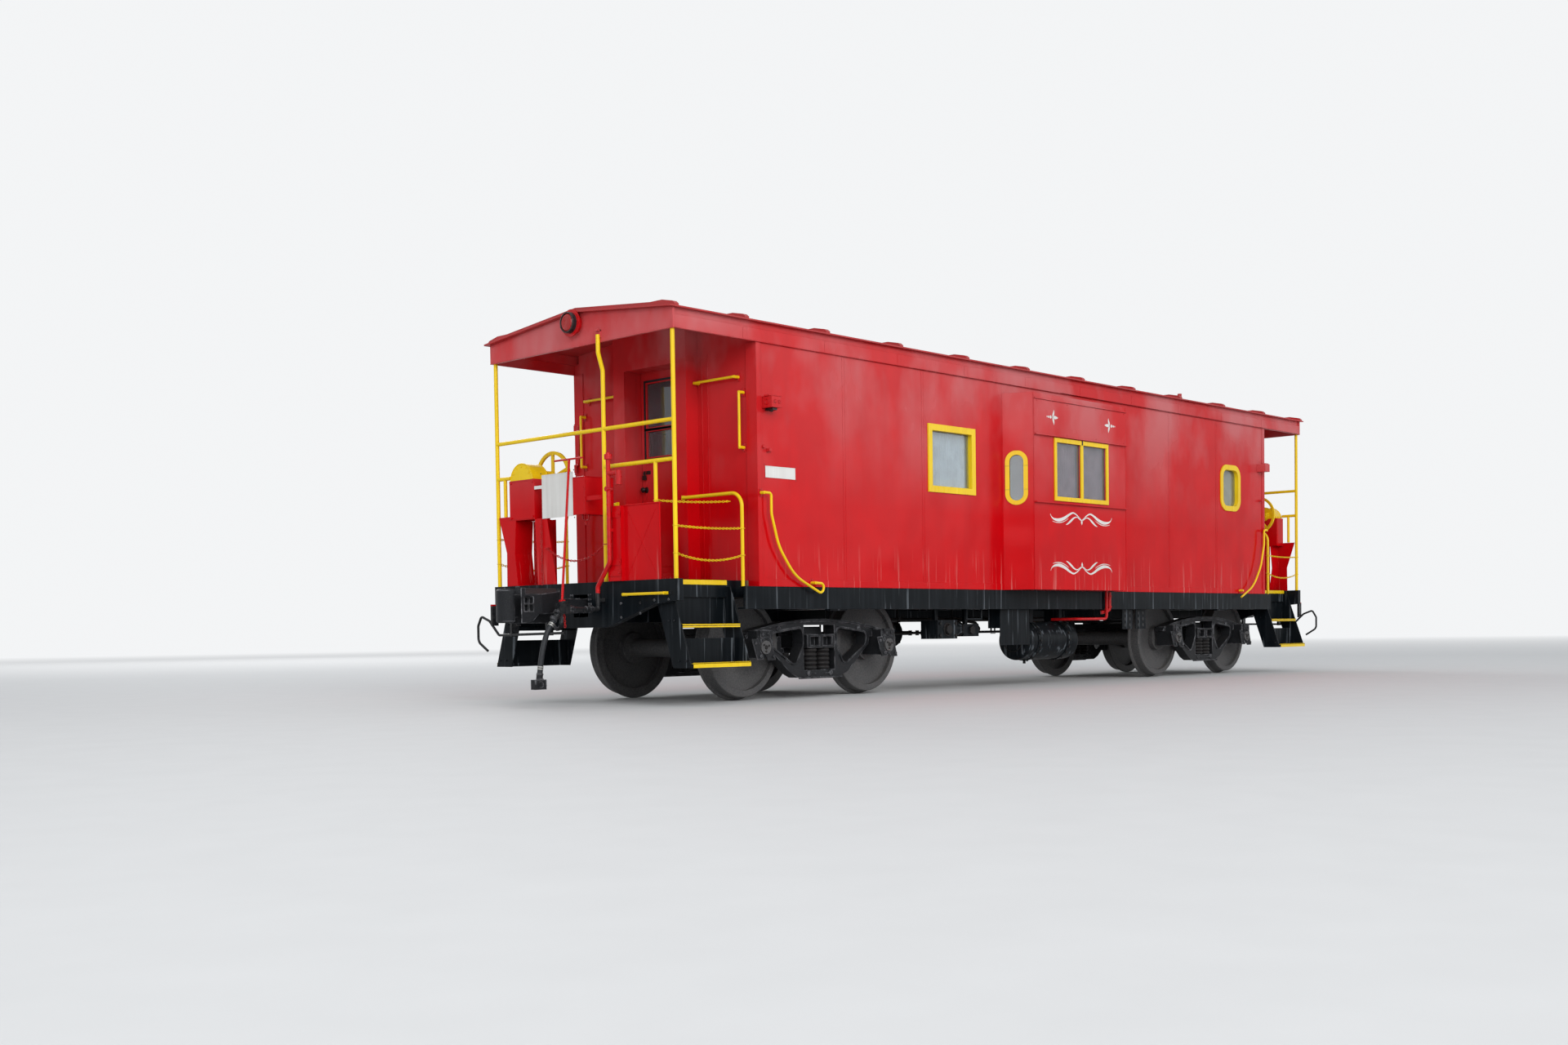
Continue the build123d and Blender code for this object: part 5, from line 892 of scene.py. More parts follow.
for endName, endTurn in endTurns.items():
    buildHose(endName, endTurn)
print("hoses made")

# Chains: every link is its own bent bar
chainSetup = {
    "pitch": 0.0225, "wire": 0.0031, "halfWidth": 0.0082, "halfLength": 0.0066, "flat": 0.0005,
    "roll": 0.35, "points": 49, "hook": (0.0215, 0.004, 16, 6),
    "finishes": {"yellow": "yellowPaint", "red": "redIron"},
    "yellow": (
        {"start": (-5.680, 1.222, 1.500), "end": (-4.878, 1.212, 1.505), "sag": 0.012, "sides": (-1, 1)},
        {"start": (-5.680, 1.222, 1.270), "end": (-4.878, 1.212, 1.270), "sag": 0.055, "sides": (-1, 1)},
        {"start": (-5.680, -0.985, 1.725), "end": (-4.878, -1.040, 1.750), "sag": 0.010, "sides": (1,)},
    ),
    "red": (
        {"start": (-5.680, -0.320, 1.384), "end": (-5.714, 0.455, 1.384), "sag": 0.130, "sides": (1,)},
        {"start": (-5.714, 0.540, 1.640), "end": (-5.714, 0.540, 1.055), "sag": 0.0, "sides": (1,)},
        {"start": (-5.600, 0.780, 2.022), "end": (-5.600, 0.780, 1.055), "sag": 0.0, "sides": (1,)},
        {"start": (-6.170, -0.335, 0.800), "end": (-6.130, -0.295, 0.660), "sag": 0.0, "sides": (1,)},
    ),
}


def makeLink():
    shape = bmesh.new()
    made = ring(shape, (0, 0, 0), (0, 1, 0), chainSetup["halfWidth"], chainSetup["wire"], steps=12, sides=6)
    for vert in made:
        if abs(vert.co.z) > chainSetup["flat"]:
            vert.co.z += math.copysign(chainSetup["halfLength"], vert.co.z)
    for face in shape.faces:
        face.smooth = True
    mesh = bpy.data.meshes.new("chainLink")
    shape.to_mesh(mesh)
    shape.free()
    return mesh


def chainRoute(run, side):
    start, end = Vector(run["start"]), Vector(run["end"])
    points = []
    for part in evenly(0, 1, chainSetup["points"]):
        spot = start.lerp(end, part)
        spot.y *= side
        spot.z = up(spot.z) - run["sag"] * 4 * part * (1 - part)
        points.append(spot)
    return points


def addChain(shape, link, route):
    total = sum((after - before).length for before, after in zip(route, route[1:]))
    count = max(2, round(total / chainSetup["pitch"]))
    reach, index = 0.0, 0
    for before, after in zip(route, route[1:]):
        step = (after - before).length
        while index < count and (index + 0.5) * total / count <= reach + step + 1e-6:
            spot = before.lerp(after, ((index + 0.5) * total / count - reach) / step)
            roll = Matrix.Rotation(math.pi / 2 * (index % 2) + chainSetup["roll"], 4, "Z")
            placed = link.copy()
            placed.transform(aimed(spot, after - before) @ roll)
            shape.from_mesh(placed)
            bpy.data.meshes.remove(placed)
            index += 1
        reach += step


def buildChains():
    link = makeLink()
    pieces = []
    for colour, finish in chainSetup["finishes"].items():
        shape = bmesh.new()
        for run in chainSetup[colour]:
            for side in run["sides"]:
                addChain(shape, link, chainRoute(run, side))
                if run["sag"] > 0:
                    for x, y, z in (run["start"], run["end"]):
                        ring(shape, raised(x, y * side, z), (0, 0, 1), *chainSetup["hook"])
        pieces.append(closeMesh(shape, colour + "Chains", finish, bothEnds=True))
    bpy.data.meshes.remove(link)
    for piece in pieces:
        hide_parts("chains")


buildChains()
print("chains made")

# Steps and deck: yellow nosings with gripping teeth
nosingSetup = {
    "treads": (
        {"height": 0.672, "front": 1.2326, "strips": ((-0.030, -0.017), (-0.011, 0.003)), "teeth": 0},
        {"height": 0.335, "front": 1.3592, "strips": ((-0.034, 0.003),), "teeth": 27},
    ),
    "treadSpan": (-5.627, -4.943), "stripDepth": 0.002, "depth": 0.045, "sunk": 0.0005, "proud": 0.003,
    "firstTooth": 0.0125, "toothPitch": 0.0254, "halfTooth": 0.005, "toothDepth": 0.012, "toothRise": 0.010,
    "deckSpan": (-5.636, -4.930), "deckEdge": 1.060, "deckHeight": 1.055,
    "deckPlates": ((0.060, 0.0), (0.001, 0.042)),
}


def buildNosings():
    setup = nosingSetup
    shape = bmesh.new()
    proud, half = setup["proud"], setup["halfTooth"]
    for side in (-1, 1):
        low, high = setup["treadSpan"]
        for tread in setup["treads"]:
            top, front = up(tread["height"]), tread["front"]
            face = side * (front + proud)
            for bottom, above in tread["strips"]:
                back = side * (front - setup["stripDepth"])
                addBlock(shape, (low, back, top + bottom), (high, face, top + above))
            back = side * (front - setup["depth"])
            addBlock(shape, (low, back, top - setup["sunk"]), (high, face, top + proud))
            back = side * (front - setup["toothDepth"])
            for index in range(tread["teeth"]):
                x = low + setup["firstTooth"] + index * setup["toothPitch"]
                addBlock(shape, (x - half, back, top), (x + half, face, top + setup["toothRise"]))
        low, high = setup["deckSpan"]
        top, edge = up(setup["deckHeight"]), setup["deckEdge"]
        for depth, drop in setup["deckPlates"]:
            back, face = side * (edge - depth), side * (edge + proud)
            addBlock(shape, (low, back, top - drop), (high, face, top + proud))
    closeMesh(shape, "stepNosings", "yellowPaint", smooth=False, bothEnds=True)


buildNosings()
print("nosings made")

# Windows: sashes and dark gaskets at the openings; a box is left, right, bottom and top
windowSetup = {
    "squareFace": 1.2112, "square": (-2.259, -1.580, 2.004, 2.586), "sash": (0.026, 0.020),
    "gasket": 0.009, "gasketDepth": 0.012,
    "rounded": {"centre": (3.809, 2.324), "size": (0.207, 0.243, 0.105), "inset": 0.012, "depth": 0.016},
    "bayFace": 1.491, "bays": ((-0.475, -0.023, 1.984, 2.555), (0.023, 0.475, 1.984, 2.555)),
    "bayDepth": 0.010,
}


def buildWindowTrim():
    setup = windowSetup
    sash, seal = bmesh.new(), bmesh.new()
    # The outward wall axes on the near side run along +X and up
    turn = wallTurn((0, -setup["squareFace"], railTop), (0, -1, 0))
    wide, depth = setup["sash"]
    outline = boxOutline(*setup["square"])
    sashOutline = grown(outline, wide)
    addFrame(sash, turn, outline, sashOutline, depth)
    addFrame(seal, turn, sashOutline, grown(sashOutline, setup["gasket"]), setup["gasketDepth"])
    rounded, outlines = setup["rounded"], []
    for inset in (0, rounded["inset"]):
        outlines.append(roundedOutline(*(size - inset for size in rounded["size"]), 8, rounded["centre"]))
    addFrame(seal, turn, *outlines, rounded["depth"])
    turn = wallTurn((0, -setup["bayFace"], railTop), (0, -1, 0))
    for box in setup["bays"]:
        outline = boxOutline(*box)
        addFrame(seal, turn, outline, grown(outline, setup["gasket"]), setup["bayDepth"])
    closeMesh(sash, "windowSashes", "yellowPaint", smooth=False, bothEnds=True)
    closeMesh(seal, "windowGaskets", "blackRubber", smooth=False, bothEnds=True)


buildWindowTrim()
print("window trim made")

# Panel seams, base strips and fascia laps on the sides; a strip is its half width and its depth
seamSetup = {
    "wallFace": 1.245, "heights": (0.999, 1.064, 1.066, 3.140),
    "seams": (-3.555, -2.380, -1.045, 1.045, 2.319, 3.457), "seamStrip": (0.016, 0.0016), "weld": 0.0035,
    "base": (1.050, 4.709, 0.004), "corner": (4.709, 0.987, 0.005),
    "fascia": (1.262, 3.146, 3.252), "lapStrip": (0.026, 0.002),
    "laps": (-4.86, -3.80, -2.75, -1.69, -0.63, 0.42, 1.48, 2.54, 3.59, 4.65), "soft": 0.0008,
}


def buildSeams():
    setup = seamSetup
    shape = bmesh.new()
    wallBottom, baseTop, weldBottom, wallTop = setup["heights"]
    for side in (-1, 1):
        face = side * setup["wallFace"]
        half, depth = setup["seamStrip"]
        for seam in setup["seams"]:
            left, right = -side * seam - half, -side * seam + half
            addBlock(shape, raised(left, face, wallBottom), raised(right, face + side * depth, wallTop))
            addRod(shape, raised(right, face, weldBottom), raised(right, face, wallTop), setup["weld"], 6)
        inner, outer, depth = setup["base"]
        for hand in (-1, 1):
            corner = raised(hand * outer, face + side * depth, baseTop)
            addBlock(shape, raised(hand * inner, face, wallBottom), corner)
        x, part, depth = setup["corner"]
        for x in (-x, x):
            addBlock(shape, raised(x, face, baseTop), raised(x * part, face + side * depth, wallTop))
        reach, low, high = setup["fascia"]
        half, depth = setup["lapStrip"]
        for x in setup["laps"]:
            corner = raised(x + half, side * (reach + depth), high)
            addBlock(shape, raised(x - half, side * reach, low), corner)
    softenEdges(shape, setup["soft"])
    closeMesh(shape, "sideSeams", "redPaint", smooth=False)


buildSeams()
print("seams made")

# Curtains: pleated cloth behind the windows, gathered on flat rods
curtainSetup = {
    "places": {
        "Square": {"cloth": "curtainCloth", "x": (-2.290, -1.550), "z": (1.930, 2.660), "face": 1.185},
        "Rounded": {"cloth": "beigeCloth", "x": (3.570, 4.048), "z": (2.010, 2.640), "face": 1.185},
        "BayFirst": {"cloth": "mauveCloth", "x": (-0.500, -0.030), "z": (1.915, 2.630), "face": 1.480},
        "BaySecond": {"cloth": "mauveCloth", "x": (0.030, 0.500), "z": (1.915, 2.630), "face": 1.480},
    },
    "gap": 0.017, "pleat": 0.034, "depth": 0.0062,
    "sway": {"broad": 0.35, "broadTurns": 11.0, "fine": 0.20, "fineTurns": 23.0, "start": 2.0, "calm": 0.6},
    "pinch": 0.35, "uneven": (0.2, 17.0), "rows": 12, "perPleat": 8, "cloth": 0.0012,
    "rod": {"half": 0.003, "rise": (0.002, 0.018)},
    "bracket": {"inset": 0.02, "half": 0.006, "rise": (0.004, 0.016)}, "soft": 0.0012,
}


def pleatLine(left, right, lift):
    # One row of the cloth: pinched under the rod, looser towards the hem
    setup = curtainSetup
    sway = setup["sway"]
    uneven, unevenTurns = setup["uneven"]
    width = right - left
    count = round(width / setup["pleat"]) * setup["perPleat"]
    line = []
    for part in evenly(0, 1, count + 1):
        broad = sway["broad"] * math.sin(part * sway["broadTurns"] + left)
        fine = sway["fine"] * math.sin(part * sway["fineTurns"] + sway["start"])
        phase = math.tau * part * count / setup["perPleat"] + (broad + fine) * (1.0 - sway["calm"] * lift)
        swell = 1.0 - uneven + uneven * math.sin(part * unevenTurns)
        depth = setup["depth"] * (1.0 - setup["pinch"] * lift) * swell
        line.append((left + width * part, depth * math.sin(phase)))
    return line


def buildCurtain(name, place, turn):
    setup = curtainSetup
    shape = bmesh.new()
    middle = setup["gap"] - place["face"]
    bottom, top = place["z"]
    height = top - bottom
    rows = []
    for lift in evenly(0, 1, setup["rows"] + 1):
        z = up(bottom + height * lift)
        line = pleatLine(*place["x"], lift)
        rows.append([shape.verts.new(turn @ Vector((x, middle + y, z))) for x, y in line])
    for low, high in zip(rows, rows[1:]):
        for index in range(len(low) - 1):
            shape.faces.new((low[index], low[index + 1], high[index + 1], high[index]))
    area = sum(face.calc_area() for face in shape.faces)
    piece = closeMesh(shape, name, place["cloth"])
    thick = piece.modifiers.new("cloth", "SOLIDIFY")
    thick.thickness = setup["cloth"]
    thick.offset = 0
    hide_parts("curtains")


def buildCurtains():
    setup = curtainSetup
    rod, bracket = setup["rod"], setup["bracket"]
    shape = bmesh.new()
    for place in setup["places"].values():
        left, right = place["x"]
        face, top = -place["face"], up(place["z"][1])
        middle = face + setup["gap"]
        low, high = (top + rise for rise in rod["rise"])
        addBlock(shape, (left, middle - rod["half"], low), (right, middle + rod["half"], high))
        low, high = (top + rise for rise in bracket["rise"])
        for x in (left + bracket["inset"], right - bracket["inset"]):
            addBlock(shape, (x - bracket["half"], face, low), (x + bracket["half"], middle, high))
    softenEdges(shape, setup["soft"], 2)
    rods = closeMesh(shape, "curtainRods", "lampMetal", smooth=False, bothEnds=True)
    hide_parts("curtains")
    for sideName, turn in (("left", Matrix.Identity(4)), ("right", halfTurn)):
        for placeName, place in setup["places"].items():
            buildCurtain(f"{sideName}{placeName}Curtain", place, turn)


buildCurtains()
print("curtains made")

# Grab iron feet: small plates with two bolts each, and the red pipe by the corner
footSetup = {
    "side": (
        (-4.684, -1.253, 1.822), (4.684, -1.253, 1.822), (-4.030, -1.245, 1.036), (4.030, -1.245, 1.036),
    ),
    "end": ((-4.709, 0.520, 2.857), (-4.709, 1.030, 2.857), (-4.709, 1.090, 2.230), (-4.709, 1.090, 2.715)),
    "sill": ((-5.710, 0.630, 0.935), (-5.710, 1.150, 0.935)),
    "outline": (0.019, 0.036, 0.008, 3), "thick": 0.006, "bolts": (-0.024, 0.024), "bolt": (0.0085, 0.007),
    "pipeX": -4.738, "pipe": ((1.172, 2.640), (1.172, 2.290), (1.184, 2.262), (1.210, 2.250), (1.236, 2.250)),
    "pipeRadius": 0.011,
    "pipeParts": (
        ("block", ((-4.752, 1.150, 2.610), (-4.716, 1.194, 2.632))),
        ("block", ((-4.752, 1.150, 2.330), (-4.716, 1.194, 2.352))),
        ("rod", ((-4.738, 1.222, 2.262), (-4.738, 1.222, 2.186)), 0.016, 10),
        ("ring", ((-4.738, 1.222, 2.176),), (1, 0, 0), 0.013, 0.004, 12, 6),
    ),
}


def addFoot(shape, spot, outward, upward=(0, 0, 1)):
    setup = footSetup
    turn = wallTurn(raised(*spot), outward, upward)
    addPlate(shape, roundedOutline(*setup["outline"]), turn, setup["thick"])
    for rise in setup["bolts"]:
        addBolt(shape, turn @ Vector((0, rise, setup["thick"])), outward, *setup["bolt"])


def buildFeet():
    setup = footSetup
    red, black = bmesh.new(), bmesh.new()
    for spot in setup["side"]:
        addFoot(red, spot, (0, -1, 0))
    for side in (-1, 1):
        for x, y, z in setup["end"]:
            addFoot(red, (x, side * y, z), (-1, 0, 0))
        for x, y, z in setup["sill"]:
            addFoot(black, (x, side * y, z), (-1, 0, 0), (0, 1, 0))
    addTube(red, [raised(setup["pipeX"], y, z) for y, z in setup["pipe"]], setup["pipeRadius"])
    addParts(red, setup["pipeParts"])
    closeMesh(red, "grabFeet", "redIron", bothEnds=True)
    closeMesh(black, "sillFeet", "blackPaint", bothEnds=True)


buildFeet()
print("feet made")

# End walls: weld lines, corner strips, the lug that holds the middle post and the soffit's edges
endSetup = {
    "face": -4.709, "welds": (0.555, 0.632, 1.118), "weldSpan": (1.070, 3.120, 25),
    "wander": 0.0014, "turns": 2.4, "start": 9.0, "weldRadius": 0.0042,
    "sideParts": (
        ("block", ((-4.714, 1.188, 1.070), (-4.709, 1.249, 3.120))),
        ("rod", ((-5.684, 1.2625, 3.146), (5.684, 1.2625, 3.146)), 0.005, 6),
        ("rod", ((-5.706, 1.244, 3.142), (-5.706, 1.244, 3.255)), 0.0062, 6),
    ),
    "middleParts": (
        ("block", ((-5.722, -0.342, 3.178), (-5.708, -0.298, 3.246))),
        ("block", ((-5.752, -0.342, 3.234), (-5.708, -0.298, 3.246))),
        ("bolt", ((-5.730, -0.320, 3.246),), (0, 0, 1), 0.010, 0.008),
        ("rod", ((-5.711, -1.257, 3.144), (-5.711, 1.257, 3.144)), 0.005, 6),
    ),
}


def buildEndWalls():
    setup = endSetup
    shape = bmesh.new()
    for side in (-1, 1):
        for y in setup["welds"]:
            points = []
            for step, z in enumerate(evenly(*setup["weldSpan"])):
                shift = setup["wander"] * math.sin(step * setup["turns"] + y * setup["start"])
                points.append(raised(setup["face"], side * y + shift, z))
            addTube(shape, points, setup["weldRadius"], 6)
        addParts(shape, setup["sideParts"], side)
    addParts(shape, setup["middleParts"])
    closeMesh(shape, "endWallWelds", "redPaint", bothEnds=True)


buildEndWalls()
print("end walls made")

# Doors: dark gaskets round the lights, a hasp with its padlock, and a knob, on the door's own face
doorSetup = {
    "face": -4.644, "lights": ((2.262, 2.500), (2.540, 2.950)), "half": 0.272, "lip": 0.012,
    "gasket": {"wide": 0.020, "depth": 0.007}, "rim": {"wide": 0.016, "depth": 0.005},
    "panel": {"box": (-0.285, 0.285, 1.230, 2.190), "wide": 0.012, "depth": 0.004},
    "kickPlate": ((-0.330, 1.072, 0), (0.330, 1.160, 0.003)), "knobAt": (-0.292, 1.955, 0),
    "knob": (
        (0, 0.006, 0.030, 0.028), (0.006, 0.034, 0.010, 0.011), (0.034, 0.046, 0.018, 0.027),
        (0.046, 0.060, 0.027, 0.016),
    ),
    "haspAt": (-0.300, 2.118, 0), "hasp": ((-0.030, -0.018, 0), (0.070, 0.018, 0.004)),
    "haspBolts": (
        (0.030, -0.010, 0.004), (0.030, 0.010, 0.004), (0.056, -0.010, 0.004), (0.056, 0.010, 0.004),
    ),
    "haspBolt": (0.0045, 0.003), "shackleAt": (0, -0.008, 0.018), "shackle": (0.015, 0.0038, 16, 6),
    "padlock": ((-0.022, -0.068, 0.009), (0.022, -0.026, 0.027)), "soft": 0.0010, "softFrom": 0.02,
}


def buildDoorTrim(body, turnDoor):
    setup = doorSetup
    seal, paint, metal = bmesh.new(), bmesh.new(), bmesh.new()
    gasket, rim, panel = setup["gasket"], setup["rim"], setup["panel"]
    outward = (-1, 0, 0)
    turn = wallTurn((setup["face"], 0, railTop), outward)
    for bottom, top in setup["lights"]:
        outline = grown(boxOutline(-setup["half"], setup["half"], bottom, top), setup["lip"])
        addFrame(seal, turn, outline, grown(outline, gasket["wide"]), gasket["depth"])
        addFrame(paint, turn, grown(outline, rim["wide"]), outline, rim["depth"])
    outline = boxOutline(*panel["box"])
    addFrame(paint, turn, outline, grown(outline, panel["wide"]), panel["depth"])
    addBlock(paint, *setup["kickPlate"], turn)
    knobTurn = turn @ Matrix.Translation(setup["knobAt"])
    for start, end, radius, tip in setup["knob"]:
        addRod(metal, knobTurn @ Vector((0, 0, start)), knobTurn @ Vector((0, 0, end)), radius, 20, tip)
    haspTurn = turn @ Matrix.Translation(setup["haspAt"])
    addBlock(metal, *setup["hasp"], haspTurn)
    for spot in setup["haspBolts"]:
        addBolt(metal, haspTurn @ Vector(spot), outward, *setup["haspBolt"])
    ring(metal, haspTurn @ Vector(setup["shackleAt"]), outward, *setup["shackle"])
    addBlock(metal, *setup["padlock"], haspTurn)
    for shape in (seal, paint, metal):
        edges = [edge for edge in shape.edges if edge.calc_length() > setup["softFrom"]]
        softenEdges(shape, setup["soft"], edges=edges)
    closeMesh(seal, body + "Gaskets", "blackRubber", body, smooth=False, turn=turnDoor)
    closeMesh(paint, body + "Trim", "redPaint", body, smooth=False, turn=turnDoor)
    closeMesh(metal, body + "Lock", "lampMetal", body, turn=turnDoor)


for endName, endTurn in endTurns.items():
    buildDoorTrim(endName + "_door", endTurn)
print("doors made")

# End lamps: bezel, lens rings and small screws
lampSetup = {
    "height": 3.345, "front": -5.8115, "bezel": (0.085, 0.0075, 40, 8), "screwFace": -5.8175,
    "screws": (8, 0.0855, math.pi / 8), "screw": (0.0055, 0.004), "lensFace": -5.8195,
    "lensRings": (0.052, 0.038, 0.024), "lensRing": (0.0016, 32, 6),
}


def buildLamps():
    setup = lampSetup
    metal, lens = bmesh.new(), bmesh.new()
    height, outward = setup["height"], (-1, 0, 0)
    ring(metal, raised(setup["front"], 0, height), outward, *setup["bezel"])
    for y, rise in aroundCircle(*setup["screws"]):
        addBolt(metal, raised(setup["screwFace"], y, height + rise), outward, *setup["screw"])
    for radius in setup["lensRings"]:
        ring(lens, raised(setup["lensFace"], 0, height), outward, radius, *setup["lensRing"])
    closeMesh(metal, "lampBezels", "lampMetal", bothEnds=True)
    closeMesh(lens, "lampLensRings", "lampRed", bothEnds=True)


buildLamps()
print("lamps made")

# Boxes and panels on the end railings: rims, straps, bolts and the box's handle
endBoxSetup = {
    "panelParts": (
        ("rod", ((-5.704, -1.010, 1.100), (-5.704, -0.645, 1.658)), 0.0038, 6),
        ("rod", ((-5.704, -1.010, 1.658), (-5.704, -0.645, 1.100)), 0.0038, 6),
        ("rod", ((-5.705, -1.055, 1.703), (-5.705, -0.600, 1.703)), 0.007, 8),
        ("rod", ((-5.705, -1.055, 1.055), (-5.705, -1.055, 1.703)), 0.007, 8),
    ),
    "straps": (1.600, 1.190, 1.095),
    "strapParts": (
        ("block", ((-5.751, -0.600, 0), (-5.745, -0.430, 0.055))),
        ("bolt", ((-5.751, -0.582, 0.028),), (-1, 0, 0), 0.008, 0.006),
        ("bolt", ((-5.751, -0.448, 0.028),), (-1, 0, 0), 0.008, 0.006),
    ),
    "stripParts": (
        ("block", ((-5.749, -0.600, 1.060), (-5.745, -0.586, 1.700))),
        ("block", ((-5.749, -0.444, 1.060), (-5.745, -0.430, 1.700))),
    ),
    "housingBolts": ((0.672, 2.008), (0.998, 2.008), (0.672, 1.684), (0.998, 1.684)),
    "housingFace": -5.700, "housingBolt": (0.013, 0.010),
    "ledgeParts": (
        ("block", ((-5.703, 0.650, 1.668), (-5.700, 1.020, 1.676))),
        ("block", ((-5.703, 0.650, 2.016), (-5.700, 1.020, 2.024))),
    ),
    "box": {"x": (-5.703, -5.370), "y": (-0.075, 0.085), "z": (1.665, 1.995)}, "boxRim": 0.004,
    "rivetParts": (
        ("rivet", ((-5.703, -0.057, 1.78),), (-1, 0, 0), 0.006),
        ("rivet", ((-5.703, -0.057, 1.90),), (-1, 0, 0), 0.006),
    ),
    "handleX": -5.600, "handleRadius": 0.006,
    "handle": (
        (0.080, 1.668), (0.080, 1.640), (0.074, 1.626), (0.060, 1.620), (0.015, 1.618), (0.002, 1.624),
        (-0.004, 1.640), (-0.004, 1.664),
    ),
    "latchParts": (
        ("rod", ((-5.600, 0.041, 1.612), (-5.600, 0.041, 1.575)), 0.007, 8),
        ("rod", ((-5.600, 0.041, 1.592), (-5.600, 0.019, 1.602)), 0.008, 8, 0.005),
        ("rod", ((-5.600, 0.041, 1.592), (-5.600, 0.063, 1.602)), 0.008, 8, 0.005),
    ),
}


def buildEndBoxes():
    setup = endBoxSetup
    shape, handle = bmesh.new(), bmesh.new()
    addParts(shape, setup["panelParts"])
    for height in setup["straps"]:
        addParts(shape, setup["strapParts"], lift=height)
    addParts(shape, setup["stripParts"])
    for y, z in setup["housingBolts"]:
        addBolt(shape, raised(setup["housingFace"], y, z), (-1, 0, 0), *setup["housingBolt"])
    addParts(shape, setup["ledgeParts"])
    (front, back), (left, right), (bottom, top) = setup["box"].values()
    for y in (left, right):
        addRod(shape, raised(front, y, bottom), raised(front, y, top), setup["boxRim"], 6)
    for z in (bottom, top):
        addRod(shape, raised(front, left, z), raised(front, right, z), setup["boxRim"], 6)
        addRod(shape, raised(front, left, z), raised(back, left, z), setup["boxRim"], 6)
    addParts(shape, setup["rivetParts"])
    addTube(handle, [raised(setup["handleX"], y, z) for y, z in setup["handle"]], setup["handleRadius"], 8)
    addParts(handle, setup["latchParts"])
    closeMesh(shape, "endBoxTrim", "redPaint", bothEnds=True)
    closeMesh(handle, "boxHandles", "redIron", bothEnds=True)


buildEndBoxes()
print("end boxes made")

# Hand brake: gear case rims and bolts, hub nut, the wheel's rim beads and bosses
brakeSetup = {
    "centreY": 0.835, "baseZ": 2.030, "half": 0.165, "rise": 0.150, "faces": ((-5.700, -1), (-5.520, 1)),
    "rimPoints": 25, "rimRadius": 0.0055,
    "boltAngles": (-1.1, -0.55, 0.0, 0.55, 1.1), "boltReach": (0.128, 0.112), "boltRise": 0.012,
    "bolt": (0.008, 0.006),
    "wheelParts": (
        ("rod", ((-5.318, 0.835, 2.070), (-5.302, 0.835, 2.070)), 0.030, 6),
        ("rod", ((-5.302, 0.835, 2.070), (-5.292, 0.835, 2.070)), 0.014, 12),
        ("ring", ((-5.340, 0.835, 2.070),), (1, 0, 0), 0.234, 0.0045, 48, 6),
        ("ring", ((-5.320, 0.835, 2.070),), (1, 0, 0), 0.234, 0.0045, 48, 6),
        ("rod", ((-5.520, 0.835, 2.070), (-5.480, 0.835, 2.070)), 0.074, 24),
        ("rod", ((-5.520, 0.835, 2.070), (-5.435, 0.835, 2.070)), 0.0695, 24),
    ),
}


def addCaseTrim(shape, x, outward):
    # The case is an arc through its two feet and its top
    setup = brakeSetup
    radius = (setup["half"] ** 2 + setup["rise"] ** 2) / (2 * setup["rise"])
    centreY, centreZ = setup["centreY"], setup["baseZ"] + setup["rise"] - radius
    reach = math.asin(setup["half"] / radius)
    points = []
    for angle in evenly(-reach, reach, setup["rimPoints"]):
        points.append(raised(x, centreY + radius * math.sin(angle), centreZ + radius * math.cos(angle)))
    addTube(shape, points, setup["rimRadius"], 8)
    across, rise = setup["boltReach"]
    for angle in setup["boltAngles"]:
        z = setup["baseZ"] + setup["boltRise"] + rise * math.cos(angle)
        addBolt(shape, raised(x, centreY + across * math.sin(angle), z), (outward, 0, 0), *setup["bolt"])


def buildBrakeTrim():
    shape = bmesh.new()
    for x, outward in brakeSetup["faces"]:
        addCaseTrim(shape, x, outward)
    addParts(shape, brakeSetup["wheelParts"])
    closeMesh(shape, "brakeTrim", "yellowPaint", bothEnds=True)


buildBrakeTrim()
print("brake trim made")

# Blank plates: rims along their edges and screws beyond the corners
plateSetup = {
    "sign": {
        "spot": (-5.704, 0, railTop), "outward": (-1, 0, 0), "box": (-0.520, -0.095, 1.665, 2.040),
        "rim": (0.010, 0.0018), "screws": 0.024, "screw": (0.006, 0.0022, 10),
    },
    "side": {
        "spot": (0, -1.249, railTop), "outward": (0, -1, 0), "box": (-4.611, -4.233, 1.967, 2.060),
        "rim": (0.005, 0.0014), "screws": 0.014, "screw": (0.004, 0.0016, 10),
    },
}


def buildPlateTrim():
    rim, screws = bmesh.new(), bmesh.new()
    for plate in plateSetup.values():
        turn = wallTurn(plate["spot"], plate["outward"])
        outline = boxOutline(*plate["box"])
        wide, depth = plate["rim"]
        addFrame(rim, turn, outline, grown(outline, wide), depth)
        for across, rise in grown(outline, plate["screws"]):
            addBolt(screws, turn @ Vector((across, rise, 0)), plate["outward"], *plate["screw"])
    closeMesh(rim, "plateRims", "whitePlate", smooth=False, bothEnds=True)
    closeMesh(screws, "plateScrews", "lampMetal", bothEnds=True)


buildPlateTrim()
print("plates made")

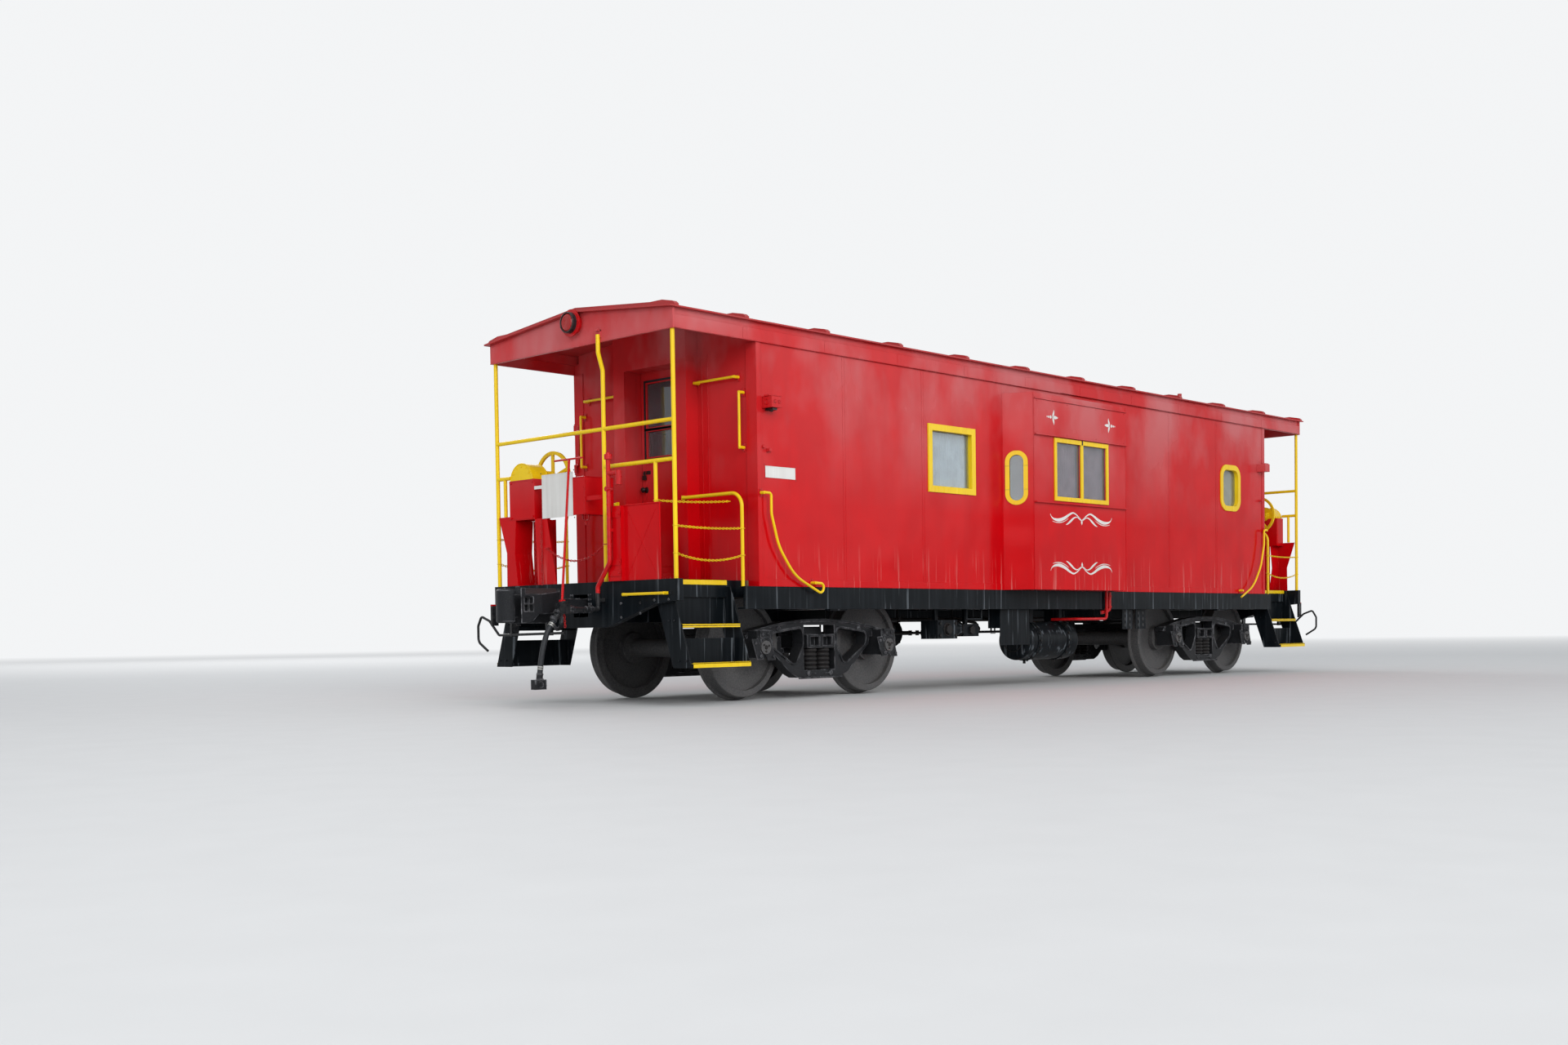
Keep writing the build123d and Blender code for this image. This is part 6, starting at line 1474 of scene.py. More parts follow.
# Bays: joints in the oval frames, beads and rivets, a latch, and plain white scrollwork
baySetup = {
    "oval": {"x": 0.9768, "y": -1.3682, "z": 2.164, "normal": (0.280, -0.155)},
    "joint": {"rise": 0.123, "half": 0.0012, "span": (0.070, 0.119), "depth": (0.010, 0.0144)},
    "nub": ((-0.020, 0.281, 0), (0.020, 0.292, 0.018)),
    "bead": {"x": 0.890, "y": -1.5245, "z": (1.003, 3.040), "radius": 0.0045},
    "latch": ((-0.008, -1.5450, 2.556), (0.008, -1.5390, 2.600)),
    "rivets": {"x": (-0.84, -0.28, 0.28, 0.84), "y": -1.535, "z": (2.640, 2.962), "radius": 0.006},
    "paint": 0.0006, "scrollFace": -1.5252, "scrolls": ({"z": 1.772, "flip": 1}, {"z": 1.225, "flip": -1}),
    "thinnest": 0.003,
    "strokes": (
        (
            (0.598, 0.026, 0.004), (0.575, -0.006, 0.010), (0.520, -0.029, 0.022), (0.430, -0.034, 0.034),
            (0.330, -0.010, 0.033), (0.240, 0.030, 0.024), (0.165, 0.051, 0.016), (0.095, 0.030, 0.013),
            (0.040, -0.004, 0.012), (0.004, -0.022, 0.008),
        ),
        (
            (0.305, -0.080, 0.004), (0.265, -0.066, 0.017), (0.210, -0.036, 0.024), (0.150, -0.002, 0.016),
            (0.095, 0.008, 0.010), (0.050, -0.010, 0.007), (0.010, -0.030, 0.005),
        ),
        (
            (0.560, -0.050, 0.003), (0.480, -0.062, 0.008), (0.390, -0.058, 0.009), (0.310, -0.036, 0.006),
            (0.260, -0.012, 0.003),
        ),
    ),
    "bud": ((0.0, -0.075), (0.017, -0.045), (0.0, -0.016), (-0.017, -0.045)),
    "board": {"y": -1.5352, "z": 2.810, "x": 0.560},
    "leaves": ((-0.80, 0.085, 0.017), (0.0, 0.110, 0.020), (0.80, 0.085, 0.017)),
    "leaf": {"points": 11, "curl": 0.5, "stem": 0.002, "power": 0.9, "taper": 0.4},
    "beads": ((-0.030, 0.017), (-0.068, 0.012), (-0.096, 0.008)), "beadCorner": 0.98,
}


def addStroke(shape, turn, points, widths):
    # A brushed line: a flat ribbon whose width swells and thins
    left, right = [], []
    for index, point in enumerate(points):
        after = points[min(index + 1, len(points) - 1)]
        before = points[max(index - 1, 0)]
        run = Vector((after[0] - before[0], after[1] - before[1])).normalized()
        half = widths[index] / 2
        left.append((point[0] - run.y * half, point[1] + run.x * half))
        right.append((point[0] + run.y * half, point[1] - run.x * half))
    thickness = baySetup["paint"]
    addBand(shape, turn, ((left, thickness), (right, thickness), (right, 0), (left, 0)), closed=False)


def smoothLine(points, steps=5):
    # More points on a smooth line through the given ones
    line = []
    last = len(points) - 1
    for index in range(last):
        around = [points[min(max(index + shift, 0), last)] for shift in (-1, 0, 1, 2)]
        for step in range(steps):
            part = step / steps
            values = []
            for before, start, end, after in zip(*around):
                slope = end - before
                curve = 2 * before - 5 * start + 4 * end - after
                twist = 3 * start - before - 3 * end + after
                values.append(start + 0.5 * (slope * part + curve * part**2 + twist * part**3))
            line.append(tuple(values))
    line.append(tuple(points[-1]))
    return line


def addScroll(shape, turn, place):
    # Mirrored pairs of swelling strokes that meet at a bud; each point is across, up and width
    setup = baySetup
    flip = place["flip"]
    for hand in (-1, 1):
        for stroke in setup["strokes"]:
            line = smoothLine(stroke)
            points = [(hand * across, place["z"] + flip * rise) for across, rise, width in line]
            addStroke(shape, turn, points, [max(width, setup["thinnest"]) for across, rise, width in line])
    bud = [(across, place["z"] + flip * rise) for across, rise in setup["bud"]]
    addPlate(shape, bud[::flip], turn, setup["paint"])


def addOrnament(shape, turn, centre, hand):
    # A spray of three leaves on a row of beads
    setup = baySetup
    leaf = setup["leaf"]
    for lean, reach, broad in setup["leaves"]:
        points, widths = [], []
        for part in evenly(0, 1, leaf["points"]):
            bend = lean * (1.0 + leaf["curl"] * part)
            across, rise = reach * part * math.cos(bend), reach * part * math.sin(bend)
            points.append((centre[0] + hand * across, centre[1] + rise))
            swell = abs(math.sin(math.pi * part)) ** leaf["power"] * (1 - leaf["taper"] * part)
            widths.append(leaf["stem"] + 2 * broad * swell)
        addStroke(shape, turn, points, widths)
    for offset, size in setup["beads"]:
        middle = (centre[0] + hand * offset, centre[1])
        bead = roundedOutline(size, size, size * setup["beadCorner"], 4, middle)
        addPlate(shape, bead, turn, setup["paint"])


def buildBayTrim():
    setup = baySetup
    dark, red, white = bmesh.new(), bmesh.new(), bmesh.new()
    oval, joint, bead, board, rivets = (setup[key] for key in ("oval", "joint", "bead", "board", "rivets"))
    outward = (0, -1, 0)
    for side in (-1, 1):
        normal = Vector((side * oval["normal"][0], oval["normal"][1], 0)).normalized()
        turn = wallTurn(raised(side * oval["x"], oval["y"], oval["z"]), normal)
        back, front = joint["depth"]
        for rise in (-joint["rise"], joint["rise"]):
            for hand in (-1, 1):
                inner, outer = (hand * across for across in joint["span"])
                corner = (outer, rise + joint["half"], front)
                addBlock(dark, (inner, rise - joint["half"], back), corner, turn)
        addBlock(red, *setup["nub"], turn)
        addRod(red, *(raised(side * bead["x"], bead["y"], z) for z in bead["z"]), bead["radius"], 6)
    turn = wallTurn((0, setup["scrollFace"], railTop), outward)
    for place in setup["scrolls"]:
        addScroll(white, turn, place)
    turn = wallTurn((0, board["y"], railTop), outward)
    for hand in (-1, 1):
        addOrnament(white, turn, (hand * board["x"], board["z"]), -hand)
    addBlock(dark, *(raised(*corner) for corner in setup["latch"]))
    for x in rivets["x"]:
        for z in rivets["z"]:
            addRivet(red, raised(x, rivets["y"], z), outward, rivets["radius"])
    closeMesh(dark, "bayJoints", "blackRubber", smooth=False, bothEnds=True)
    closeMesh(red, "bayBeads", "redPaint", bothEnds=True)
    closeMesh(white, "bayScrolls", "whitePlate", smooth=False, bothEnds=True)


buildBayTrim()
print("bays made")

# Trucks: bolts on the box covers, frame cores, spring seats and pads; cap screws turn with the axles
truckSetup = {
    "centre": 3.629, "halfBase": 0.8635, "axle": 0.485, "face": 1.092,
    "covers": (
        {"at": (-0.130, 0.040), "proud": 0.008},
        {"at": (-0.063, -0.078), "proud": 0.008},
        {"at": (0.094, -0.084), "proud": 0.014},
        {"at": (-0.056, 0.118), "proud": 0.024},
        {"at": (0.020, 0.120), "proud": 0.024},
    ),
    "coverBolt": (0.015, 0.012), "boxRing": {"lift": 0.001, "size": (0.072, 0.006, 28, 6)},
    "capFace": 1.112, "capHub": (0.006, 0.020, 0.017), "capScrews": (3, 0.036, 0.4),
    "capScrew": (0.0095, 0.008), "pads": ((-0.560, 0.620), (0.560, 0.620), (-0.150, 0.205), (0.150, 0.205)),
    "sideFace": 0.970, "padSteps": ((0, 0.010, 0.030, 20, 0.026), (0.010, 0.014, 0.014, 12, 0.012)),
    "springs": {"x": (-0.088, 0.088), "y": -0.905, "z": (0.201, 0.246)}, "seat": (0.070, 0.007, 24, 6),
    "plate": {"y": -0.992, "z": 0.5035, "outer": (0.070, 0.0495), "inner": (0.063, 0.0425), "depth": 0.006},
    "rail": {"x": 0.300, "y": -0.984, "z": 0.161, "radius": 0.009},
}


def addTruckSide(trim, caps, placed, outward):
    setup = truckSetup
    boxRing, springs, plate, rail = (setup[key] for key in ("boxRing", "springs", "plate", "rail"))
    for axle in (-1, 1):
        middle = Vector((axle * setup["halfBase"], -setup["face"], setup["axle"]))
        for cover in setup["covers"]:
            x, z = cover["at"]
            spot = placed @ (middle + Vector((x, -cover["proud"], z)))
            addBolt(trim, spot, outward, *setup["coverBolt"])
        ring(trim, placed @ (middle - Vector((0, boxRing["lift"], 0))), outward, *boxRing["size"])
        hub = placed @ Vector((axle * setup["halfBase"], -setup["capFace"], setup["axle"]))
        depth, radius, tip = setup["capHub"]
        addRod(caps[axle], hub, hub + outward * depth, radius, 16, tip)
        for x, z in aroundCircle(*setup["capScrews"]):
            addBolt(caps[axle], hub + Vector((x, 0, z)), outward, *setup["capScrew"])
    for x, z in setup["pads"]:
        spot = placed @ raised(x, -setup["sideFace"], z)
        for start, end, radius, sides, tip in setup["padSteps"]:
            addRod(trim, spot + outward * start, spot + outward * end, radius, sides, tip)
    for x in springs["x"]:
        for z in springs["z"]:
            ring(trim, placed @ raised(x, springs["y"], z), (0, 0, 1), *setup["seat"])
        turn = placed @ wallTurn(raised(x, plate["y"], plate["z"]), (0, -1, 0))
        outer, inner = (
            boxOutline(-across, across, -rise, rise) for across, rise in (plate["outer"], plate["inner"])
        )
        addFrame(trim, turn, outer, inner, plate["depth"])
    railEnds = (placed @ raised(x, rail["y"], rail["z"]) for x in (-rail["x"], rail["x"]))
    addRod(trim, *railEnds, rail["radius"], 8)


def buildTruckTrim(end, sign):
    centre = Matrix.Translation((sign * truckSetup["centre"], 0, 0))
    trim = bmesh.new()
    caps = {axle: bmesh.new() for axle in (-1, 1)}
    for flip, turn in ((1, Matrix.Identity(4)), (-1, halfTurn)):
        sideCaps = {axle: caps[axle * flip] for axle in caps}
        addTruckSide(trim, sideCaps, centre @ turn, turn.to_3x3() @ Vector((0, -1, 0)))
    closeMesh(trim, end + "TruckTrim", "castSteel", end + "_truck")
    for axle, shape in caps.items():
        place = "outer" if axle == sign else "inner"
        closeMesh(shape, f"{end}{place.title()}CapScrews", "springSteel", f"{end}_{place}_wheelset")


buildTruckTrim("near", -1)
buildTruckTrim("far", 1)
print("trucks trimmed")

# Couplers and angle cock: pins, bolts, unions, the cock's handle and its loop of chain
couplerSetup = {
    "headParts": (
        ("rod", ((-6.310, 0.120, 0.938), (-6.310, 0.120, 0.960)), 0.026, 20, 0.023),
        ("rod", ((-6.310, 0.120, 0.960), (-6.310, 0.120, 0.967)), 0.023, 20, 0.012),
        ("ring", ((-6.310, 0.120, 0.948),), (0, 0, 1), 0.040, 0.007, 28, 8),
        ("rod", ((-6.450, -0.203, 0.792), (-6.450, -0.203, 0.934)), 0.004, 6),
        ("rod", ((-6.436, -0.203, 0.792), (-6.436, -0.203, 0.934)), 0.004, 6),
    ),
    "sillFace": -5.710,
    "sillBolts": ((1.16, 0.88), (0.98, 0.88), (0.80, 0.86), (0.80, 0.77), (0.55, 0.86), (0.55, 0.74)),
    "sillBolt": (0.013, 0.010), "rivets": ((0.110, 0.140), (0.865, 0.905, 0.945)), "rivetRadius": 0.011,
    "pipeParts": (
        ("rod", ((-5.845, -0.318, 0.815), (-5.885, -0.321, 0.815)), 0.034, 6),
        ("rod", ((-5.900, -0.322, 0.815), (-5.925, -0.323, 0.815)), 0.028, 16),
        ("rod", ((-6.080, -0.330, 0.815), (-6.120, -0.332, 0.815)), 0.034, 6),
        ("rod", ((-6.060, -0.329, 0.815), (-6.080, -0.330, 0.815)), 0.028, 16),
        ("ring", ((-6.190, -0.335, 0.868),), (0, 0, 1), 0.022, 0.006, 20, 8),
        ("rod", ((-6.245, -0.339, 0.795), (-6.258, -0.339, 0.780)), 0.033, 6),
        ("block", ((-6.200, -0.393, 0.872), (-6.180, -0.277, 0.880))),
        ("rod", ((-6.282, -0.335, 0.742), (-6.291, -0.335, 0.732)), 0.031, 20),
        ("rod", ((-6.282, -0.335, 0.728), (-6.291, -0.335, 0.718)), 0.031, 20),
    ),
    "link": (0.026, 0.011, 0.0042),
    "loop": ((-6.180, -0.318, 0.770), (-6.205, -0.312, 0.560), (-6.285, -0.322, 0.700)),
    "loopLinks": 13, "loopRoll": 0.5,
}


def addLongLink(shape, middle, run, roll):
    # A stretched ring, turned about its own length
    turn = aimed(middle, run) @ Matrix.Rotation(roll, 4, "Z")
    halfLength, half, wire = couplerSetup["link"]
    points = []
    for end in (1, -1):
        for angle in evenly(0, math.pi, 5):
            along = end * (halfLength - half + half * math.sin(angle))
            points.append(turn @ Vector((end * half * math.cos(angle), 0, along)))
    addTube(shape, points, wire, 6, closed=True)


def buildCouplerTrim():
    setup = couplerSetup
    iron = bmesh.new()
    addParts(iron, setup["headParts"])
    for y, z in setup["sillBolts"]:
        for side in (-1, 1):
            addBolt(iron, raised(setup["sillFace"], side * y, z), (-1, 0, 0), *setup["sillBolt"])
    rivetSides, rivetHeights = setup["rivets"]
    for y in rivetSides:
        for z in rivetHeights:
            for side in (-1, 1):
                addRivet(iron, raised(setup["sillFace"], side * y, z), (-1, 0, 0), setup["rivetRadius"])
    addParts(iron, setup["pipeParts"])
    first, middle, last = (raised(*spot) for spot in setup["loop"])
    points = []
    for part in evenly(0, 1, setup["loopLinks"] + 1):
        points.append(first * (1 - part) ** 2 + middle * 2 * part * (1 - part) + last * part**2)
    for index, (start, end) in enumerate(zip(points, points[1:])):
        addLongLink(iron, (start + end) / 2, end - start, math.pi / 2 * (index % 2) + setup["loopRoll"])
    closeMesh(iron, "couplerTrim", "castSteel", bothEnds=True)


buildCouplerTrim()
print("couplers trimmed")

# Under the floor: strap bolts, plate holes drawn as rims round thin discs of painted shade, pipes and rods
# with their hangers
floorGearSetup = {
    "tank": (-0.820, 0.460, 0.223), "straps": (-0.090, 0.480), "tankEnds": ((-0.300, -1), (0.700, 1)),
    "strapBolts": range(100, 280, 20), "below": 0.16, "strapBolt": (0.014, 0.010),
    "drain": (0.246, 0.205, 0.016), "tankRing": (0.120, 0.006, 36, 6), "tankPlug": (0.001, 0.022, 0.028),
    "plates": (1.400, 1.690), "plateFace": -1.158,
    "hole": (0.0008, 0.019), "holeRim": (0.0205, 0.0026, 18, 6),
    "holes": ((0.060, 0.618), (0.160, 0.618), (0.060, 0.688), (0.160, 0.688), (0.060, 0.758), (0.160, 0.758)),
    "redPipe": (
        (0.950, -1.266, 0.990), (0.950, -1.266, 0.815), (0.943, -1.264, 0.792), (0.926, -1.258, 0.779),
        (0.850, -1.215, 0.760),
    ),
    "redPipeRadius": 0.021,
    "redParts": (
        ("rod", ((0.950, -1.266, 0.955), (0.950, -1.266, 0.933)), 0.029, 6),
        ("rod", ((0.880, -1.272, 0.925), (0.880, -1.272, 0.909)), 0.022, 6),
        ("rod", ((0.950, -1.266, 0.835), (0.950, -1.266, 0.813)), 0.029, 6),
        ("rod", ((0.880, -1.272, 0.805), (0.880, -1.272, 0.789)), 0.022, 6),
    ),
    "trainPipe": (("rod", ((-2.080, -0.470, 0.700), (2.080, -0.470, 0.700)), 0.021, 12),),
    "clamps": (-1.860, 1.860, 5), "clamp": ((-0.014, -0.498, 0.674), (0.014, -0.442, 0.726)),
    "clampHanger": ((-0.006, -0.482, 0.700), (0.006, -0.458, 0.965)),
    "rods": (
        ((-0.060, 0.820, 0.560), (0.120, 0.780, 0.560)),
        ((0.120, 0.860, 0.560), (0.120, 0.300, 0.560)),
        ((0.120, 0.520, 0.560), (2.050, 0.420, 0.560)),
        ((0.120, 0.330, 0.560), (-2.050, 0.420, 0.560)),
    ),
    "rodRadius": 0.015, "pin": (0.030, 0.022),
    "rodHangers": ((-2.050, 0.420), (2.050, 0.420), (-0.95, 0.372), (1.1, 0.470)),
    "hanger": (
        ((-0.012, -0.030, 0.545), (0.012, -0.024, 0.965)),
        ((-0.012, 0.024, 0.545), (0.012, 0.030, 0.965)),
        ((-0.012, -0.030, 0.535), (0.012, 0.030, 0.543)),
    ),
    "cylinder": (0.820, 0.560), "cylinderEnds": ((-0.900, -1), (-0.400, 1)),
    "cylinderRim": (0.150, 0.010, 40, 8), "cylinderBolt": (0.012, 0.016),
    "valveFace": -1.080, "valveBolts": ((-1.925, -1.675), (0.535, 0.655)), "valveBolt": (0.016, 0.013),
    "valveParts": (
        ("ring", ((-1.800, -1.080, 0.595),), (0, -1, 0), 0.062, 0.009, 32, 8),
        ("rod", ((-1.800, -1.080, 0.595), (-1.800, -1.110, 0.595)), 0.052, 20, 0.044),
        ("ring", ((-1.640, -0.970, 0.600),), (1, 0, 0), 0.070, 0.009, 32, 8),
        ("ring", ((-1.484, -0.970, 0.600),), (1, 0, 0), 0.070, 0.009, 32, 8),
        ("rod", ((-1.350, -1.040, 0.585), (-1.350, -1.064, 0.585)), 0.045, 6),
    ),
    "branch": (
        (-1.22, -0.97, 0.585), (-1.12, -0.97, 0.585), (-1.09, -0.95, 0.60), (-1.08, -0.90, 0.66),
        (-1.08, -0.60, 0.70), (-1.08, -0.485, 0.70),
    ),
    "branchRadius": 0.014,
}


def addTankTrim(iron):
    setup = floorGearSetup
    y, z, radius = setup["tank"]
    drainTop, drainBottom, drainRadius = setup["drain"]
    lift, reach, plugRadius = setup["tankPlug"]
    for x in setup["straps"]:
        for angle in map(math.radians, setup["strapBolts"]):
            across, rise = math.cos(angle), math.sin(angle)
            if radius * rise < setup["below"]:
                spot = raised(x, y + radius * across, z + radius * rise)
                addBolt(iron, spot, (0, across, rise), *setup["strapBolt"])
        addRod(iron, raised(x, y, drainTop), raised(x, y, drainBottom), drainRadius, 12)
    for x, outward in setup["tankEnds"]:
        middle = raised(x + outward * lift, y, z)
        ring(iron, middle, (outward, 0, 0), *setup["tankRing"])
        addRod(iron, middle, raised(x + outward * reach, y, z), plugRadius, 6)


def addPlateHolesAndShade(iron, dark):
    setup = floorGearSetup
    depth, radius = setup["hole"]
    for start in setup["plates"]:
        for x, z in setup["holes"]:
            spot = raised(start + x, setup["plateFace"], z)
            # A thin black disc on the plate's face paints the shade inside each hole
            addRod(dark, spot, spot - Vector((0, depth, 0)), radius, 16)
            ring(iron, spot, (0, -1, 0), *setup["holeRim"])


def addPipesAndRods(iron):
    setup = floorGearSetup
    addParts(iron, setup["trainPipe"])
    for x in evenly(*setup["clamps"]):
        for corners in (setup["clamp"], setup["clampHanger"]):
            addBlock(iron, *(raised(x, 0, 0) + Vector(corner) for corner in corners))
    half, radius = setup["pin"]
    for ends in setup["rods"]:
        addRod(iron, *(raised(*spot) for spot in ends), setup["rodRadius"], 8)
        for x, y, z in ends:
            addRod(iron, raised(x, y, z - half), raised(x, y, z + half), radius, 12)
    for x, y in setup["rodHangers"]:
        for corners in setup["hanger"]:
            addBlock(iron, *(raised(x, y, 0) + Vector(corner) for corner in corners))


def addCylinderTrim(iron):
    setup = floorGearSetup
    y, z = setup["cylinder"]
    for x, outward in setup["cylinderEnds"]:
        ring(iron, raised(x, y, z), (1, 0, 0), *setup["cylinderRim"])
        for across, rise in aroundCircle(8, setup["cylinderRim"][0]):
            addBolt(iron, raised(x, y + across, z + rise), (outward, 0, 0), *setup["cylinderBolt"])


def buildFloorGear():
    setup = floorGearSetup
    iron, dark, red = bmesh.new(), bmesh.new(), bmesh.new()
    addTankTrim(iron)
    addPlateHolesAndShade(iron, dark)
    addTube(red, [raised(*spot) for spot in setup["redPipe"]], setup["redPipeRadius"], 10)
    addParts(red, setup["redParts"])
    addPipesAndRods(iron)
    addCylinderTrim(iron)
    valveX, valveZ = setup["valveBolts"]
    for x in valveX:
        for z in valveZ:
            addBolt(iron, raised(x, setup["valveFace"], z), (0, -1, 0), *setup["valveBolt"])
    addParts(iron, setup["valveParts"])
    addTube(iron, [raised(*spot) for spot in setup["branch"]], setup["branchRadius"], 8)
    closeMesh(iron, "floorGear", "springSteel")
    closeMesh(dark, "plateHoleShadeDiscs", "blackRubber", smooth=False)
    closeMesh(red, "redPipes", "redIron")


buildFloorGear()
print("floor gear made")

# Steps: rivets on the stringers and grips pressed in the treads
stepSetup = {
    "stringers": ((-5.646, -1), (-4.924, 1)),
    "rivets": ((1.290, 0.360), (1.200, 0.360), (1.150, 0.700), (1.080, 0.700)), "rivet": 0.010,
    "treads": ({"height": 0.335, "y": 1.337}, {"height": 0.672, "y": 1.223}), "grips": (-5.580, -4.990, 9),
    "grip": {"half": 0.012, "back": 0.150, "front": 0.020, "sunk": 0.001, "rise": 0.002},
}


def buildStepTrim():
    setup = stepSetup
    grip = setup["grip"]
    shape = bmesh.new()
    for side in (-1, 1):
        for x, outward in setup["stringers"]:
            for y, z in setup["rivets"]:
                addRivet(shape, raised(x, side * y, z), (outward, 0, 0), setup["rivet"])
        for tread in setup["treads"]:
            back, front = (side * (tread["y"] - grip[key]) for key in ("back", "front"))
            bottom, top = tread["height"] - grip["sunk"], tread["height"] + grip["rise"]
            for x in evenly(*setup["grips"]):
                addBlock(shape, raised(x - grip["half"], back, bottom), raised(x + grip["half"], front, top))
    closeMesh(shape, "stepTrim", "blackPaint", smooth=False, bothEnds=True)


buildStepTrim()
print("steps trimmed")

# Roof: bolts on the walk boards, vent rim, flue collar and seam rivets; a rise is above the sheet
roofSetup = {
    "ridge": 3.440, "fall": 0.128, "halfWidth": 1.290, "walks": ((-2.220, -0.750), (2.510, 3.720)),
    "stringers": (-0.330, -0.210, 0.210, 0.330),
    "walkBolts": {"inset": 0.05, "count": 4, "pair": 0.028, "rise": 0.070}, "walkBolt": (0.007, 0.005),
    "ventAt": (1.750, -0.150, 0.058), "vent": (0.190, 0.008, 48, 8),
    "ventRivets": {"circle": (12, 0.170), "rise": 0.062, "radius": 0.007}, "flueAt": (4.500, -0.150, 0.020),
    "flue": (0.034, 0.008, 24, 8), "endRibs": (-5.690, 5.690), "ribs": (-4.858, 4.6505, 10),
    "ribRivets": {"y": (0.30, 0.55, 0.80, 1.05), "pair": 0.036, "sunk": 0.001, "lean": 0.1, "radius": 0.0065},
}


def onRoof(x, y, rise):
    return raised(x, y, roofSetup["ridge"] - roofSetup["fall"] * abs(y) / roofSetup["halfWidth"] + rise)


def buildRoofTrim():
    setup = roofSetup
    walkBolts, ventRivets, ribRivets = setup["walkBolts"], setup["ventRivets"], setup["ribRivets"]
    shape = bmesh.new()
    for left, right in setup["walks"]:
        for y in setup["stringers"]:
            for x in evenly(left + walkBolts["inset"], right - walkBolts["inset"], walkBolts["count"]):
                for reach in (-walkBolts["pair"], walkBolts["pair"]):
                    addBolt(shape, onRoof(x + reach, y, walkBolts["rise"]), (0, 0, 1), *setup["walkBolt"])
    ring(shape, onRoof(*setup["ventAt"]), (0, 0, 1), *setup["vent"])
    ventX, ventY = setup["ventAt"][:2]
    ventTop = onRoof(ventX, ventY, ventRivets["rise"])
    for along, across in aroundCircle(*ventRivets["circle"]):
        addRivet(shape, ventTop + Vector((along, across, 0)), (0, 0, 1), ventRivets["radius"])
    ring(shape, onRoof(*setup["flueAt"]), (0, 0, 1), *setup["flue"])
    for x in [*setup["endRibs"], *evenly(*setup["ribs"])]:
        for side in (-1, 1):
            for y in ribRivets["y"]:
                for reach in (-ribRivets["pair"], ribRivets["pair"]):
                    spot = onRoof(x + reach, side * y, -ribRivets["sunk"])
                    addRivet(shape, spot, (0, side * ribRivets["lean"], 1), ribRivets["radius"])
    closeMesh(shape, "roofTrim", "roofPaint")


buildRoofTrim()
print("roof trimmed")

# Marker boxes: two lenses, side ring and edge beads, the socket below, and two knobs on the wall
markerSetup = {
    "boxParts": (
        ("ring", ((-4.600, -1.365, 2.619),), (0, -1, 0), 0.017, 0.0035, 20, 6),
        ("rod", ((-4.600, -1.365, 2.619), (-4.600, -1.368, 2.619)), 0.012, 16, 0.009),
        ("ring", ((-4.546, -1.365, 2.619),), (0, -1, 0), 0.017, 0.0035, 20, 6),
        ("rod", ((-4.546, -1.365, 2.619), (-4.546, -1.368, 2.619)), 0.012, 16, 0.009),
        ("ring", ((-4.640, -1.305, 2.619),), (-1, 0, 0), 0.022, 0.004, 20, 6),
    ),
    "edges": (2.570, 2.668),
    "edgeParts": (
        ("rod", ((-4.640, -1.365, 0), (-4.520, -1.365, 0)), 0.004, 6),
        ("rod", ((-4.640, -1.365, 0), (-4.640, -1.245, 0)), 0.004, 6),
    ),
    "socketParts": (
        ("block", ((-4.608, -1.345, 2.548), (-4.552, -1.255, 2.570))),
        ("rod", ((-4.580, -1.300, 2.548), (-4.580, -1.300, 2.536)), 0.018, 16, 0.014),
    ),
    "knobParts": (
        ("rod", ((-4.640, -1.245, 2.230), (-4.640, -1.262, 2.230)), 0.012, 12, 0.010),
        ("rod", ((-4.640, -1.262, 2.230), (-4.640, -1.270, 2.230)), 0.017, 12, 0.012),
        ("rod", ((-4.560, -1.245, 2.205), (-4.560, -1.262, 2.205)), 0.012, 12, 0.010),
        ("rod", ((-4.560, -1.262, 2.205), (-4.560, -1.270, 2.205)), 0.017, 12, 0.012),
    ),
}


def buildMarkers():
    setup = markerSetup
    red, dark = bmesh.new(), bmesh.new()
    addParts(red, setup["boxParts"])
    for height in setup["edges"]:
        addParts(red, setup["edgeParts"], lift=height)
    addParts(red, setup["knobParts"])
    addParts(dark, setup["socketParts"])
    closeMesh(red, "markerTrim", "redIron", bothEnds=True)
    closeMesh(dark, "markerSockets", "lampMetal", bothEnds=True)


buildMarkers()
print("markers made")

# Studio: pale floor and soft lamps round the car; the sky and the far floor look pale to the camera
studio = {
    "floorSize": 160, "floorColours": ((0.68, 0.68, 0.68), (0.64, 0.64, 0.64)),
    "floorNoise": (3.0, 2.0), "floorLook": {"rough": 0.8, "specular": 0.2},
    "backColour": (0.90, 0.91, 0.92), "fade": (16.0, 60.0), "skyColour": (0.9, 0.95, 1), "skyPower": 0.55,
    "lamps": (
        {"name": "keyLamp", "spot": (-14, -30, 15), "aim": (0, 0, 1.5), "size": 22, "power": 5500},
        {"name": "endLamp", "spot": (-32, -12, 12), "aim": (-5, 0, 1.8), "size": 16, "power": 2200},
        {"name": "softLamp", "spot": (22, -26, 9), "aim": (1, 0, 1.8), "size": 15, "power": 800},
        {"name": "backLamp", "spot": (10, 32, 18), "aim": (0, 0, 1.5), "size": 20, "power": 3600},
    ),
}


def paleRays(tree):
    rays = place(tree, "LightPath").outputs
    seen = compute(tree, "MAXIMUM", rays["Is Camera Ray"], rays["Is Transmission Ray"])
    return compute(tree, "MAXIMUM", seen, rays["Is Glossy Ray"])


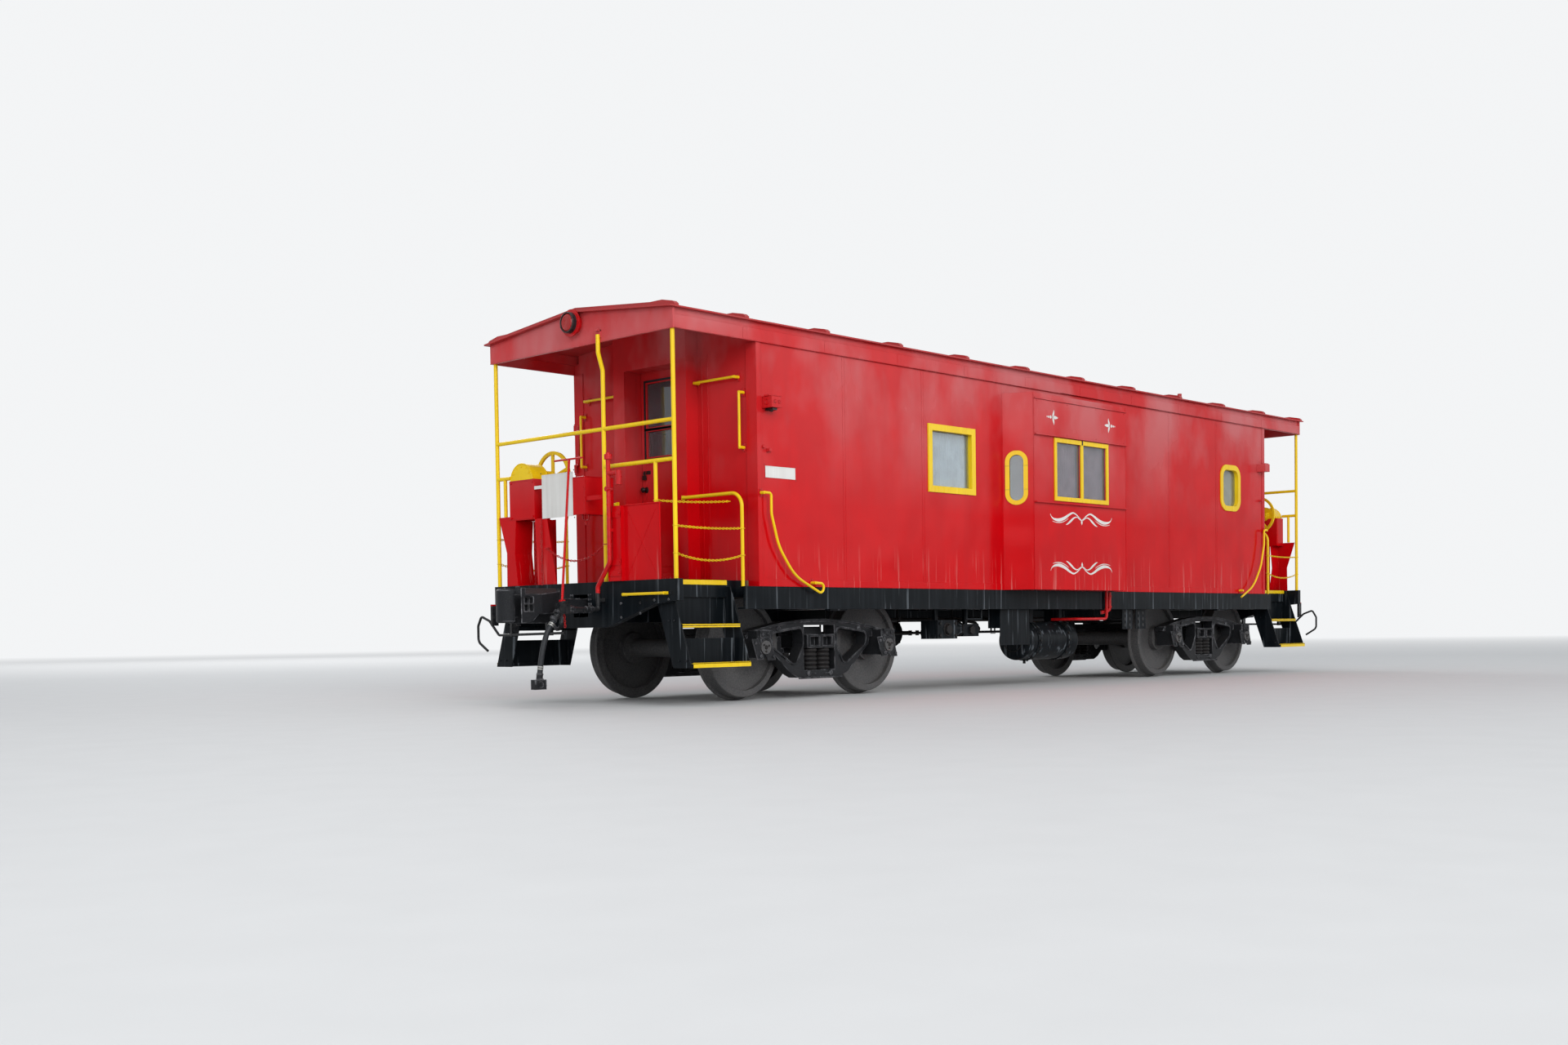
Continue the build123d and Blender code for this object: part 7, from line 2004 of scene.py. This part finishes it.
def buildFloor():
    shape = bmesh.new()
    bmesh.ops.create_grid(shape, x_segments=1, y_segments=1, size=studio["floorSize"] / 2)
    mesh = bpy.data.meshes.new("studioFloor")
    shape.to_mesh(mesh)
    shape.free()
    floor = bpy.data.objects.new("studioFloor", mesh)
    bpy.context.scene.collection.objects.link(floor)
    tree, shader = startMaterial("studioFloorPaint")
    noise = addNoise(tree, objectSpace(tree), *studio["floorNoise"])
    colour = mixColour(tree, noise, *studio["floorColours"])
    setShader(tree, shader, colour=colour, **studio["floorLook"])
    vector = place(tree, "TexCoord").outputs["Object"]
    distance = place(tree, "VectorMath", {0: vector}, operation="LENGTH").outputs["Value"]
    away = spread(tree, distance, *studio["fade"])
    pale = place(tree, "Emission", {"Color": studio["backColour"], "Strength": 1.0}).outputs[0]
    fade = times(tree, away, paleRays(tree))
    mixed = place(tree, "MixShader", {0: fade, 1: shader.outputs[0], 2: pale}).outputs[0]
    tree.links.new(mixed, tree.nodes["Material Output"].inputs[0])
    mesh.materials.append(finishes["studioFloorPaint"])


def buildSky():
    world = bpy.data.worlds.new("studioSky")
    bpy.context.scene.world = world
    world.use_nodes = True
    tree = world.node_tree
    tree.nodes.clear()
    sky = {"Color": studio["skyColour"], "Strength": studio["skyPower"]}
    plain = place(tree, "Background", sky).outputs[0]
    shown = place(tree, "Background", {"Color": studio["backColour"], "Strength": 1.0}).outputs[0]
    mixed = place(tree, "MixShader", {0: paleRays(tree), 1: plain, 2: shown}).outputs[0]
    place(tree, "OutputWorld", {0: mixed})


def buildLights():
    for lamp in studio["lamps"]:
        data = bpy.data.lights.new(lamp["name"], "AREA")
        data.shape = "DISK"
        data.size = lamp["size"]
        data.energy = lamp["power"]
        light = bpy.data.objects.new(lamp["name"], data)
        spot, aim = Vector(lamp["spot"]), Vector(lamp["aim"])
        turn = (aim - spot).to_track_quat("-Z", "Y")
        light.matrix_world = Matrix.Translation(spot) @ turn.to_matrix().to_4x4()
        bpy.context.scene.collection.objects.link(light)


buildFloor()
buildSky()
buildLights()
bpy.context.scene.view_settings.view_transform = "Standard"
print("studio made")
